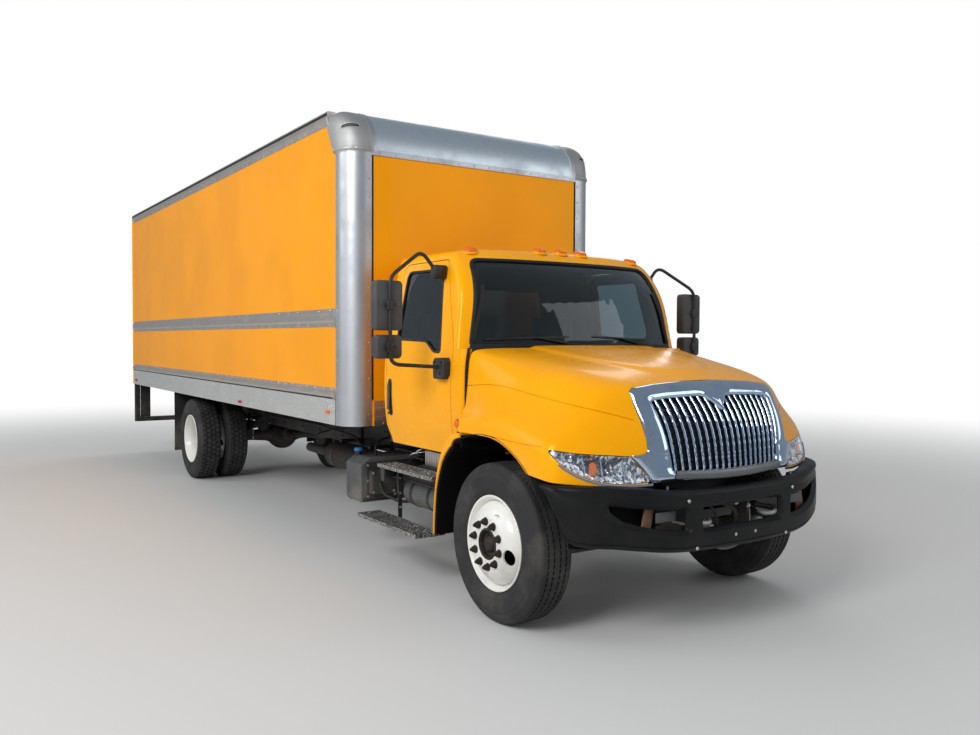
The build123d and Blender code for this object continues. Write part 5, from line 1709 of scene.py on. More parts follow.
mirror = {"tube": 0.0135, "bend": 0.07,
          # across, stations and heights of the tall and the low head
          "heads": [((1.372, 1.580), (0.812, 0.900), (1.860, 2.205)),
                    ((1.376, 1.572), (0.812, 0.900), (1.665, 1.830))],
          "path": [(1.045, 0.925, 2.290), (1.167, 0.925, 2.432), (1.483, 0.800, 2.227), (1.483, 0.792, 1.628),
                   (1.110, 0.747, 1.605)]}
bracketOutline = rounded([(0.672, 1.548), (0.702, 1.520), (0.822, 1.520), (0.829, 1.640), (0.807, 1.670),
                          (0.697, 1.672), (0.672, 1.640)], 0.018, 4)


def lowerBracket():
    block = bevelled(prism(bracketOutline, "x", 1.060, 1.132), 0.010, 3)
    holes = [turned([(-0.02, 0), (-0.02, 0.0095), (0.02, 0.0095), (0.02, 0)], at(1.132, s, z), (1, 0, 0), 20)
             for s, z in ((0.705, 1.640), (0.797, 1.640), (0.722, 1.560))]
    return cut(block, holes)


def mirrorHead(x, station, z, bulge=0.030):
    centre = ((x[0] + x[1]) / 2, (z[0] + z[1]) / 2)
    half = ((x[1] - x[0]) / 2, (z[1] - z[0]) / 2)
    outline = rounded([(-half[0], -half[1]), (half[0], -half[1]), (half[0], half[1]), (-half[0], half[1])], 0.034, 8)
    rows = []
    for share, s in ((0.93, station[1] - 0.012), (0.97, station[1]), (1.0, station[1] - 0.006),
                     (1.0, station[0] + bulge), (0.985, station[0] + bulge * 0.55), (0.93, station[0] + bulge * 0.2),
                     (0.82, station[0] + 0.002), (0.5, station[0] - 0.003), (0.05, station[0] - 0.004)):
        rows.append([at(centre[0] + u * (1 - (1 - share) * 0.08 / half[0] if share > 0.9 else share), s,
                        centre[1] + v * (1 - (1 - share) * 0.08 / half[1] if share > 0.9 else share))
                     for u, v in outline])
    return rowsMesh(rows, True, True)


def mirrorFace(x, station, z, inset=0.012):
    outline = rounded([(x[0] + inset, z[0] + inset), (x[1] - inset, z[0] + inset), (x[1] - inset, z[1] - inset),
                       (x[0] + inset, z[1] - inset)], 0.026, 6)
    return prism(outline, "y", station - 0.008, station - 0.004)


arm = [tube([at(*p) for p in mirror["path"]], mirror["tube"], mirror["bend"], 14, 8)]
arm.append(softBox((0.966, 1.078), (0.892, 0.958), (2.238, 2.338), 0.014, 3))
arm.append(softBox((1.020, 1.068), (0.880, 0.900), (2.255, 2.325), 0.006, 2))
arm.append(lowerBracket())
for z in (2.035, 1.745):
    arm.append(softBox((1.455, 1.511), (0.782, 0.826), (z - 0.038, z + 0.038), 0.008, 3))
    arm.append(pipe([(1.44, 0.797, z), (1.526, 0.797, z)], 0.009, sides=10))
onDoors("mirrorArms", joined(arm), trimBlack, "mirrors_")
onDoors("mirrorHeads", joined([mirrorHead(*head) for head in mirror["heads"]]), mirrorGrey)
onDoors("mirrorFaces", joined([mirrorFace(x, s[1], z) for x, s, z in mirror["heads"]]), mirrorGlass)
onDoors("handlePlate", handlePlate(0.006, 0.0035, -0.004), trimBlack)
onDoors("handleSlot", handlePlate(-0.006, 0.0045, -0.002), sealBlack)
onDoors("handle", joined([paddle, *pad, lock]), mirrorGrey)
print("doors and mirrors done")


# Wheels and tyres, in profiles of (outward along the axle, radius)
wheel = {"nutCircle": 0.143, "nuts": 10, "nutRadius": 0.0195, "nutTall": 0.029, "stud": 0.0110, "studEnd": 0.042,
         "handHole": (0.034, 0.050), "handAt": (0.207, 0.048), "frontTrack": 2.080, "rearTrack": 1.853, "twin": 0.343,
         "axleHeight": 0.510, "face": 0.168}
rimHalfProfile = [(0.050, 0.259), (0.070, 0.272), (0.099, 0.2855), (0.104, 0.2905), (0.109, 0.2980), (0.112, 0.3030),
                  (0.116, 0.3055), (0.121, 0.3050), (0.1245, 0.3015), (0.1250, 0.2960), (0.1225, 0.2905),
                  (0.117, 0.2870), (0.108, 0.2830), (0.102, 0.2780), (0.095, 0.2745), (0.072, 0.2630),
                  (0.052, 0.2500)]
discOutside = [(0.080, 0.2675), (0.092, 0.2640), (0.104, 0.2580), (0.118, 0.2480), (0.132, 0.2340), (0.145, 0.2170),
               (0.155, 0.2010), (0.162, 0.1890), (0.1665, 0.1800), (0.168, 0.1710), (0.168, 0.1080), (0.1665, 0.1015),
               (0.162, 0.0985)]
discInside = [(0.152, 0.0985), (0.157, 0.1080), (0.157, 0.1700), (0.151, 0.1860), (0.144, 0.1980), (0.134, 0.2130),
              (0.121, 0.2290), (0.107, 0.2420), (0.093, 0.2510), (0.080, 0.2560), (0.070, 0.2640)]


def spun(profile, centreX, station, segments=96):
    return turned(profile, at(centreX, station, wheel["axleHeight"]), (1, 0, 0), segments)


def rimMesh(centreX, station, facing):
    rimProfile = rimHalfProfile + [(-u, r) for u, r in reversed(rimHalfProfile)]
    disc = spun([(facing * u, r) for u, r in discOutside + discInside], centreX, station)
    holes = []
    for end in (-1, 1):
        outline = [(station + end * wheel["handAt"][0] + u * wheel["handHole"][0],
                    wheel["axleHeight"] + end * wheel["handAt"][1] + v * wheel["handHole"][1])
                   for u, v in arc((0, 0), 1, 0, 350, 35)]
        holes.append(prism(outline, "x", centreX - 0.3, centreX + 0.3))
    return joined([spun(rimProfile, centreX, station), bevelled(cut(disc, holes), 0.0015, 2)])


# Nuts on the disc's outer face, with the ends of their studs
def wheelNuts(faceX, station, turn=0.0):
    places = []
    for index in range(wheel["nuts"]):
        angle = 2 * math.pi * (index + turn) / wheel["nuts"]
        places.append(at(faceX, station + wheel["nutCircle"] * math.cos(angle),
                         wheel["axleHeight"] + wheel["nutCircle"] * math.sin(angle)))
    outward = Vector((1, 0, 0))
    studs = [turned([(0, 0), (0, wheel["stud"]), (wheel["studEnd"] - 0.004, wheel["stud"]),
                     (wheel["studEnd"], wheel["stud"] - 0.003), (wheel["studEnd"], 0)], place, outward,
                    12) for place in places]
    return joined([bolts([(place, outward) for place in places], wheel["nutRadius"], wheel["nutTall"])] + studs)


frontX = wheel["frontTrack"] / 2
outerX, innerX = (wheel["rearTrack"] + wheel["twin"]) / 2, (wheel["rearTrack"] - wheel["twin"]) / 2
frontHub = [(-0.110, 0.215), (-0.110, 0.195), (-0.020, 0.195), (-0.020, 0.075), (0.100, 0.060), (0.128, 0.000),
            (0.170, 0.000), (0.169, 0.022), (0.164, 0.036), (0.156, 0.046), (0.146, 0.052), (0.138, 0.056),
            (0.136, 0.072), (0.140, 0.079), (0.158, 0.081), (0.167, 0.084), (0.172, 0.088), (0.172, 0.093),
            (0.168, 0.0975), (0.060, 0.0975), (0.040, 0.190), (0.030, 0.213), (0.020, 0.215)]
hubSpots = [(at(frontX + 0.136, 0.065 * math.cos(a), wheel["axleHeight"] + 0.065 * math.sin(a)), (1, 0, 0))
            for a in np.linspace(0, 2 * math.pi, 6, endpoint=False)]
frontHubMesh = joined([spun(frontHub, frontX, 0, 64), bolts(hubSpots, 0.008, 0.010),
                       wheelNuts(frontX + wheel["face"], 0, 0.35)])

rearFace = outerX - wheel["face"] + 0.011
rearHub = [(-0.190, 0.215), (-0.190, 0.195), (-0.060, 0.195), (-0.060, 0.075), (0.150, 0.060), (0.262, 0.050),
           (0.262, 0.000), (0.300, 0.000), (0.300, 0.054), (0.296, 0.060), (0.284, 0.062), (0.284, 0.088),
           (0.278, 0.094), (0.190, 0.0975), (0.060, 0.0975), (0.000, 0.190), (-0.010, 0.213), (-0.020, 0.215)]
capSpots = [(at(innerX + 0.284, wheelbase + 0.075 * math.cos(a), wheel["axleHeight"] + 0.075 * math.sin(a)),
             (1, 0, 0))
            for a in np.linspace(0, 2 * math.pi, 8, endpoint=False)]
rearHubMesh = joined([spun(rearHub, innerX, wheelbase, 64), bolts(capSpots, 0.009, 0.012),
                      wheelNuts(rearFace, wheelbase, 0.15)])
frontRim = rimMesh(frontX, 0, 1)
rearRims = joined([rimMesh(innerX, wheelbase, 1), rimMesh(outerX, wheelbase, -1)])
valve = pipe([(frontX + 0.150, -0.10, 0.705), (frontX + 0.176, -0.10, 0.712)], 0.004, sides=8)

# Side of a tyre from the bead to the shoulder, with its fine rings
tyreSide = [(0.0985, 0.2865), (0.1075, 0.2985), (0.1120, 0.3060), (0.1165, 0.3120), (0.1200, 0.3165),
            (0.1215, 0.3195), (0.1222, 0.3240), (0.1240, 0.3250), (0.1262, 0.3300), (0.1300, 0.3420),
            (0.1318, 0.3440), (0.1326, 0.3475), (0.1318, 0.3500), (0.1340, 0.3620), (0.1372, 0.3840),
            (0.1388, 0.4050), (0.1380, 0.4220), (0.1390, 0.4240), (0.1386, 0.4275), (0.1368, 0.4300),
            (0.1340, 0.4450), (0.1310, 0.4560), (0.1316, 0.4585), (0.1305, 0.4615), (0.1284, 0.4635),
            (0.1255, 0.4720), (0.1232, 0.4765), (0.1190, 0.4830)]
treadStyles = {
    # grooves (centre, width), depth, pitches round the tyre, row places in a pitch, and which rows are cut
    "rib": {"grooves": [(-0.066, 0.011), (-0.024, 0.012), (0.024, 0.012), (0.066, 0.011)], "depth": 0.014,
            "pitches": 84, "rows": [0.0, 0.04, 0.74, 0.78], "open": {"groove": (1, 2), "a": (), "b": ()}},
    "lug": {"grooves": [(-0.054, 0.009), (0.0, 0.008), (0.054, 0.009)], "depth": 0.014, "pitches": 52,
            "rows": [0.0, 0.03, 0.26, 0.29, 0.50, 0.53, 0.76, 0.79],
            "open": {"groove": (0, 1, 2, 3, 4, 5, 6, 7), "a": (1, 2), "b": (5, 6)}},
}


# Columns across the tread: place, radius, and what is cut there
def treadColumns(style):
    columns = []
    grooveSides = [e for centre, width in style["grooves"] for e in (centre - width / 2, centre + width / 2)]
    edges = [-0.100] + grooveSides + [0.100]
    for index in range(0, len(edges), 2):
        start, end = edges[index], edges[index + 1]
        kind = "b" if (index // 2) % 2 else "a"
        first = start + (0.0012 if index else 0.004)
        last = end - (0.0012 if index + 2 < len(edges) else 0.004)
        columns += [(first, "rib"), (first + 0.003, kind), ((first + last) / 2, kind), (last - 0.003, kind),
                    (last, "rib")]
        if index + 2 < len(edges):
            columns += [(end, "groove"), (edges[index + 2], "groove")]
    return columns


def tyreMesh(centreX, station, styleName):
    style = treadStyles[styleName]
    columns = treadColumns(style)
    sideU = np.array([u for u, r in tyreSide])
    sideR = np.array([r for u, r in tyreSide])
    treadU = np.array([u for u, kind in columns])
    crown = 0.510 - 0.0035 * (treadU / 0.1) ** 2
    shoulderU, shoulderR = np.array([0.1165, 0.1135, 0.1085, 0.102]), np.array([0.4885, 0.4945, 0.5005, 0.5045])
    allU = np.concatenate([-sideU, -shoulderU, treadU, shoulderU[::-1], sideU[::-1]])
    rows = []
    count = len(style["rows"])
    for pitch in range(style["pitches"]):
        for index, share in enumerate(style["rows"]):
            angle = 2 * math.pi * (pitch + share) / style["pitches"]
            depth = np.array([style["depth"] if kind != "rib" and index in style["open"][kind] else 0.0
                              for u, kind in columns])
            notch = 0.006 if styleName == "lug" and index in style["open"]["a"] else 0.0
            shoulder = shoulderR - notch * np.array([0, 0.3, 1, 1])
            radius = np.concatenate([sideR, shoulder, crown - depth, shoulder[::-1], sideR[::-1]])
            rows.append(np.stack([centreX + allU, station + radius * math.cos(angle),
                                  wheel["axleHeight"] + radius * math.sin(angle)], -1))
    return rowsMesh([placed(row) for row in rows + rows[:1]], True)


frontTyre = tyreMesh(frontX, 0, "rib")
rearTyres = joined([tyreMesh(innerX, wheelbase, "lug"), tyreMesh(outerX, wheelbase, "lug")])
for side, turn in (("left", lambda mesh: mesh.copy()), ("right", flipped)):
    body = "wheel_front_" + side
    piece("rim_front_" + side, turn(frontRim), wheelWhite, body, [body])
    piece("hub_front_" + side, turn(frontHubMesh), hubIron, body)
    piece("valve_front_" + side, turn(valve), boltSteel, body)
    piece("treadTyre_front_" + side, turn(frontTyre), tyreBlack, body, ["tyre_front_" + side])
    body = "wheel_rear_" + side
    piece("rims_rear_" + side, turn(rearRims), wheelWhite, body, [body])
    piece("hub_rear_" + side, turn(rearHubMesh), hubIron, body)
    piece("treadTyres_rear_" + side, turn(rearTyres), tyreBlack, body, ["tyres_rear_" + side])
print("wheels done")


# Headlamps: a clear lens over chrome bowls, with a ribbed trim below
lampCentre = (0.85, 1.05)
lampRounded = rounded(lampOutline, 0.01, 3)


def lampLoop(scale=1.0, grow=0.0):
    return [(lampCentre[0] + (x - lampCentre[0]) * scale, lampCentre[1] + (z - lampCentre[1]) * scale)
            for x, z in grown(lampRounded, grow)]


lensSkin = shellOf(hoodForm, 0.003, 0.3, -0.15, (180, 6), np.linspace(1.5, 90, 60))
lens = cut(lensSkin, [prism(lampLoop(grow=-0.003), "y", -1.3, -0.2)], "INTERSECT")
piece("headlampLenses", bothSides(lens), lensClear, "hood", ["headlamps"])
lampFloor = ringOn(hoodForm, lampLoop(0.02), lampLoop(grow=-0.002), lampCentre,
                   [(1.0, -0.004), (1.0, -0.020), (0.93, -0.032), (0.80, -0.046), (0.0, -0.060)], 96)
piece("headlampFloors", bothSides(lampFloor), facetChrome, "hood")


# A bowl that faces forward and a little outward, its rim just under the lens
def lampBowl(x, z, radius, deep, turn=0.22):
    point = hoodForm.ahead([(x, z)])[0]
    facing = Vector((turn, -1, 0)).normalized()
    centre = at(*point) - facing * (0.014 + radius * 0.35)
    profile = [(0.004, radius), (0, radius * 0.97)]
    profile += [(-deep * (1 - t * t), radius * 0.97 * t) for t in np.linspace(0.92, 0.16, 9)]
    profile += [(-deep, 0.0), (-deep - 0.004, 0.0), (-deep - 0.004, radius * 0.3), (-0.004, radius)]
    bowl = turned(profile, centre, facing, 40)
    bulb = turned([(-deep, 0), (-deep, 0.010), (-deep * 0.35, 0.010), (-deep * 0.2, 0.007), (-deep * 0.15, 0)],
                  centre, facing, 16)
    return bowl, bulb


bowls, bulbs = [], []
for spot in ((0.712, 1.028, 0.052, 0.045), (0.828, 1.052, 0.056, 0.046), (1.045, 1.100, 0.034, 0.030, 0.55)):
    bowl, bulb = lampBowl(*spot)
    bowls.append(bowl)
    bulbs.append(bulb)
for x in (0.768, 0.895, 0.990, 1.085):
    fin = hoodForm.ahead([(x, z) for z in np.linspace(0.975 + 0.30 * max(0, x - 0.85), 1.122, 10)])
    fin = fin - hoodForm.normal(fin) * 0.022
    bowls.append(stripOn(hoodForm, fin, [(-0.004, -0.02), (0.004, -0.02), (0.003, 0.002), (-0.003, 0.002)]))
piece("headlampBowls", bothSides(joined(bowls)), bowlChrome, "hood")
piece("headlampBulbs", bothSides(joined(bulbs)), mirrorGlass, "hood")
spot = hoodForm.ahead([(0.943, 1.052)])[0]
facing = Vector(hoodForm.normal(spot[None])[0])
reflector = blister(tuple(spot - np.array(facing) * 0.030), facing, (0, 0, 1), 0.048, 0.024, 0.018)
piece("headlampAmbers", bothSides(reflector), lensAmber, "hood")
gasket = stripOn(hoodForm, hoodForm.ahead(spaced(lampLoop(grow=-0.0015), 0.02)),
                 [(-0.002, -0.010), (0.002, -0.010), (0.002, -0.001), (-0.002, -0.001)], True)
piece("headlampGaskets", bothSides(gasket), sealBlack, "hood")


# Ribbed chrome trim under the lens, from the outer end to the grille
def lampTrim():
    line = [(1.112, 1.078), (1.087, 1.050), (1.043, 1.016), (0.987, 0.989), (0.912, 0.966), (0.830, 0.954),
            (0.720, 0.951), (0.610, 0.956)]
    path = spaced(line, 0.010, False)
    points = hoodForm.ahead(path)
    normals = hoodForm.normal(points)
    meshes = [stripOn(hoodForm, points, [(-0.007, -0.012), (0.007, -0.012), (0.007, 0.001), (-0.007, 0.001)])]
    for index in range(1, len(points) - 1):
        a, b = points[index], points[index] * 0.45 + points[index + 1] * 0.55
        meshes.append(stripOn(hoodForm, np.array([a, b]), [(-0.008, -0.002), (0.008, -0.002), (0.006, 0.005),
                                                           (-0.006, 0.005)]))
    return joined(meshes)


piece("headlampTrims", bothSides(lampTrim()), chrome, "hood")


# Satin strip under the grille
def chinMesh():
    rows = []
    for share, push in ((0, -0.03), (0.05, 0.010), (0.10, 0.0175), (0.20, 0.0205), (0.55, 0.0215), (0.88, 0.0205),
                        (0.95, 0.0175), (1, 0.010), (1, -0.03)):
        half = 0.480 - 0.02 * share
        points = hoodForm.ahead([(x, 0.960 + 0.078 * x * x + share * (0.060 - 0.035 * x * x))
                                 for x in np.linspace(-half, half, 44)])
        rows.append(placed(points + hoodForm.normal(points) * push))
    return rowsMesh(rows, False, True)


satinGrey = brushedFinish("satinGrey", "chrome", (0.20, 0.205, 0.21), 0.42, (1, 6, 6), 0.9, 0.1)
piece("grilleChin", chinMesh(), satinGrey, "hood")
tabs = [softBox((x - 0.006, x + 0.006), (-0.93, -0.915), (0.900, 0.950), 0.002, 1) for x in (-0.56, 0.56)]
piece("hoodTabs", joined(tabs), satinGrey, "hood")
print("lamps done")

# Fender liners, the strips of the arch that stay on the cab, small markers
liner = {"inner": 0.66, "outer": 1.176, "gap": 0.008}
linerRadius = hood["archRadius"] + liner["gap"]
linerArc = [(hood["archStation"] + linerRadius * math.cos(t), hood["archHeight"] + linerRadius * math.sin(t))
            for t in np.radians(np.linspace(146, 68, 28))]
linerRows = []
for share in (0, 1):
    grow = 0.004 * share
    linerRows.append([(hood["archStation"] + (s - hood["archStation"]) * (1 + grow), hood["archHeight"]
                       + (z - hood["archHeight"]) * (1 + grow)) for s, z in linerArc])
outline = linerRows[0] + linerRows[1][::-1]
innerWall = linerArc + [(0.30, 1.30), (-0.30, 1.30), (-0.50, 1.10)]
linerMesh = joined([prism(outline, "x", liner["inner"], liner["outer"]),
                    prism(innerWall, "x", liner["inner"] - 0.004, liner["inner"])])
piece("archLiners", bothSides(linerMesh), trimBlack, "hood")


stripWidths = ((0, 0.18, 0.42, 0.68, 1), (0.032, 0.066, 0.034, 0.014, 0.014))


# The strip itself, or the black lining that lies against its inner edge
def stripBeside(start, end, lip, lining=0.0):
    outer = [(0.372, 1.178), (0.505, 1.164), (0.625, 1.010), (0.690, 0.812), (0.716, 0.600), (0.724, 0.438)]
    outer = [tuple(p) for p in softened(outer, 3)]
    rows = []
    for index, point in enumerate(outer):
        before, after = Vector(outer[max(index - 1, 0)]), Vector(outer[min(index + 1, len(outer) - 1)])
        along = (after - before).normalized()
        out = Vector((-along.y, along.x))
        share = index / (len(outer) - 1)
        wide = float(np.interp(share, *stripWidths))
        a = Vector(point) - out * (wide + 0.0005 if lining else 0)
        b = a - out * (lining or wide)
        section = [(start, a), (start, b), (end - lip, b), (end, b + out * lip * 0.5), (end + 0.0005, (a + b) / 2),
                   (end, a - out * lip * 0.3), (end - lip, a)]
        rows.append([at(x, p.x, p.y) for x, p in section])
    return rowsMesh(rows, True, True)


piece("quarterStrips", bothSides(stripBeside(1.150, 1.186, 0.008)), cabYellow, nodes=["quarter_fenders"])
# The lining is near-black as painted shade of the arch
piece("quarterLiners", bothSides(stripBeside(0.66, 1.178, 0.002, 0.030)), shadeBlack)
# Plates at the back and top of each arch, near-black so that the arch reads dark: painted shade
archShade = [(0.40, 0.535), (0.90, 0.535), (1.07, 0.585), (1.07, 0.592), (0.90, 0.545), (0.40, 0.545)]
archShade = [prism(archShade, "z", 0.93, 1.30), bar((0.90, 1.177), (0.355, 0.371), (1.080, 1.163))]
piece("splashPlates", bothSides(joined(archShade)), shadeBlack)
amber = blister(tuple(hoodForm.aside([(0.441, 1.233)])[0]), (1, 0, 0.1), (0, 1, 0), 0.026, 0.026, 0.012)
piece("hoodAmbers", bothSides(amber), lensAmber, "hood")
print("arches done")


# Front bumper: a section swept round the plan, with openings whose edges slope in
bumper = {
    "plan": [(1.158, -0.478), (1.190, -0.535), (1.160, -0.630), (1.105, -0.720), (1.020, -0.785), (0.900, -0.860),
             (0.750, -0.935), (0.620, -0.980), (0.480, -1.008), (0.150, -1.027), (0, -1.027)],
    # (station, height)
    "low": [(-1.035, 0.553), (-1.012, 0.561), (-0.935, 0.585), (-0.860, 0.602), (-0.785, 0.607), (-0.720, 0.620),
            (-0.690, 0.640), (-0.665, 0.682), (-0.630, 0.774), (-0.575, 0.889), (-0.540, 0.930), (-0.478, 0.940)],
    "top": [(-1.035, 0.918), (-1.016, 0.921), (-0.942, 0.946), (-0.860, 0.960), (-0.720, 0.963), (-0.500, 0.966)],
}
bumperSection = [(-0.050, 0.000), (-0.022, 0.006), (-0.008, 0.030), (0.000, 0.068), (0.001, 0.078), (-0.003, 0.084),
                 (-0.003, 0.094), (0.001, 0.100), (0.005, 0.200), (0.006, 0.400), (0.004, 0.600), (0.000, 0.780),
                 (-0.004, 0.850), (-0.003, 0.872), (0.001, 0.905), (0.000, 0.945), (-0.006, 0.975), (-0.016, 0.993),
                 (-0.030, 1.000), (-0.084, 0.998), (-0.090, 0.990), (-0.088, 0.965), (-0.036, 0.955), (-0.030, 0.900),
                 (-0.030, 0.040), (-0.050, 0.030)]
planHalf = [tuple(p) for p in softened(bumper["plan"], 3)]
bumperPlan = spaced([(-x, s) for x, s in planHalf[:-1]] + list(reversed(planHalf)), 0.02, False)


def bumperHeight(line, s):
    return float(np.interp(s, [p[0] for p in bumper[line]], [p[1] for p in bumper[line]]))


def bumperMesh():
    rows = []
    count = len(bumperPlan)
    for index, point in enumerate(bumperPlan):
        before, after = Vector(bumperPlan[max(index - 1, 0)]), Vector(bumperPlan[min(index + 1, count - 1)])
        along = (after - before).normalized()
        out = Vector((along.y, -along.x))
        low, high = bumperHeight("low", point[1]), bumperHeight("top", point[1])
        rows.append([at(point[0] + out.x * push, point[1] + out.y * push, low + (high - low) * share)
                     for push, share in bumperSection])
    return rowsMesh(rows, True, True)


frontPlan = sorted(planHalf)


def faceStation(x):
    return float(np.interp(abs(x), [p[0] for p in frontPlan if p[1] < -0.6],
                           [p[1] for p in frontPlan if p[1] < -0.6]))


# A cutter whose rims widen towards the face: outline, how far it widens, and how much more at its outer end
def openingCutter(outline, wide, more=0.0):
    rows = []
    for grow, depth in ((1.25, -0.02), (1.0, -0.004), (0.62, 0.005), (0.28, 0.013), (0.0, 0.022), (0.0, 0.10)):
        loop = []
        for (x, z), (gx, gz) in zip(outline, grown(outline, wide * grow)):
            extra = 1 + more * min(1, max(0, (abs(x) - 0.66) / 0.25))
            px, pz = x + (gx - x) * extra, z + (gz - z) * (1 + (extra - 1) * 0.35)
            loop.append(at(px, faceStation(px) + depth, pz))
        rows.append(loop)
    return rowsMesh(rows, True, True)


centreOpening = spaced(rounded([(-0.345, 0.693), (0.345, 0.693), (0.345, 0.817), (-0.345, 0.817)], 0.022, 5), 0.06)
sideOpening = spaced(rounded([(0.470, 0.693), (0.620, 0.706), (0.750, 0.732), (0.850, 0.765), (0.915, 0.815),
                              (0.930, 0.855), (0.700, 0.828), (0.470, 0.817)],
                             (0.022, 0.10, 0.10, 0.08, 0.05, 0.014, 0.20, 0.022), 6), 0.06)
openingCutters = [openingCutter(centreOpening, 0.020)]
for side in (-1, 1):
    loop = [(side * x, z) for x, z in sideOpening]
    openingCutters.append(openingCutter(loop if side > 0 else loop[::-1], 0.024, 0.8))
piece("bumperShell", cut(bumperMesh(), openingCutters), bumperBlack, nodes=["front_bumper"], angle=32)
boltSpots = [(at(x, faceStation(x) - 0.003, z), (0.10 * (1 if x > 0 else -1), -1, 0))
             for x, z in ((-0.469, 0.867), (0.469, 0.867), (-0.403, 0.584), (0.403, 0.584), (-0.089, 0.634),
                          (0.089, 0.634))]
piece("bumperBolts", domes(boltSpots, 0.0115, 0.0055, 14, 4), boltSteel)

# Rusty and grey brackets and hooks behind the openings
brace = prism(rounded([(0.680, 0.640), (0.750, 0.640), (0.700, 0.860), (0.630, 0.860)], 0.01, 3), "y", -0.895, -0.883)
piece("bumperBraces", bothSides(brace), engineRust)
piece("bumperBlocks", bothSides(softBox((0.50, 0.66), (-0.935, -0.925), (0.745, 0.805), 0.004, 2)), tankGrey)
hooks = [prism(rounded([(0.372, 0.700), (0.401, 0.700), (0.401, 0.900), (0.372, 0.900)], 0.006, 2), "y",
               -1.00, -0.80),
         pipe([(0.375, -0.80, 0.735), (0.375, -0.965, 0.735), (0.310, -0.985, 0.715), (0.245, -0.965, 0.715),
               (0.235, -0.930, 0.730)], 0.015, 0.03, 10),
         softBox((0.20, 0.245), (-0.96, -0.90), (0.655, 0.695), 0.008, 2)]
piece("towHooks", bothSides(joined(hooks)), castAluminium)
gear = [pipe([(-0.06, -0.90, 0.80), (0.02, -0.93, 0.76), (0.04, -0.92, 0.66)], 0.012, 0.04),
        pipe([(-0.20, -0.86, 0.86), (-0.12, -0.90, 0.74), (-0.08, -0.89, 0.62)], 0.009, 0.05),
        softBox((-0.03, 0.05), (-0.925, -0.86), (0.78, 0.84), 0.01, 2),
        softBox((0.13, 0.155), (-0.93, -0.82), (0.60, 0.90), 0.005, 2),
        softBox((-0.40, 0.40), (-0.80, -0.76), (0.74, 0.86), 0.006, 2)]
# Near-black plates behind the side openings, so that the openings read dark: painted shade
bumperShadeOutline = [(0.60, -0.855), (0.86, -0.80), (1.08, -0.66), (1.09, -0.665), (0.87, -0.812), (0.60, -0.865)]
piece("bumperBacking", bothSides(prism(bumperShadeOutline, "z", 0.60, 0.93)), shadeBlack)
piece("bumperGear", joined(gear), chassisShadeBlack)
piece("gearBolts", bolts([(at(x, -0.928, z), (0, -1, 0)) for x, z in ((-0.01, 0.825), (0.03, 0.80), (0.142, 0.77))],
                         0.011, 0.010),
      boltSteel)
print("bumper done")


# Steps, tanks and the rest of what hangs on the frame
steps = {"upper": ((0.990, 1.155), (0.800, 1.650), 0.820), "lower": ((1.025, 1.230), (0.890, 1.860), 0.400),
         "wall": 0.030, "pitch": 0.0405, "hole": 0.0135, "sheet": 0.0015, "edge": 0.010, "brackets": (0.895, 1.560)}


# A sheet with rows of round holes; each cell is a ring of faces round its hole
def perforated(start, along, across, size, pitch, hole, sheet=0.003, sides=8):
    along, across, start = Vector(along), Vector(across), at(*start)
    counts = [max(1, round(length / pitch)) for length in size]
    cell = [length / count for length, count in zip(size, counts)]
    verts, faces = [], []
    for i in range(counts[0]):
        for j in range(counts[1]):
            first = len(verts)
            for ring in (0, 1):
                for k in range(sides):
                    c, s = math.cos(2 * math.pi * k / sides), math.sin(2 * math.pi * k / sides)
                    reach = 0.5 / max(abs(c), abs(s))
                    u, v = (c * hole, s * hole) if ring else (c * reach * cell[0], s * reach * cell[1])
                    verts.append(start + along * ((i + 0.5) * cell[0] + u) + across * ((j + 0.5) * cell[1] + v))
            for k in range(sides):
                d = (k + 1) % sides
                faces.append((first + k, first + d, first + sides + d, first + sides + k))
    bm = bmesh.new()
    bm.from_mesh(meshFrom(verts, faces))
    bmesh.ops.remove_doubles(bm, verts=bm.verts, dist=1e-5)
    return thickened(fromBmesh(bm), sheet)


def treadPlate(name, toothed):
    xs, stations, z = steps[name]
    wall, edge = steps["wall"], steps["edge"]
    size = (xs[1] - xs[0] - 2 * edge, stations[1] - stations[0] - 2 * edge)
    meshes = [perforated((xs[0] + edge, stations[0] + edge, z - 0.0035), (1, 0, 0), (0, 1, 0), size, steps["pitch"],
                         steps["hole"], steps["sheet"])]
    lip = [(0, 0), (edge + 0.002, 0), (edge + 0.002, -0.004), (0.004, -0.004), (0.004, 0.001 - wall),
           (0, 0.001 - wall)]
    for x, way in ((xs[0], 1), (xs[1], -1)):
        meshes.append(bevelled(prism([(x + way * u, z + v) for u, v in lip], "y", *stations), 0.0012, 1))
    for station, way in ((stations[0], 1), (stations[1], -1)):
        meshes.append(prism([(station + way * u, z + v) for u, v in lip], "x", xs[0] + 0.0041, xs[1] - 0.0041))
    count = round((stations[1] - stations[0]) / 0.026) if toothed else 0
    for k in range(count):
        start = stations[0] + k * 0.026
        for x in (xs[0] + 0.006, xs[1] - 0.010):
            meshes.append(bar((x, x + 0.004), (start + 0.003, start + 0.018), (z + 0.001 - wall, z - 0.004)))
    counts = [max(1, round(length / steps["pitch"])) for length in size]
    spots = [(at(xs[0] + edge + i * size[0] / counts[0], stations[0] + edge + j * size[1] / counts[1], z - 0.0035),
              (0, 0, 1)) for i in range(1, counts[0]) for j in range(1, counts[1])]
    meshes.append(domes(spots, 0.0070, 0.0048, 6, 2))
    return joined(meshes)


def stepBracket(station):
    upper, lower, wall = steps["upper"][2], steps["lower"][2], steps["wall"]
    outline = [(0.432, 0.94), (0.432, 0.85), (0.98, upper - 0.06), (0.98, lower - wall + 0.001),
               (1.215, lower - wall + 0.001), (1.215, lower - 0.006), (1.015, lower - 0.006), (1.015, upper - wall),
               (1.145, upper - wall), (1.145, upper - 0.006), (0.98, upper - 0.006)]
    return bevelled(prism(rounded(outline, 0.010, 3), "y", station, station + 0.008), 0.0015, 1)


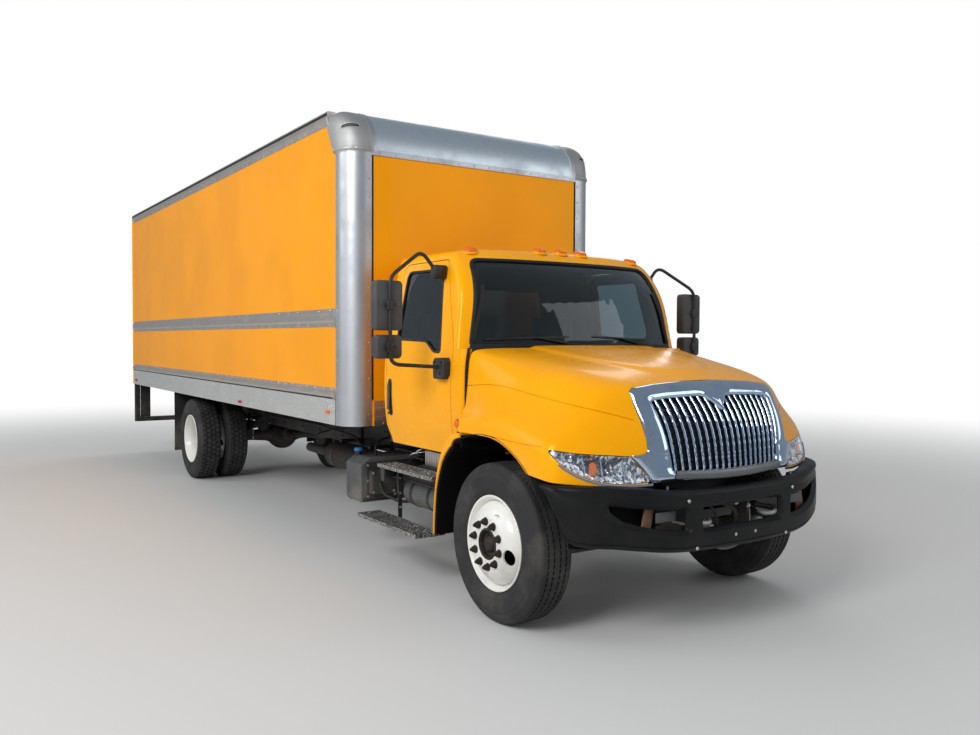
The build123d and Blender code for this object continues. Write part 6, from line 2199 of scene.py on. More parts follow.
piece("treads", bothSides(joined([treadPlate("upper", False), treadPlate("lower", True)])), treadAluminium,
      nodes=["cab_steps"])
stepSheets = [perforated((0.975, 0.93, 0.625), (0, 1, 0), (0, 0, 1), (0.62, 0.128), 0.032, 0.009),
              perforated((0.60, 0.93, 0.780), (1, 0, 0), (0, 1, 0), (0.365, 0.62), 0.045, 0.010)]
stepStrapsAndShadeSheets = [softBox((0.985, 1.135), (1.640, 1.648), (0.700, 0.792), 0.003, 1),
              softBox((0.94, 0.976), (1.62, 1.66), (0.56, 0.80), 0.004, 2),
              softBox((1.135, 1.150), (1.545, 1.60), (0.69, 0.792), 0.003, 1)]
# A black sheet just under each tread, so that its holes show dark: painted shade
for xs, stations, z in (steps["upper"], steps["lower"]):
    stepStrapsAndShadeSheets.append(bar((xs[0] + 0.008, xs[1] - 0.008), (stations[0] + 0.008, stations[1] - 0.008),
                          (z - 0.019, z - 0.016)))
stepHolders = [stepBracket(station) for station in steps["brackets"]]
piece("stepBrackets", bothSides(joined(stepSheets + stepStrapsAndShadeSheets + stepHolders)), chassisShadeBlack)
spots = []
for station in steps["brackets"]:
    for x, z in ((0.60, 0.86), (0.80, 0.83), (0.9975, 0.70), (0.9975, 0.58), (0.9975, 0.47)):
        spots += [(at(x, station, z), (0, -1, 0)), (at(-x, station, z), (0, -1, 0))]
piece("stepBolts", bolts(spots, 0.008, 0.006), boltSteel)


# A tank lying along the truck: domed ends with a seam near each
def lyingTank(x, z, radius, stations, dome=0.04, seam=0.0015, segments=64):
    length = stations[1] - stations[0]
    half = [(0, 0), (dome * 0.08, radius * 0.45), (dome * 0.35, radius * 0.80), (dome * 0.8, radius * 0.965),
            (dome * 1.15, radius - seam), (dome * 1.4, radius - seam), (dome * 1.4, radius),
            (dome * 1.4 + 0.012, radius), (dome * 1.4 + 0.012, radius - seam)]
    profile = half + [(length - along, size) for along, size in reversed(half)]
    return turned(profile, at(x, stations[0], z), (0, 1, 0), segments, False)


# A flat strap round a lying tank
def tankStrap(x, z, radius, station, width, thickness=0.003, start=0, end=360):
    inner, outer = radius + 0.0005, radius + thickness
    rows = []
    for (u, v), (cu, cv) in zip(arc((x, z), inner, start, end, 60), arc((x, z), outer, start, end, 60)):
        rows.append([at(u, station, v), at(cu, station, cv), at(cu, station + width, cv), at(u, station + width, v)])
    return rowsMesh(rows, True, end - start < 360)


tank = {"x": 0.771, "z": 0.700, "radius": 0.295, "stations": (2.082, 2.998), "straps": (2.250, 2.770), "strap": 0.060}
fuelTank = [lyingTank(tank["x"], tank["z"], tank["radius"], tank["stations"], 0.035, 0.002),
            turned([(0, 0.052), (0.012, 0.052), (0.016, 0.046), (0.016, 0)],
                   at(tank["x"] + 0.15, 2.62, tank["z"] + 0.250), (0.5, 0, 0.86), 32, False)]
piece("fuelTank", joined(fuelTank), tankAluminium, nodes=["fuel_tank"])
tankCap = turned([(0.014, 0), (0.014, 0.047), (0.040, 0.047), (0.046, 0.040), (0.046, 0)],
                 at(tank["x"] + 0.142, 2.62, 0.938), (0.5, 0, 0.86), 32, False)
straps = [tankStrap(tank["x"], tank["z"], tank["radius"], station, tank["strap"], 0.004)
          for station in tank["straps"]]
holders = []
for station in tank["straps"]:
    holders.append(softBox((0.432, 0.49), (station - 0.01, station + 0.07), (0.50, 0.93), 0.006, 2))
    holders.append(softBox((0.44, 0.60), (station, station + 0.06), (0.42, 0.437), 0.004, 2))
    holders.append(pipe([(0.47, station + 0.03, 0.90), (0.60, station + 0.03, 0.962)], 0.008, sides=8))
piece("tankStraps", joined(straps + [tankCap]), boltSteel)
piece("tankHolders", joined(holders), chassisShadeBlack)
tankStep = [softBox((1.066, 1.160), (2.36, 2.74), (0.560, 0.574), 0.003, 1),
            *[prism([(0.99, 0.50), (1.06, 0.56), (1.066, 0.574), (0.99, 0.53)], "y", *ends)
              for ends in ((2.40, 2.41), (2.69, 2.70))]]
spots = [(at(1.08 + 0.03 * i, 2.39 + 0.04 * j, 0.574), (0, 0, 1)) for i in range(3) for j in range(9)]
piece("tankStep", joined(tankStep + [domes(spots, 0.006, 0.003, 6, 2)]), treadAluminium)

# Fluid tank on the right, with its cap, filler neck, pump plate and hoses
fluidOutline = [(-0.435, 0.422), (-1.066, 0.422), (-1.080, 0.450), (-1.080, 0.743), (-0.998, 0.798), (-0.435, 0.798)]
fluidBody = bevelled(prism(rounded(fluidOutline, 0.018, 4), "y", 2.112, 2.408), 0.012, 3, 60)
ribs = [softBox((-1.0815, -1.072), (s, s + 0.012), (0.47, 0.71), 0.004, 2) for s in (2.17, 2.34)]
piece("fluidTank", joined([fluidBody] + ribs), tankGrey, nodes=["fluid_tank"])
neck = turned([(-0.01, 0.032), (0.035, 0.032), (0.035, 0.024), (-0.01, 0.024)], at(-0.985, 2.355, 0.800),
              (0, 0, 1), 28)
piece("fluidCap", turned([(0.030, 0), (0.030, 0.036), (0.034, 0.039), (0.056, 0.037), (0.060, 0.030), (0.060, 0)],
                         at(-0.985, 2.355, 0.800), (0, 0, 1), 28, False), capBlue)
fluidGear = [neck, softBox((-1.05, -0.62), (2.070, 2.104), (0.455, 0.765), 0.012, 3),
             softBox((-1.03, -0.80), (2.010, 2.072), (0.50, 0.70), 0.018, 3),
             turned([(0, 0), (0, 0.052), (0.06, 0.052), (0.07, 0.040), (0.07, 0)], at(-0.80, 2.0, 0.60), (0, 1, 0),
                    28, False),
             softBox((-1.07, -0.50), (2.098, 2.112), (0.430, 0.455), 0.004, 2),
             softBox((-0.60, -0.42), (2.10, 2.42), (0.80, 0.83), 0.006, 2)]
for s in (2.15, 2.35):
    fluidGear.append(softBox((-1.068, -0.44), (s - 0.012, s + 0.012), (0.4205, 0.4245), 0.001, 1))
piece("fluidGear", joined(fluidGear), chassisShadeBlack)
spots = [(at(x, 2.070, z), (0, -1, 0)) for x in (-1.032, -0.78, -0.64) for z in (0.48, 0.61, 0.74)]
spots += [(at(x, 2.010, z), (0, -1, 0)) for x in (-1.01, -0.82) for z in (0.52, 0.68)]
piece("fluidBolts", bolts(spots, 0.009, 0.008), boltSteel)
sideHoses = [
    ([(-0.90, 2.01, 0.66), (-0.92, 1.86, 0.70), (-0.90, 1.70, 0.62), (-0.80, 1.60, 0.55), (-0.60, 1.55, 0.62)],
     0.011),
    ([(-0.95, 2.01, 0.60), (-0.98, 1.90, 0.52), (-0.90, 1.74, 0.47), (-0.70, 1.66, 0.48), (-0.48, 1.60, 0.70)],
     0.012),
    ([(-0.80, 2.0, 0.60), (-0.82, 1.88, 0.62), (-0.74, 1.78, 0.76), (-0.60, 1.72, 0.84), (-0.46, 1.60, 0.86)], 0.014),
    ([(-0.96, 1.55, 0.66), (-0.98, 1.66, 0.66), (-0.93, 1.74, 0.70), (-0.80, 1.80, 0.78), (-0.50, 1.84, 0.88)],
     0.009),
    ([(-0.90, 2.20, 0.80), (-0.90, 2.20, 0.90), (-0.80, 2.20, 0.95), (-0.45, 2.20, 0.94)], 0.010),
    ([(-0.55, 2.44, 0.66), (-0.60, 2.70, 0.60), (-0.58, 3.30, 0.84), (-0.50, 4.4, 0.86), (-0.50, 5.9, 0.84)], 0.012),
]


def hoses(lines, bend):
    return joined([tube([at(*p) for p in line], size, bend, 10, 4) for line, size in lines])


piece("sideHoses", hoses(sideHoses, 0.06), sealBlack)
looped = [
    ([(-0.66, 1.32, 0.93), (-0.86, 1.34, 0.96), (-0.93, 1.42, 0.93), (-0.90, 1.50, 0.86), (-0.80, 1.56, 0.84)],
     0.0085),
    ([(-0.66, 1.36, 0.90), (-0.88, 1.36, 0.925), (-0.955, 1.47, 0.90), (-0.92, 1.56, 0.845), (-0.72, 1.60, 0.83)],
     0.0075),
]
piece("paleHoses", hoses(looped, 0.08), tankAluminium)

# Ribbed silver box behind the upper step
silver = [softBox((-0.960, -0.60), (0.800, 1.235), (0.838, 0.966), 0.008, 3)]
ribs = {"count": 11, "first": 0.825, "pitch": 0.038}
for k in range(ribs["count"]):
    s = ribs["first"] + k * ribs["pitch"]
    silver.append(softBox((-0.9655, -0.955), (s, s + 0.018), (0.852, 0.955), 0.003, 2))
piece("silverBox", joined(silver), railAluminium)
piece("silverTop", joined([softBox((-0.99, -0.58), (0.790, 1.245), (0.962, 0.968), 0.002, 1),
                           softBox((-0.976, -0.972), (0.80, 1.24), (0.822, 0.842), 0.001, 1)]), chassisShadeBlack)

# Air tank on the right, battery box on the left
air = {"x": -0.900, "z": 0.600, "radius": 0.108}
piece("airTank", joined([lyingTank(air["x"], air["z"], air["radius"], (0.942, 1.528), 0.04, 0.0012, 48),
                         turned([(0, 0), (0, 0.018), (0.016, 0.018), (0.020, 0.012), (0.020, 0)],
                                at(air["x"], 1.524, air["z"] + 0.04), (0, 1, 0), 16, False)]), tankGrey,
      nodes=["air_tanks"])
airGear = [tankStrap(air["x"], air["z"], air["radius"], s, 0.035, 0.003) for s in (1.10, 1.36)]
airGear += [softBox((-0.92, -0.44), (s, s + 0.03), (0.70, 0.79), 0.005, 2) for s in (1.105, 1.365)]
airGear += [pipe([(air["x"] + 0.03, 1.52, 0.56), (air["x"] + 0.03, 1.575, 0.55), (-0.75, 1.60, 0.52)],
                 0.008, 0.03, 8)]
piece("airTankGear", joined(airGear), chassisShadeBlack)

battery = {
    # across, stations, heights, edge radius and steps
    "body": ((0.455, 0.925), (0.968, 1.532), (0.500, 0.745), 0.012, 3),
    "lid": ((0.445, 0.938), (0.962, 1.538), (0.735, 0.789), 0.014, 3),
    "tray": ((0.432, 0.940), (0.960, 1.540), (0.472, 0.502), 0.006, 2),
    "ribs": 9, "ribPitch": 0.06, "latches": (1.08, 1.39),
}
batteryMeshes = [softBox(*battery[name]) for name in ("body", "lid", "tray")]
for k in range(battery["ribs"]):
    start = battery["ribPitch"] * k
    batteryMeshes.append(softBox((0.922, 0.932), (0.99 + start, 1.015 + start), (0.52, 0.71), 0.004, 2))
piece("batteryBox", joined(batteryMeshes), tankGrey, nodes=["battery_box"])
latches = [softBox((0.930, 0.9395), (s, s + 0.03), (0.665, 0.770), 0.003, 2) for s in battery["latches"]]
piece("batteryLatches", joined(latches), boltSteel)

# Muffler with its end bands, the pipe and hangers
muffler = {"x": -0.640, "z": 0.640, "stations": (2.652, 3.648), "radius": 0.128, "pipe": 0.049, "pipeWall": 0.045}
exhaustPieces = [lyingTank(muffler["x"], muffler["z"], muffler["radius"], muffler["stations"], 0.02, 0.002, 56),
                 turned([(0, muffler["pipe"]), (0.65, muffler["pipe"]), (0.65, muffler["pipeWall"]),
                         (0, muffler["pipeWall"])], at(muffler["x"], 3.647, muffler["z"]), (0, 1, 0), 36)]
piece("exhaustPipes", joined(exhaustPieces), exhaustSteelShaded, nodes=["exhaust"])
hangers = []
for s in (2.80, 3.45):
    hangers.append(tankStrap(muffler["x"], muffler["z"], muffler["radius"], s, 0.045, 0.0018))
    hangers.append(softBox((-0.66, -0.436), (s, s + 0.045), (0.767, 0.80), 0.005, 2))
    hangers.append(softBox((-0.45, -0.432), (s - 0.01, s + 0.055), (0.75, 0.90), 0.004, 2))
hangers.append(pipe([(-0.64, 4.10, 0.69), (-0.64, 4.10, 0.80), (-0.44, 4.10, 0.84)], 0.009, 0.04, 8))
hangers.append(tankStrap(muffler["x"], muffler["z"], muffler["pipe"], 4.085, 0.03, 0.003))
piece("exhaustHangers", joined(hangers), chassisShadeBlack)
print("side gear done")

# Rails, crossmembers and horns with their bolts
frameGear = {"half": 0.431, "flange": 0.080, "wall": 0.009, "low": 0.720, "top": 0.977, "hornTop": 0.900,
             "front": -0.960, "horn": -0.600, "rear": 9.780}


def channelMesh(front, rear, top):
    half, flange, wall, low = (frameGear[key] for key in ("half", "flange", "wall", "low"))
    outline = rounded([(half, low), (half, top), (half - flange, top), (half - flange, top - wall),
                       (half - wall, top - wall), (half - wall, low + wall), (half - flange, low + wall),
                       (half - flange, low)],
                      (0.012, 0.012, 0.002, 0.002, 0.006, 0.006, 0.002, 0.002), 3)
    return prism(outline, "y", front, rear)


def crossMember(station):
    outer = frameGear["half"] - frameGear["wall"] - 0.001
    plate = prism(rounded([(-outer, 0.735), (outer, 0.735), (outer, 0.947), (-outer, 0.947)], 0.02, 3), "y", station,
                  station + 0.009)
    holes = [turned([(-0.05, 0), (-0.05, 0.045), (0.05, 0.045), (0.05, 0)], at(x, station, 0.841), (0, 1, 0), 20)
             for x in (-0.19, 0.0, 0.19)]
    edges = [softBox((-outer, outer), (station, station + 0.045), z, 0.002, 1)
             for z in ((0.735, 0.742), (0.940, 0.947))]
    return joined([cut(plate, holes)] + edges)


frameMeshes = [bothSides(channelMesh(frameGear["horn"], frameGear["rear"], frameGear["top"])),
               bothSides(channelMesh(frameGear["front"], frameGear["horn"] + 0.01, frameGear["hornTop"]))]
frameMeshes += [crossMember(s) for s in (1.25, 2.90, 4.50, 6.10, 7.70, 9.30)]
frameMeshes.append(softBox((-0.42, 0.42), (-0.80, -0.75), (0.742, 0.868), 0.006, 2))
for s in (0.756, 1.60):
    frameMeshes.append(bothSides(softBox((0.352, 0.430), (s - 0.045, s + 0.045), (0.976, 0.984), 0.002, 1)))
piece("frameRails", joined(frameMeshes), chassisShadeBlack, nodes=["frame_rails"])
spots = []
stations = [-0.5, 0.75, 1.0, 1.25, 1.45, 1.9, 2.3, 2.6, 2.9, 3.4, 3.9, 4.5, 5.0, 5.6, 6.1, 6.35, 6.9, 7.4, 7.7, 8.3,
            8.8, 9.3, 9.6]
for s in stations:
    for z in (0.785, 0.848, 0.912):
        spots += [(at(0.431, s, z), (1, 0, 0)), (at(-0.431, s, z), (-1, 0, 0))]
        spots += [(at(0.431, s + 0.05, z), (1, 0, 0)), (at(-0.431, s + 0.05, z), (-1, 0, 0))]
piece("frameBolts", bolts(spots, 0.009, 0.009), chassisShadeBlack)


# A pack of leaves between an eye at each end, as arches of one thickness
def leafPack(x, stations, endZ, middleZ, wall, leaves, wide):
    centre, half = (stations[0] + stations[1]) / 2, (stations[1] - stations[0]) / 2
    meshes = []
    for leaf in range(leaves):
        share = 1 - leaf * (0.72 / leaves)
        drop = leaf * wall / leaves
        lower, upper = [], []
        for k in range(25):
            t = (2 * k / 24 - 1) * share
            z = middleZ + wall - drop + (endZ - middleZ) * t * t
            upper.append((centre + t * half, z))
            lower.append((centre + t * half, z - wall / leaves + 0.0012))
        meshes.append(prism(upper + lower[::-1], "x", x - wide / 2, x + wide / 2))
    for station in stations:
        meshes.append(turned([(-wide / 2, 0.014), (-wide / 2, 0.030), (wide / 2, 0.030), (wide / 2, 0.014)],
                             at(x, station, endZ + wall - 0.012), (1, 0, 0), 24))
    for t in (-0.55, 0.55):
        z = middleZ + (endZ - middleZ) * t * t
        meshes.append(softBox((x - wide / 2 - 0.005, x + wide / 2 + 0.005),
                              (centre + t * half - 0.016, centre + t * half + 0.016), (z - 0.002, z + wall + 0.004),
                              0.003, 1))
    return joined(meshes)


def uBolt(x, wide, station, low, top):
    return pipe([(x - wide / 2, station, low), (x - wide / 2, station, top), (x + wide / 2, station, top),
                 (x + wide / 2, station, low)], 0.009, 0.02, 8, 4)


springPieces = [leafPack(0.431, (-0.610, 0.670), 0.664, boxOf("springs")[0].z, 0.040, 3, 0.076),
                leafPack(0.471, (6.235, 7.531), 0.742, 0.606, 0.085, 8, 0.076)]
for s in (-0.61, 0.67):
    springPieces.append(softBox((0.389, 0.473), (s - 0.05, s + 0.05), (0.690, 0.724), 0.010, 2))
for s in (6.235, 7.531):
    springPieces.append(prism(rounded([(s - 0.07, 0.90), (s + 0.07, 0.90), (s + 0.045, 0.77), (s - 0.045, 0.77)],
                                      0.02, 4), "x", 0.433, 0.509))
springPieces.append(pipe([(0.500, 0.10, 0.56), (0.500, 0.16, 0.92)], 0.030, sides=20))
springPieces.append(pipe([(0.500, 0.09, 0.50), (0.500, 0.10, 0.58)], 0.038, sides=20))
piece("leafSprings", bothSides(joined(springPieces)), chassisShadeBlack, nodes=["springs"])
bows = [uBolt(0.431, 0.094, s, 0.47, 0.585) for s in (-0.05, 0.05)]
bows += [uBolt(0.471, 0.094, 6.883 + s, 0.46, 0.745) for s in (-0.06, 0.06)]
piece("springBows", bothSides(joined(bows)), boltSteel)
print("frame done")


# Rear axle between the twins, its shaft, drums and air brakes
axle = {"z": 0.510, "spring": 0.606}
banjo = turned([(-0.150, 0), (-0.150, 0.085), (-0.140, 0.125), (-0.110, 0.165), (-0.060, 0.195), (0.0, 0.203),
                (0.070, 0.195), (0.120, 0.160), (0.147, 0.090), (0.150, 0)], at(0, wheelbase, axle["z"]), (0, 1, 0),
               56, False)
tubeProfile = [(-0.78, 0), (-0.78, 0.055), (-0.66, 0.060), (-0.40, 0.070), (-0.24, 0.085), (-0.12, 0.125),
               (0.12, 0.125), (0.24, 0.085), (0.40, 0.070), (0.66, 0.060), (0.78, 0.055), (0.78, 0)]
axleTube = turned(tubeProfile, at(0, wheelbase, axle["z"]), (1, 0, 0), 40, False)
pinion = turned([(0, 0), (0, 0.060), (0.020, 0.090), (0.035, 0.093), (0.050, 0.085), (0.120, 0.098), (0.17, 0.14),
                 (0.17, 0)],
                at(0, wheelbase - 0.300, axle["z"] + 0.02), (0, 1, -0.06), 36, False)
pads = [softBox((0.433, 0.510), (wheelbase - 0.09, wheelbase + 0.09), (0.50, axle["spring"] - 0.002), 0.010, 2),
        softBox((0.425, 0.518), (wheelbase - 0.085, wheelbase + 0.085),
                (axle["spring"] + 0.086, axle["spring"] + 0.106), 0.005, 2)]
pads.append(turned([(-0.004, 0.06), (-0.004, 0.196), (0.012, 0.205), (0.012, 0.06)], at(0.560, wheelbase, axle["z"]),
                   (1, 0, 0), 48))
piece("rearAxle", joined([banjo, axleTube, pinion, bothSides(joined(pads))]), engineIron, nodes=["rear_axle"])
chamber = turned([(0, 0), (0, 0.055), (0.015, 0.073), (0.060, 0.078), (0.066, 0.084), (0.076, 0.084), (0.082, 0.078),
                  (0.13, 0.073), (0.15, 0.060), (0.155, 0)], at(0.34, wheelbase - 0.20, 0.66), (0.25, -1, 0.15),
                 32, False)
push = pipe([(0.34, wheelbase - 0.20, 0.66), (0.33, wheelbase - 0.05, 0.63)], 0.012, sides=8)
shockRear = [pipe([(0.385, wheelbase + 0.20, 0.50), (0.36, wheelbase + 0.26, 0.72)], 0.032, sides=20),
             pipe([(0.36, wheelbase + 0.26, 0.72), (0.35, wheelbase + 0.28, 0.90)], 0.024, sides=16)]
piece("rearBrakes", bothSides(joined([chamber, push] + shockRear)), chassisShadeBlack)
ringSpots = []
for k in range(14):
    turn = 2 * math.pi * k / 14
    ringSpots.append((at(0.165 * math.sin(turn), wheelbase + 0.115, axle["z"] + 0.165 * math.cos(turn)), (0, 1, 0)))
piece("axleBolts", bolts(ringSpots, 0.009, 0.008), engineIron)

# Driveshaft in two lengths with joints
shaftEnds = [((0, 1.150, 0.780), (0, 3.900, 0.770)), ((0, 3.900, 0.770), (0, wheelbase - 0.300, axle["z"] + 0.02))]
shaftMeshes = []
for first, last in shaftEnds:
    first, last = Vector(first), Vector(last)
    way = (last - first).normalized()
    length = (last - first).length
    profile = [(0.0, 0), (0.0, 0.052), (0.03, 0.052), (0.04, 0.030), (0.09, 0.030), (0.11, 0.0475),
               (length - 0.11, 0.0475), (length - 0.09, 0.030), (length - 0.04, 0.030), (length - 0.03, 0.052),
               (length - 0.005, 0.052), (length - 0.005, 0)]
    shaftMeshes.append(turned(profile, at(*first), way, 32, False))
shaftMeshes.append(softBox((-0.075, 0.075), (3.80, 3.86), (0.705, 0.835), 0.02, 3))
shaftMeshes.append(softBox((-0.42, 0.42), (3.80, 3.86), (0.835, 0.850), 0.003, 1))
piece("driveShaft", joined(shaftMeshes), chassisShadeBlack, nodes=["driveshaft"])
airLines = []
for x, z, size in ((0.30, 0.86, 0.008), (0.27, 0.84, 0.008), (-0.30, 0.86, 0.008), (-0.26, 0.83, 0.011),
                   (0.33, 0.80, 0.006)):
    line = [(x, 1.3, z), (x, 2.88, z)]
    for k in range(9):
        line.append((x + 0.02 * math.sin(2.1 * k + x * 9), 3.1 + 0.40 * k, z + 0.012 * math.cos(1.7 * k)))
    airLines.append(tube([at(*p) for p in line], size, 0.12, 8, 3))
for sign in (-1, 1):
    airLines.append(pipe([(sign * 0.28, wheelbase - 0.45, 0.86), (sign * 0.31, wheelbase - 0.40, 0.72),
                          (sign * 0.34, wheelbase - 0.32, 0.70)],
                         0.010, 0.06, 8, 3))
    airLines.append(pipe([(sign * 0.30, -0.40, 0.80), (sign * 0.46, -0.25, 0.72), (sign * 0.56, -0.16, 0.66),
                          (sign * 0.62, -0.10, 0.60)], 0.010, 0.08, 8, 3))
piece("airLines", joined(airLines), sealBlack)
rearTank = lyingTank(0.18, 0.79, 0.105, (5.30, 6.00), 0.035, 0.0012, 40)
piece("rearAirTank", joined([rearTank] + [tankStrap(0.18, 0.79, 0.105, t, 0.03) for t in (5.42, 5.84)]), chassisShadeBlack)

# Mud flaps with their brackets and weights
flapLow = boxOf("mud_flaps")[0]
flapMeshes = []
for way in (1, -1):
    xs = np.linspace(0.642, 1.243, 16)
    rows = [[at(x, flapLow.y + 0.0035 + 0.003 * math.sin(7 * z + 5 * x), z) for x in xs]
            for z in np.linspace(0.282, 1.085, 22)]
    flapMeshes.append(moved(thickened(rowsMesh(rows), 0.005), Matrix.Diagonal((way, 1, 1, 1))))
piece("mudFlaps", joined(flapMeshes), flapBlack, nodes=["mud_flaps"])
flapGear = [softBox((0.640, 1.242), (flapLow.y + 0.0085, flapLow.y + 0.012), (1.03, 1.075), 0.001, 1),
            softBox((0.432, 1.20), (flapLow.y + 0.012, flapLow.y + 0.042), (1.045, 1.080), 0.004, 2)]
piece("flapBrackets", bothSides(joined(flapGear)), chassisShadeBlack)
piece("flapWeights", bothSides(softBox((0.650, 1.236), (flapLow.y - 0.0005, flapLow.y + 0.010), (0.362, 0.376), 0.001,
                                       1)), boltSteel)
spots = [(at(way * x, flapLow.y + 0.012, 1.052), (0, 1, 0))
         for x in (0.70, 0.82, 0.94, 1.06, 1.18) for way in (-1, 1)]
piece("flapBolts", bolts(spots, 0.008, 0.006), boltSteel)

# Rear guard: a bar with a tread on its top, posts, panels and braces
guardRear = boxOf("rear_guard")[1].y
guardBar = prism(rounded([(guardRear - 0.095, 0.492), (guardRear - 0.001, 0.492), (guardRear - 0.001, 0.558),
                          (guardRear - 0.095, 0.558)], 0.008, 4), "x",
                 -1.253, 1.253)
sidePost = prism(rounded([(1.202, guardRear - 0.064), (1.278, guardRear - 0.064), (1.278, guardRear - 0.001),
                          (1.202, guardRear - 0.001)], 0.008, 3), "z",
                 0.492, 1.083)
panel = softBox((1.052, 1.200), (guardRear - 0.064, guardRear - 0.056), (0.556, 1.083), 0.002, 1)
braceLine = [(guardRear - 0.395, 0.722), (guardRear - 0.340, 0.722), (guardRear - 0.060, 0.558),
             (guardRear - 0.095, 0.530), (guardRear - 0.095, 0.502)]
brace = bevelled(prism(braceLine, "x", 0.373, 0.429), 0.004, 2)
piece("rearGuard", joined([guardBar] + [bothSides(mesh) for mesh in (sidePost, panel, brace)]), chassisShadeBlack,
      nodes=["rear_guard"])
piece("guardTread", softBox((-1.18, 1.18), (guardRear - 0.090, guardRear - 0.006), (0.5585, 0.5600), 0.0005, 1),
      treadAluminium)
for name, finish, starts in (("guardReflectors", lensRed, (-1.24, -0.62, 0.36, 0.98)),
                             ("guardWhites", doorWhite, (-0.93, -0.30, 0.05, 0.67))):
    plates = [softBox((x, x + 0.26), (guardRear - 0.0015, guardRear - 0.0002), (0.505, 0.545), 0.0005, 1)
              for x in starts]
    piece(name, joined(plates), finish)
spots = [(at(way * x, guardRear - 0.0045, z), (0, 1, 0))
         for way in (-1, 1) for x, z in ((1.24, 0.60), (1.24, 0.90), (1.24, 1.04))]
piece("guardBolts", bolts(spots, 0.010, 0.008), boltSteel)
print("axle, flaps and guard done")

# Engine under the hood, gearbox, radiator and what joins them
engineMeshes = [
    softBox((-0.235, 0.235), (-0.36, 0.470), (0.70, 1.16), 0.020, 3),
    softBox((-0.250, 0.250), (-0.30, 0.440), (0.642, 0.74), 0.030, 3),
    softBox((-0.150, 0.150), (-0.32, 0.450), (1.15, 1.235), 0.018, 3),
    softBox((-0.115, 0.115), (-0.30, 0.430), (1.225, 1.325), 0.030, 4),
    softBox((-0.275, -0.225), (-0.28, 0.420), (0.98, 1.10), 0.020, 3),
    turned([(0, 0), (0, 0.235), (0.03, 0.245), (0.12, 0.240), (0.20, 0.170), (0.40, 0.150), (0.52, 0.155),
            (0.66, 0.135), (0.68, 0.06), (0.68, 0)], at(0, 0.468, 0.800), (0, 1, 0), 44, False),
    turned([(0, 0), (0, 0.080), (0.018, 0.085), (0.030, 0.080), (0.10, 0.078), (0.11, 0.06), (0.11, 0)],
           at(0.205, -0.40, 0.98), (0, 1, 0), 36, False),
    *[turned([(0, 0), (0, 0.055), (0.02, 0.060), (0.16, 0.058), (0.17, 0.03), (0.17, 0)], at(-0.21, s, 0.84),
             (0, 0, -1), 30, False) for s in (-0.25, -0.10)],
    turned([(0, 0), (0, 0.095), (0.012, 0.100), (0.045, 0.100), (0.055, 0.085), (0.055, 0)], at(0, -0.415, 0.80),
           (0, 1, 0), 40, False),
]
for k in range(6):
    engineMeshes.append(softBox((-0.232, -0.10), (-0.25 + 0.115 * k, -0.20 + 0.115 * k), (1.165, 1.215), 0.012, 2))
    engineMeshes.append(softBox((0.10, 0.262), (-0.25 + 0.115 * k, -0.19 + 0.115 * k), (1.165, 1.225), 0.014, 2))
piece("engine", joined(engineMeshes), engineIron, nodes=["engine_block"])
turbo = [turned([(0, 0), (0, 0.050), (0.02, 0.095), (0.07, 0.100), (0.10, 0.070), (0.14, 0.055), (0.18, 0.085),
                 (0.24, 0.090), (0.27, 0.050), (0.27, 0)], at(0.215, 0.02, 1.18), (0.1, 1, 0), 36, False),
         pipe([(0.24, 0.28, 1.18), (0.28, 0.42, 1.15), (0.28, 0.52, 0.95), (0.25, 0.56, 0.80)], 0.045, 0.08, 16)]
piece("turbo", joined(turbo), engineRust)
pipes = [pipe([(-0.18, -0.28, 1.24), (-0.20, -0.42, 1.26), (-0.26, -0.54, 1.22)], 0.040, 0.06, 16),
         pipe([(0.20, -0.02, 1.24), (0.16, -0.25, 1.29), (0.24, -0.46, 1.27), (0.28, -0.56, 1.24)], 0.038, 0.08, 16),
         pipe([(0.06, -0.38, 0.74), (0.10, -0.48, 0.70), (0.22, -0.56, 0.70)], 0.032, 0.05, 14),
         pipe([(0.215, 0.01, 1.18), (0.30, -0.12, 1.20), (0.46, -0.14, 1.22), (0.50, 0.05, 1.24), (0.50, 0.16, 1.24)],
              0.055, 0.10, 18)]
piece("engineHoses", joined(pipes), sealBlack)
airBox = [turned([(0, 0), (0, 0.120), (0.02, 0.138), (0.05, 0.142), (0.30, 0.138), (0.33, 0.120), (0.34, 0)],
                 at(0.50, 0.14, 1.26), (0, 1, 0), 44, False),
          softBox((-0.62, -0.40), (0.12, 0.42), (1.14, 1.36), 0.035, 4),
          softBox((-0.58, -0.44), (0.04, 0.13), (1.10, 1.26), 0.02, 3)]
piece("airCleaner", joined(airBox), trimBlack)
bottle = [softBox((0.46, 0.62), (-0.22, 0.02), (1.12, 1.30), 0.03, 4),
          turned([(0, 0), (0, 0.034), (0.03, 0.034), (0.035, 0)], at(0.54, -0.10, 1.298), (0, 0, 1), 20, False)]
piece("coolantBottle", joined(bottle), doorWhite)
core = softBox((-0.385, 0.385), (-0.632, -0.588), (0.992, 1.340), 0.002, 1)
frameParts = [softBox((-0.400, 0.400), (-0.640, -0.582), (1.335, 1.398), 0.016, 3),
              softBox((-0.330, 0.330), (-0.640, -0.582), (0.642, 0.990), 0.010, 2),
              *[softBox(xs, (-0.640, -0.582), (0.99, 1.38), 0.006, 2) for xs in ((-0.400, -0.375), (0.375, 0.400))]]
piece("radiatorFrame", joined(frameParts), chassisShadeBlack, nodes=["radiator"])
fins = [bar((-0.384, 0.384), (-0.6335, -0.586), (1.000 + 0.0085 * k, 1.0025 + 0.0085 * k)) for k in range(39)]
piece("radiatorCore", joined([core] + fins), engineIron)
shroud = turned([(0, 0.300), (0.005, 0.306), (0.10, 0.290), (0.13, 0.292), (0.13, 0.284), (0.10, 0.282),
                 (0.005, 0.296)],
                at(0, -0.580, 1.10), (0, 1, 0), 56)
blades = []
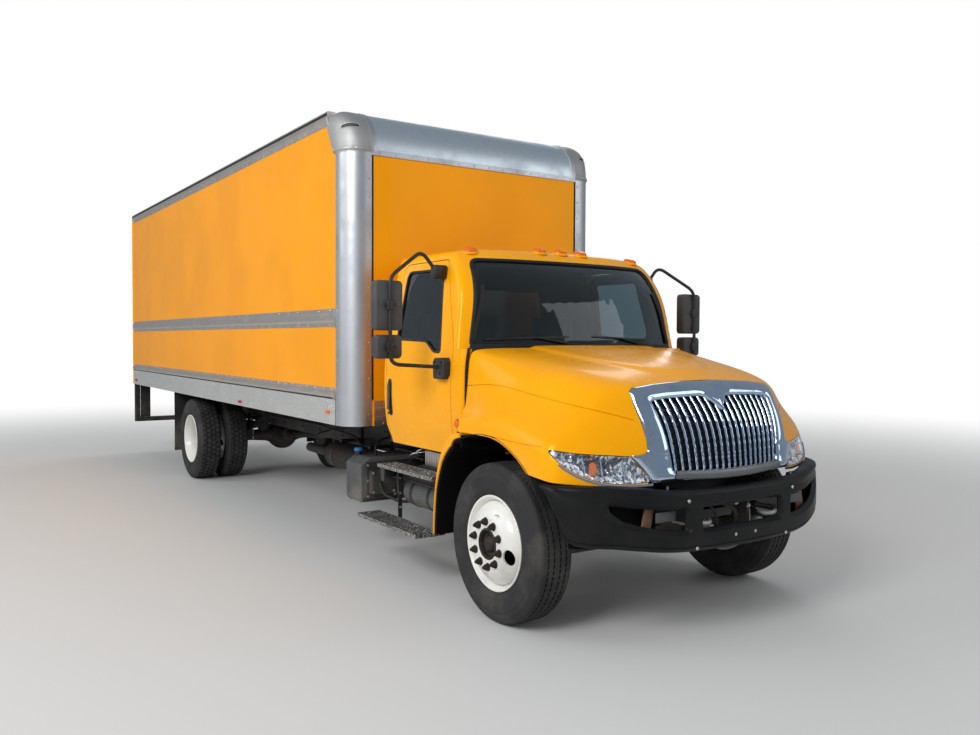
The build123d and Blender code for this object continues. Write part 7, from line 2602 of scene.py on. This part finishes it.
for k in range(8):
    mesh = softBox((-0.035, 0.035), (-0.006, 0.006), (0.05, 0.270), 0.003, 1)
    mesh.transform(Matrix.Translation(-at(0, 0, 0)))
    mesh.transform(Matrix.Rotation(math.radians(28), 4, "Z"))
    mesh.transform(Matrix.Rotation(2 * math.pi * k / 8, 4, "Y"))
    mesh.transform(Matrix.Translation(at(0, -0.490, 1.10)))
    blades.append(mesh)
blades.append(turned([(0, 0), (0, 0.080), (0.03, 0.085), (0.06, 0.060), (0.11, 0.05), (0.11, 0)], at(0, -0.52, 1.10),
                     (0, 1, 0), 32, False))
piece("fan", joined([shroud] + blades), trimBlack)
print("engine done")


# Inside the cab: dashboard, wheel, pedals and seats
def dashSection(push=0.0):
    outline = [(0.622, 1.655), (0.700, 1.678), (0.860, 1.672), (0.940, 1.640), (0.982, 1.570), (0.975, 1.450),
               (0.920, 1.370), (0.860, 1.335), (0.622, 1.335)]
    return rounded([(s + push, z) for s, z in outline], (0.01, 0.03, 0.05, 0.05, 0.05, 0.04, 0.03, 0.01, 0.005), 5)


dashMeshes = [bevelled(prism(dashSection(), "x", -1.015, 1.015), 0.008, 2),
              softBox((0.290, 0.750), (0.78, 0.985), (1.600, 1.6795), 0.020, 4),
              softBox((-0.190, 0.210), (0.88, 0.989), (1.335, 1.590), 0.018, 4)]
piece("dashPanel", joined(dashMeshes), dashGrey, nodes=["dashboard"])
dials = []
for x, size in ((0.385, 0.042), (0.475, 0.030), (0.545, 0.030), (0.640, 0.042)):
    dials.append(turned([(0, 0), (0, size), (0.004, size), (0.004, size - 0.004), (0.001, size - 0.006), (0.001, 0)],
                        at(x, 0.9865, 1.565), (0, 1, 0.10), 28, False))
piece("dashDials", joined(dials), boltSteel)
vents = []
for x in (-0.88, -0.36, -0.12, 0.14, 0.86):
    for k in range(5):
        vents.append(softBox((x - 0.055, x + 0.055), (0.974, 0.9895), (1.495 + 0.013 * k, 1.500 + 0.013 * k),
                             0.001, 1))
knobs = [turned([(0, 0), (0, 0.018), (0.014, 0.015), (0.016, 0)], at(x, 0.984, z), (0, 1, 0), 18, False)
         for x in (-0.12, -0.04, 0.04, 0.12) for z in (1.40, 1.45)]
column = [pipe([(0.52, 0.93, 1.42), (0.52, 1.105, 1.545)], 0.034, sides=20),
          pipe([(0.50, 1.04, 1.50), (0.34, 1.06, 1.54)], 0.007, sides=8),
          pipe([(0.54, 1.04, 1.50), (0.69, 1.06, 1.53)], 0.007, sides=8)]
pedals = [softBox((x - 0.035, x + 0.035), (0.80, 0.815), (1.06, 1.16), 0.004, 2) for x in (0.38, 0.52, 0.66)]
pedals += [pipe([(x, 0.80, 1.12), (x, 0.72, 1.30)], 0.009, sides=8) for x in (0.38, 0.52, 0.66)]
lever = [pipe([(0.10, 1.02, 1.02), (0.11, 1.06, 1.34)], 0.010, sides=10),
         turned([(0, 0), (0.01, 0.024), (0.04, 0.028), (0.07, 0.020), (0.075, 0)], at(0.11, 1.06, 1.33), (0, 0.1, 1),
                20, False)]
piece("dashGear", joined(vents + knobs + column + pedals + lever), sealBlack)

steer = {"centre": (0.520, 1.130, 1.560), "normal": (0, 0.55, 0.835), "ring": 0.211, "thick": 0.0135}


def steeringWheel():
    normal = Vector(steer["normal"]).normalized()
    centre = at(*steer["centre"])
    side = Vector((1, 0, 0))
    up = normal.cross(side)
    rows = []
    for k in range(72):
        out = side * math.cos(2 * math.pi * k / 72) + up * math.sin(2 * math.pi * k / 72)
        rows.append([centre + out * (steer["ring"] + steer["thick"] * math.cos(t))
                     + normal * steer["thick"] * math.sin(t)
                     for t in np.linspace(0, 2 * math.pi, 13)[:-1]])
    meshes = [rowsMesh(rows + rows[:1], True)]
    meshes.append(turned([(-0.055, 0), (-0.055, 0.045), (-0.015, 0.078), (0.0, 0.080), (0.012, 0.068), (0.018, 0)],
                         centre, normal, 36, False))
    for turn in (200, 340, 270):
        way = side * math.cos(math.radians(turn)) + up * math.sin(math.radians(turn))
        meshes.append(tube([centre + way * 0.05 - normal * 0.020, centre + way * 0.14 - normal * 0.012,
                            centre + way * 0.208], 0.011, 0.04, 10))
    return joined(meshes)


piece("steeringRing", steeringWheel(), sealBlack, nodes=["steering_wheel"])

# Seats: pads blown up as cloth, then stopped after a small distance from the shape they start from
seatSettings = {"voxel": 0.011, "pressure": 4.0, "reach": 0.020, "frames": 20, "inset": 0.020}


def blown(mesh):
    start = worked(mesh, ("REMESH", {"mode": "VOXEL", "voxel_size": seatSettings["voxel"]}))
    obj = bpy.data.objects.new("pad", start)
    collection.objects.link(obj)
    cloth = obj.modifiers.new("cloth", "CLOTH")
    cloth.settings.use_pressure = True
    cloth.settings.uniform_pressure_force = seatSettings["pressure"]
    cloth.settings.effector_weights.gravity = 0
    cloth.settings.quality = 5
    cloth.collision_settings.use_self_collision = False
    scene = bpy.context.scene
    cloth.point_cache.frame_start, cloth.point_cache.frame_end = 1, seatSettings["frames"]
    for number in range(1, seatSettings["frames"] + 1):
        scene.frame_set(number)
    places = [v.co.copy() for v in start.vertices]
    blownMesh = evaluated(obj)
    scene.frame_set(1)
    for vertex, place in zip(blownMesh.vertices, places):
        shift = vertex.co - place
        if shift.length > seatSettings["reach"]:
            vertex.co = place + shift.normalized() * seatSettings["reach"]
    return worked(blownMesh, ("SMOOTH", {"factor": 0.5, "iterations": 3}))


# One pad: a soft block with grooves where its seams run, blown up, with piping laid round
def pad(xs, stations, zs, grooves, radius):
    gap = seatSettings["inset"]
    body = softBox((xs[0] + gap, xs[1] - gap), (stations[0] + gap, stations[1] - gap), (zs[0] + gap, zs[1] - gap),
                   radius, 4)
    return blown(cut(body, grooves) if grooves else body)


def seatGrooves(xs, stations, zs, flat):
    grooves = []
    for share in (0.22, 0.78):
        x = xs[0] + (xs[1] - xs[0]) * share
        grooves.append(bar((x - 0.007, x + 0.007), (stations[0] - 0.1, stations[1] - 0.03),
                           (zs[1] - 0.045, zs[1] + 0.1)) if flat else
                       bar((x - 0.007, x + 0.007), (stations[0] - 0.1, stations[0] + 0.045),
                           (zs[0] + 0.06, zs[1] - 0.03)))
    return grooves


seatWidths = {"driver": (0.275, 0.765), "bench": (-0.835, -0.045)}
for label, (low, high) in seatWidths.items():
    cushion = ((low, high), (1.095, 1.540), (1.245, 1.398))
    back = ((low, high), (1.505, 1.625), (1.405, 2.040))
    for name, (xs, stations, zs), flat in (("Cushion", cushion, True), ("Back", back, False)):
        mesh = pad(xs, stations, zs, seatGrooves(xs, stations, zs, flat), 0.035)
        nodes = ["seats"] if label == "driver" and flat else []
        made = piece(label + name, mesh, seatCloth, nodes=nodes, angle=60)
seatBases = [softBox((low + 0.06, high - 0.06), (1.150, 1.500), (1.030, 1.235), 0.015, 3)
             for low, high in seatWidths.values()]
seatBases += [softBox((low + 0.02, high - 0.02), (1.120, 1.540), (1.225, 1.252), 0.008, 2)
              for low, high in seatWidths.values()]
piece("seatBases", joined(seatBases), sealBlack)
belts = [softBox((x - 0.022, x + 0.022), (1.575, 1.579), (1.10, 2.10), 0.001, 1) for x in (0.80, -0.87)]
piece("seatBelts", joined(belts), dashGrey)
print("inside done")

# Materials on the CAD nodes that stay, given through their slots
stayingFinishes = {
    "box_front": panelYellow, "box_roof": doorWhite, "box_floor": chassisShadeBlack, "cab_floor": dashGrey,
    "front_axle": engineIron, "knuckle_left": engineIron, "knuckle_right": engineIron, "tie_rod": chassisShadeBlack,
}
for name, finish in stayingFinishes.items():
    for obj in bpy.data.objects:
        if obj.type == "MESH" and obj.name.split(".")[0] == name:
            for slot in obj.material_slots:
                slot.material = finish.material
print("staying nodes dressed")
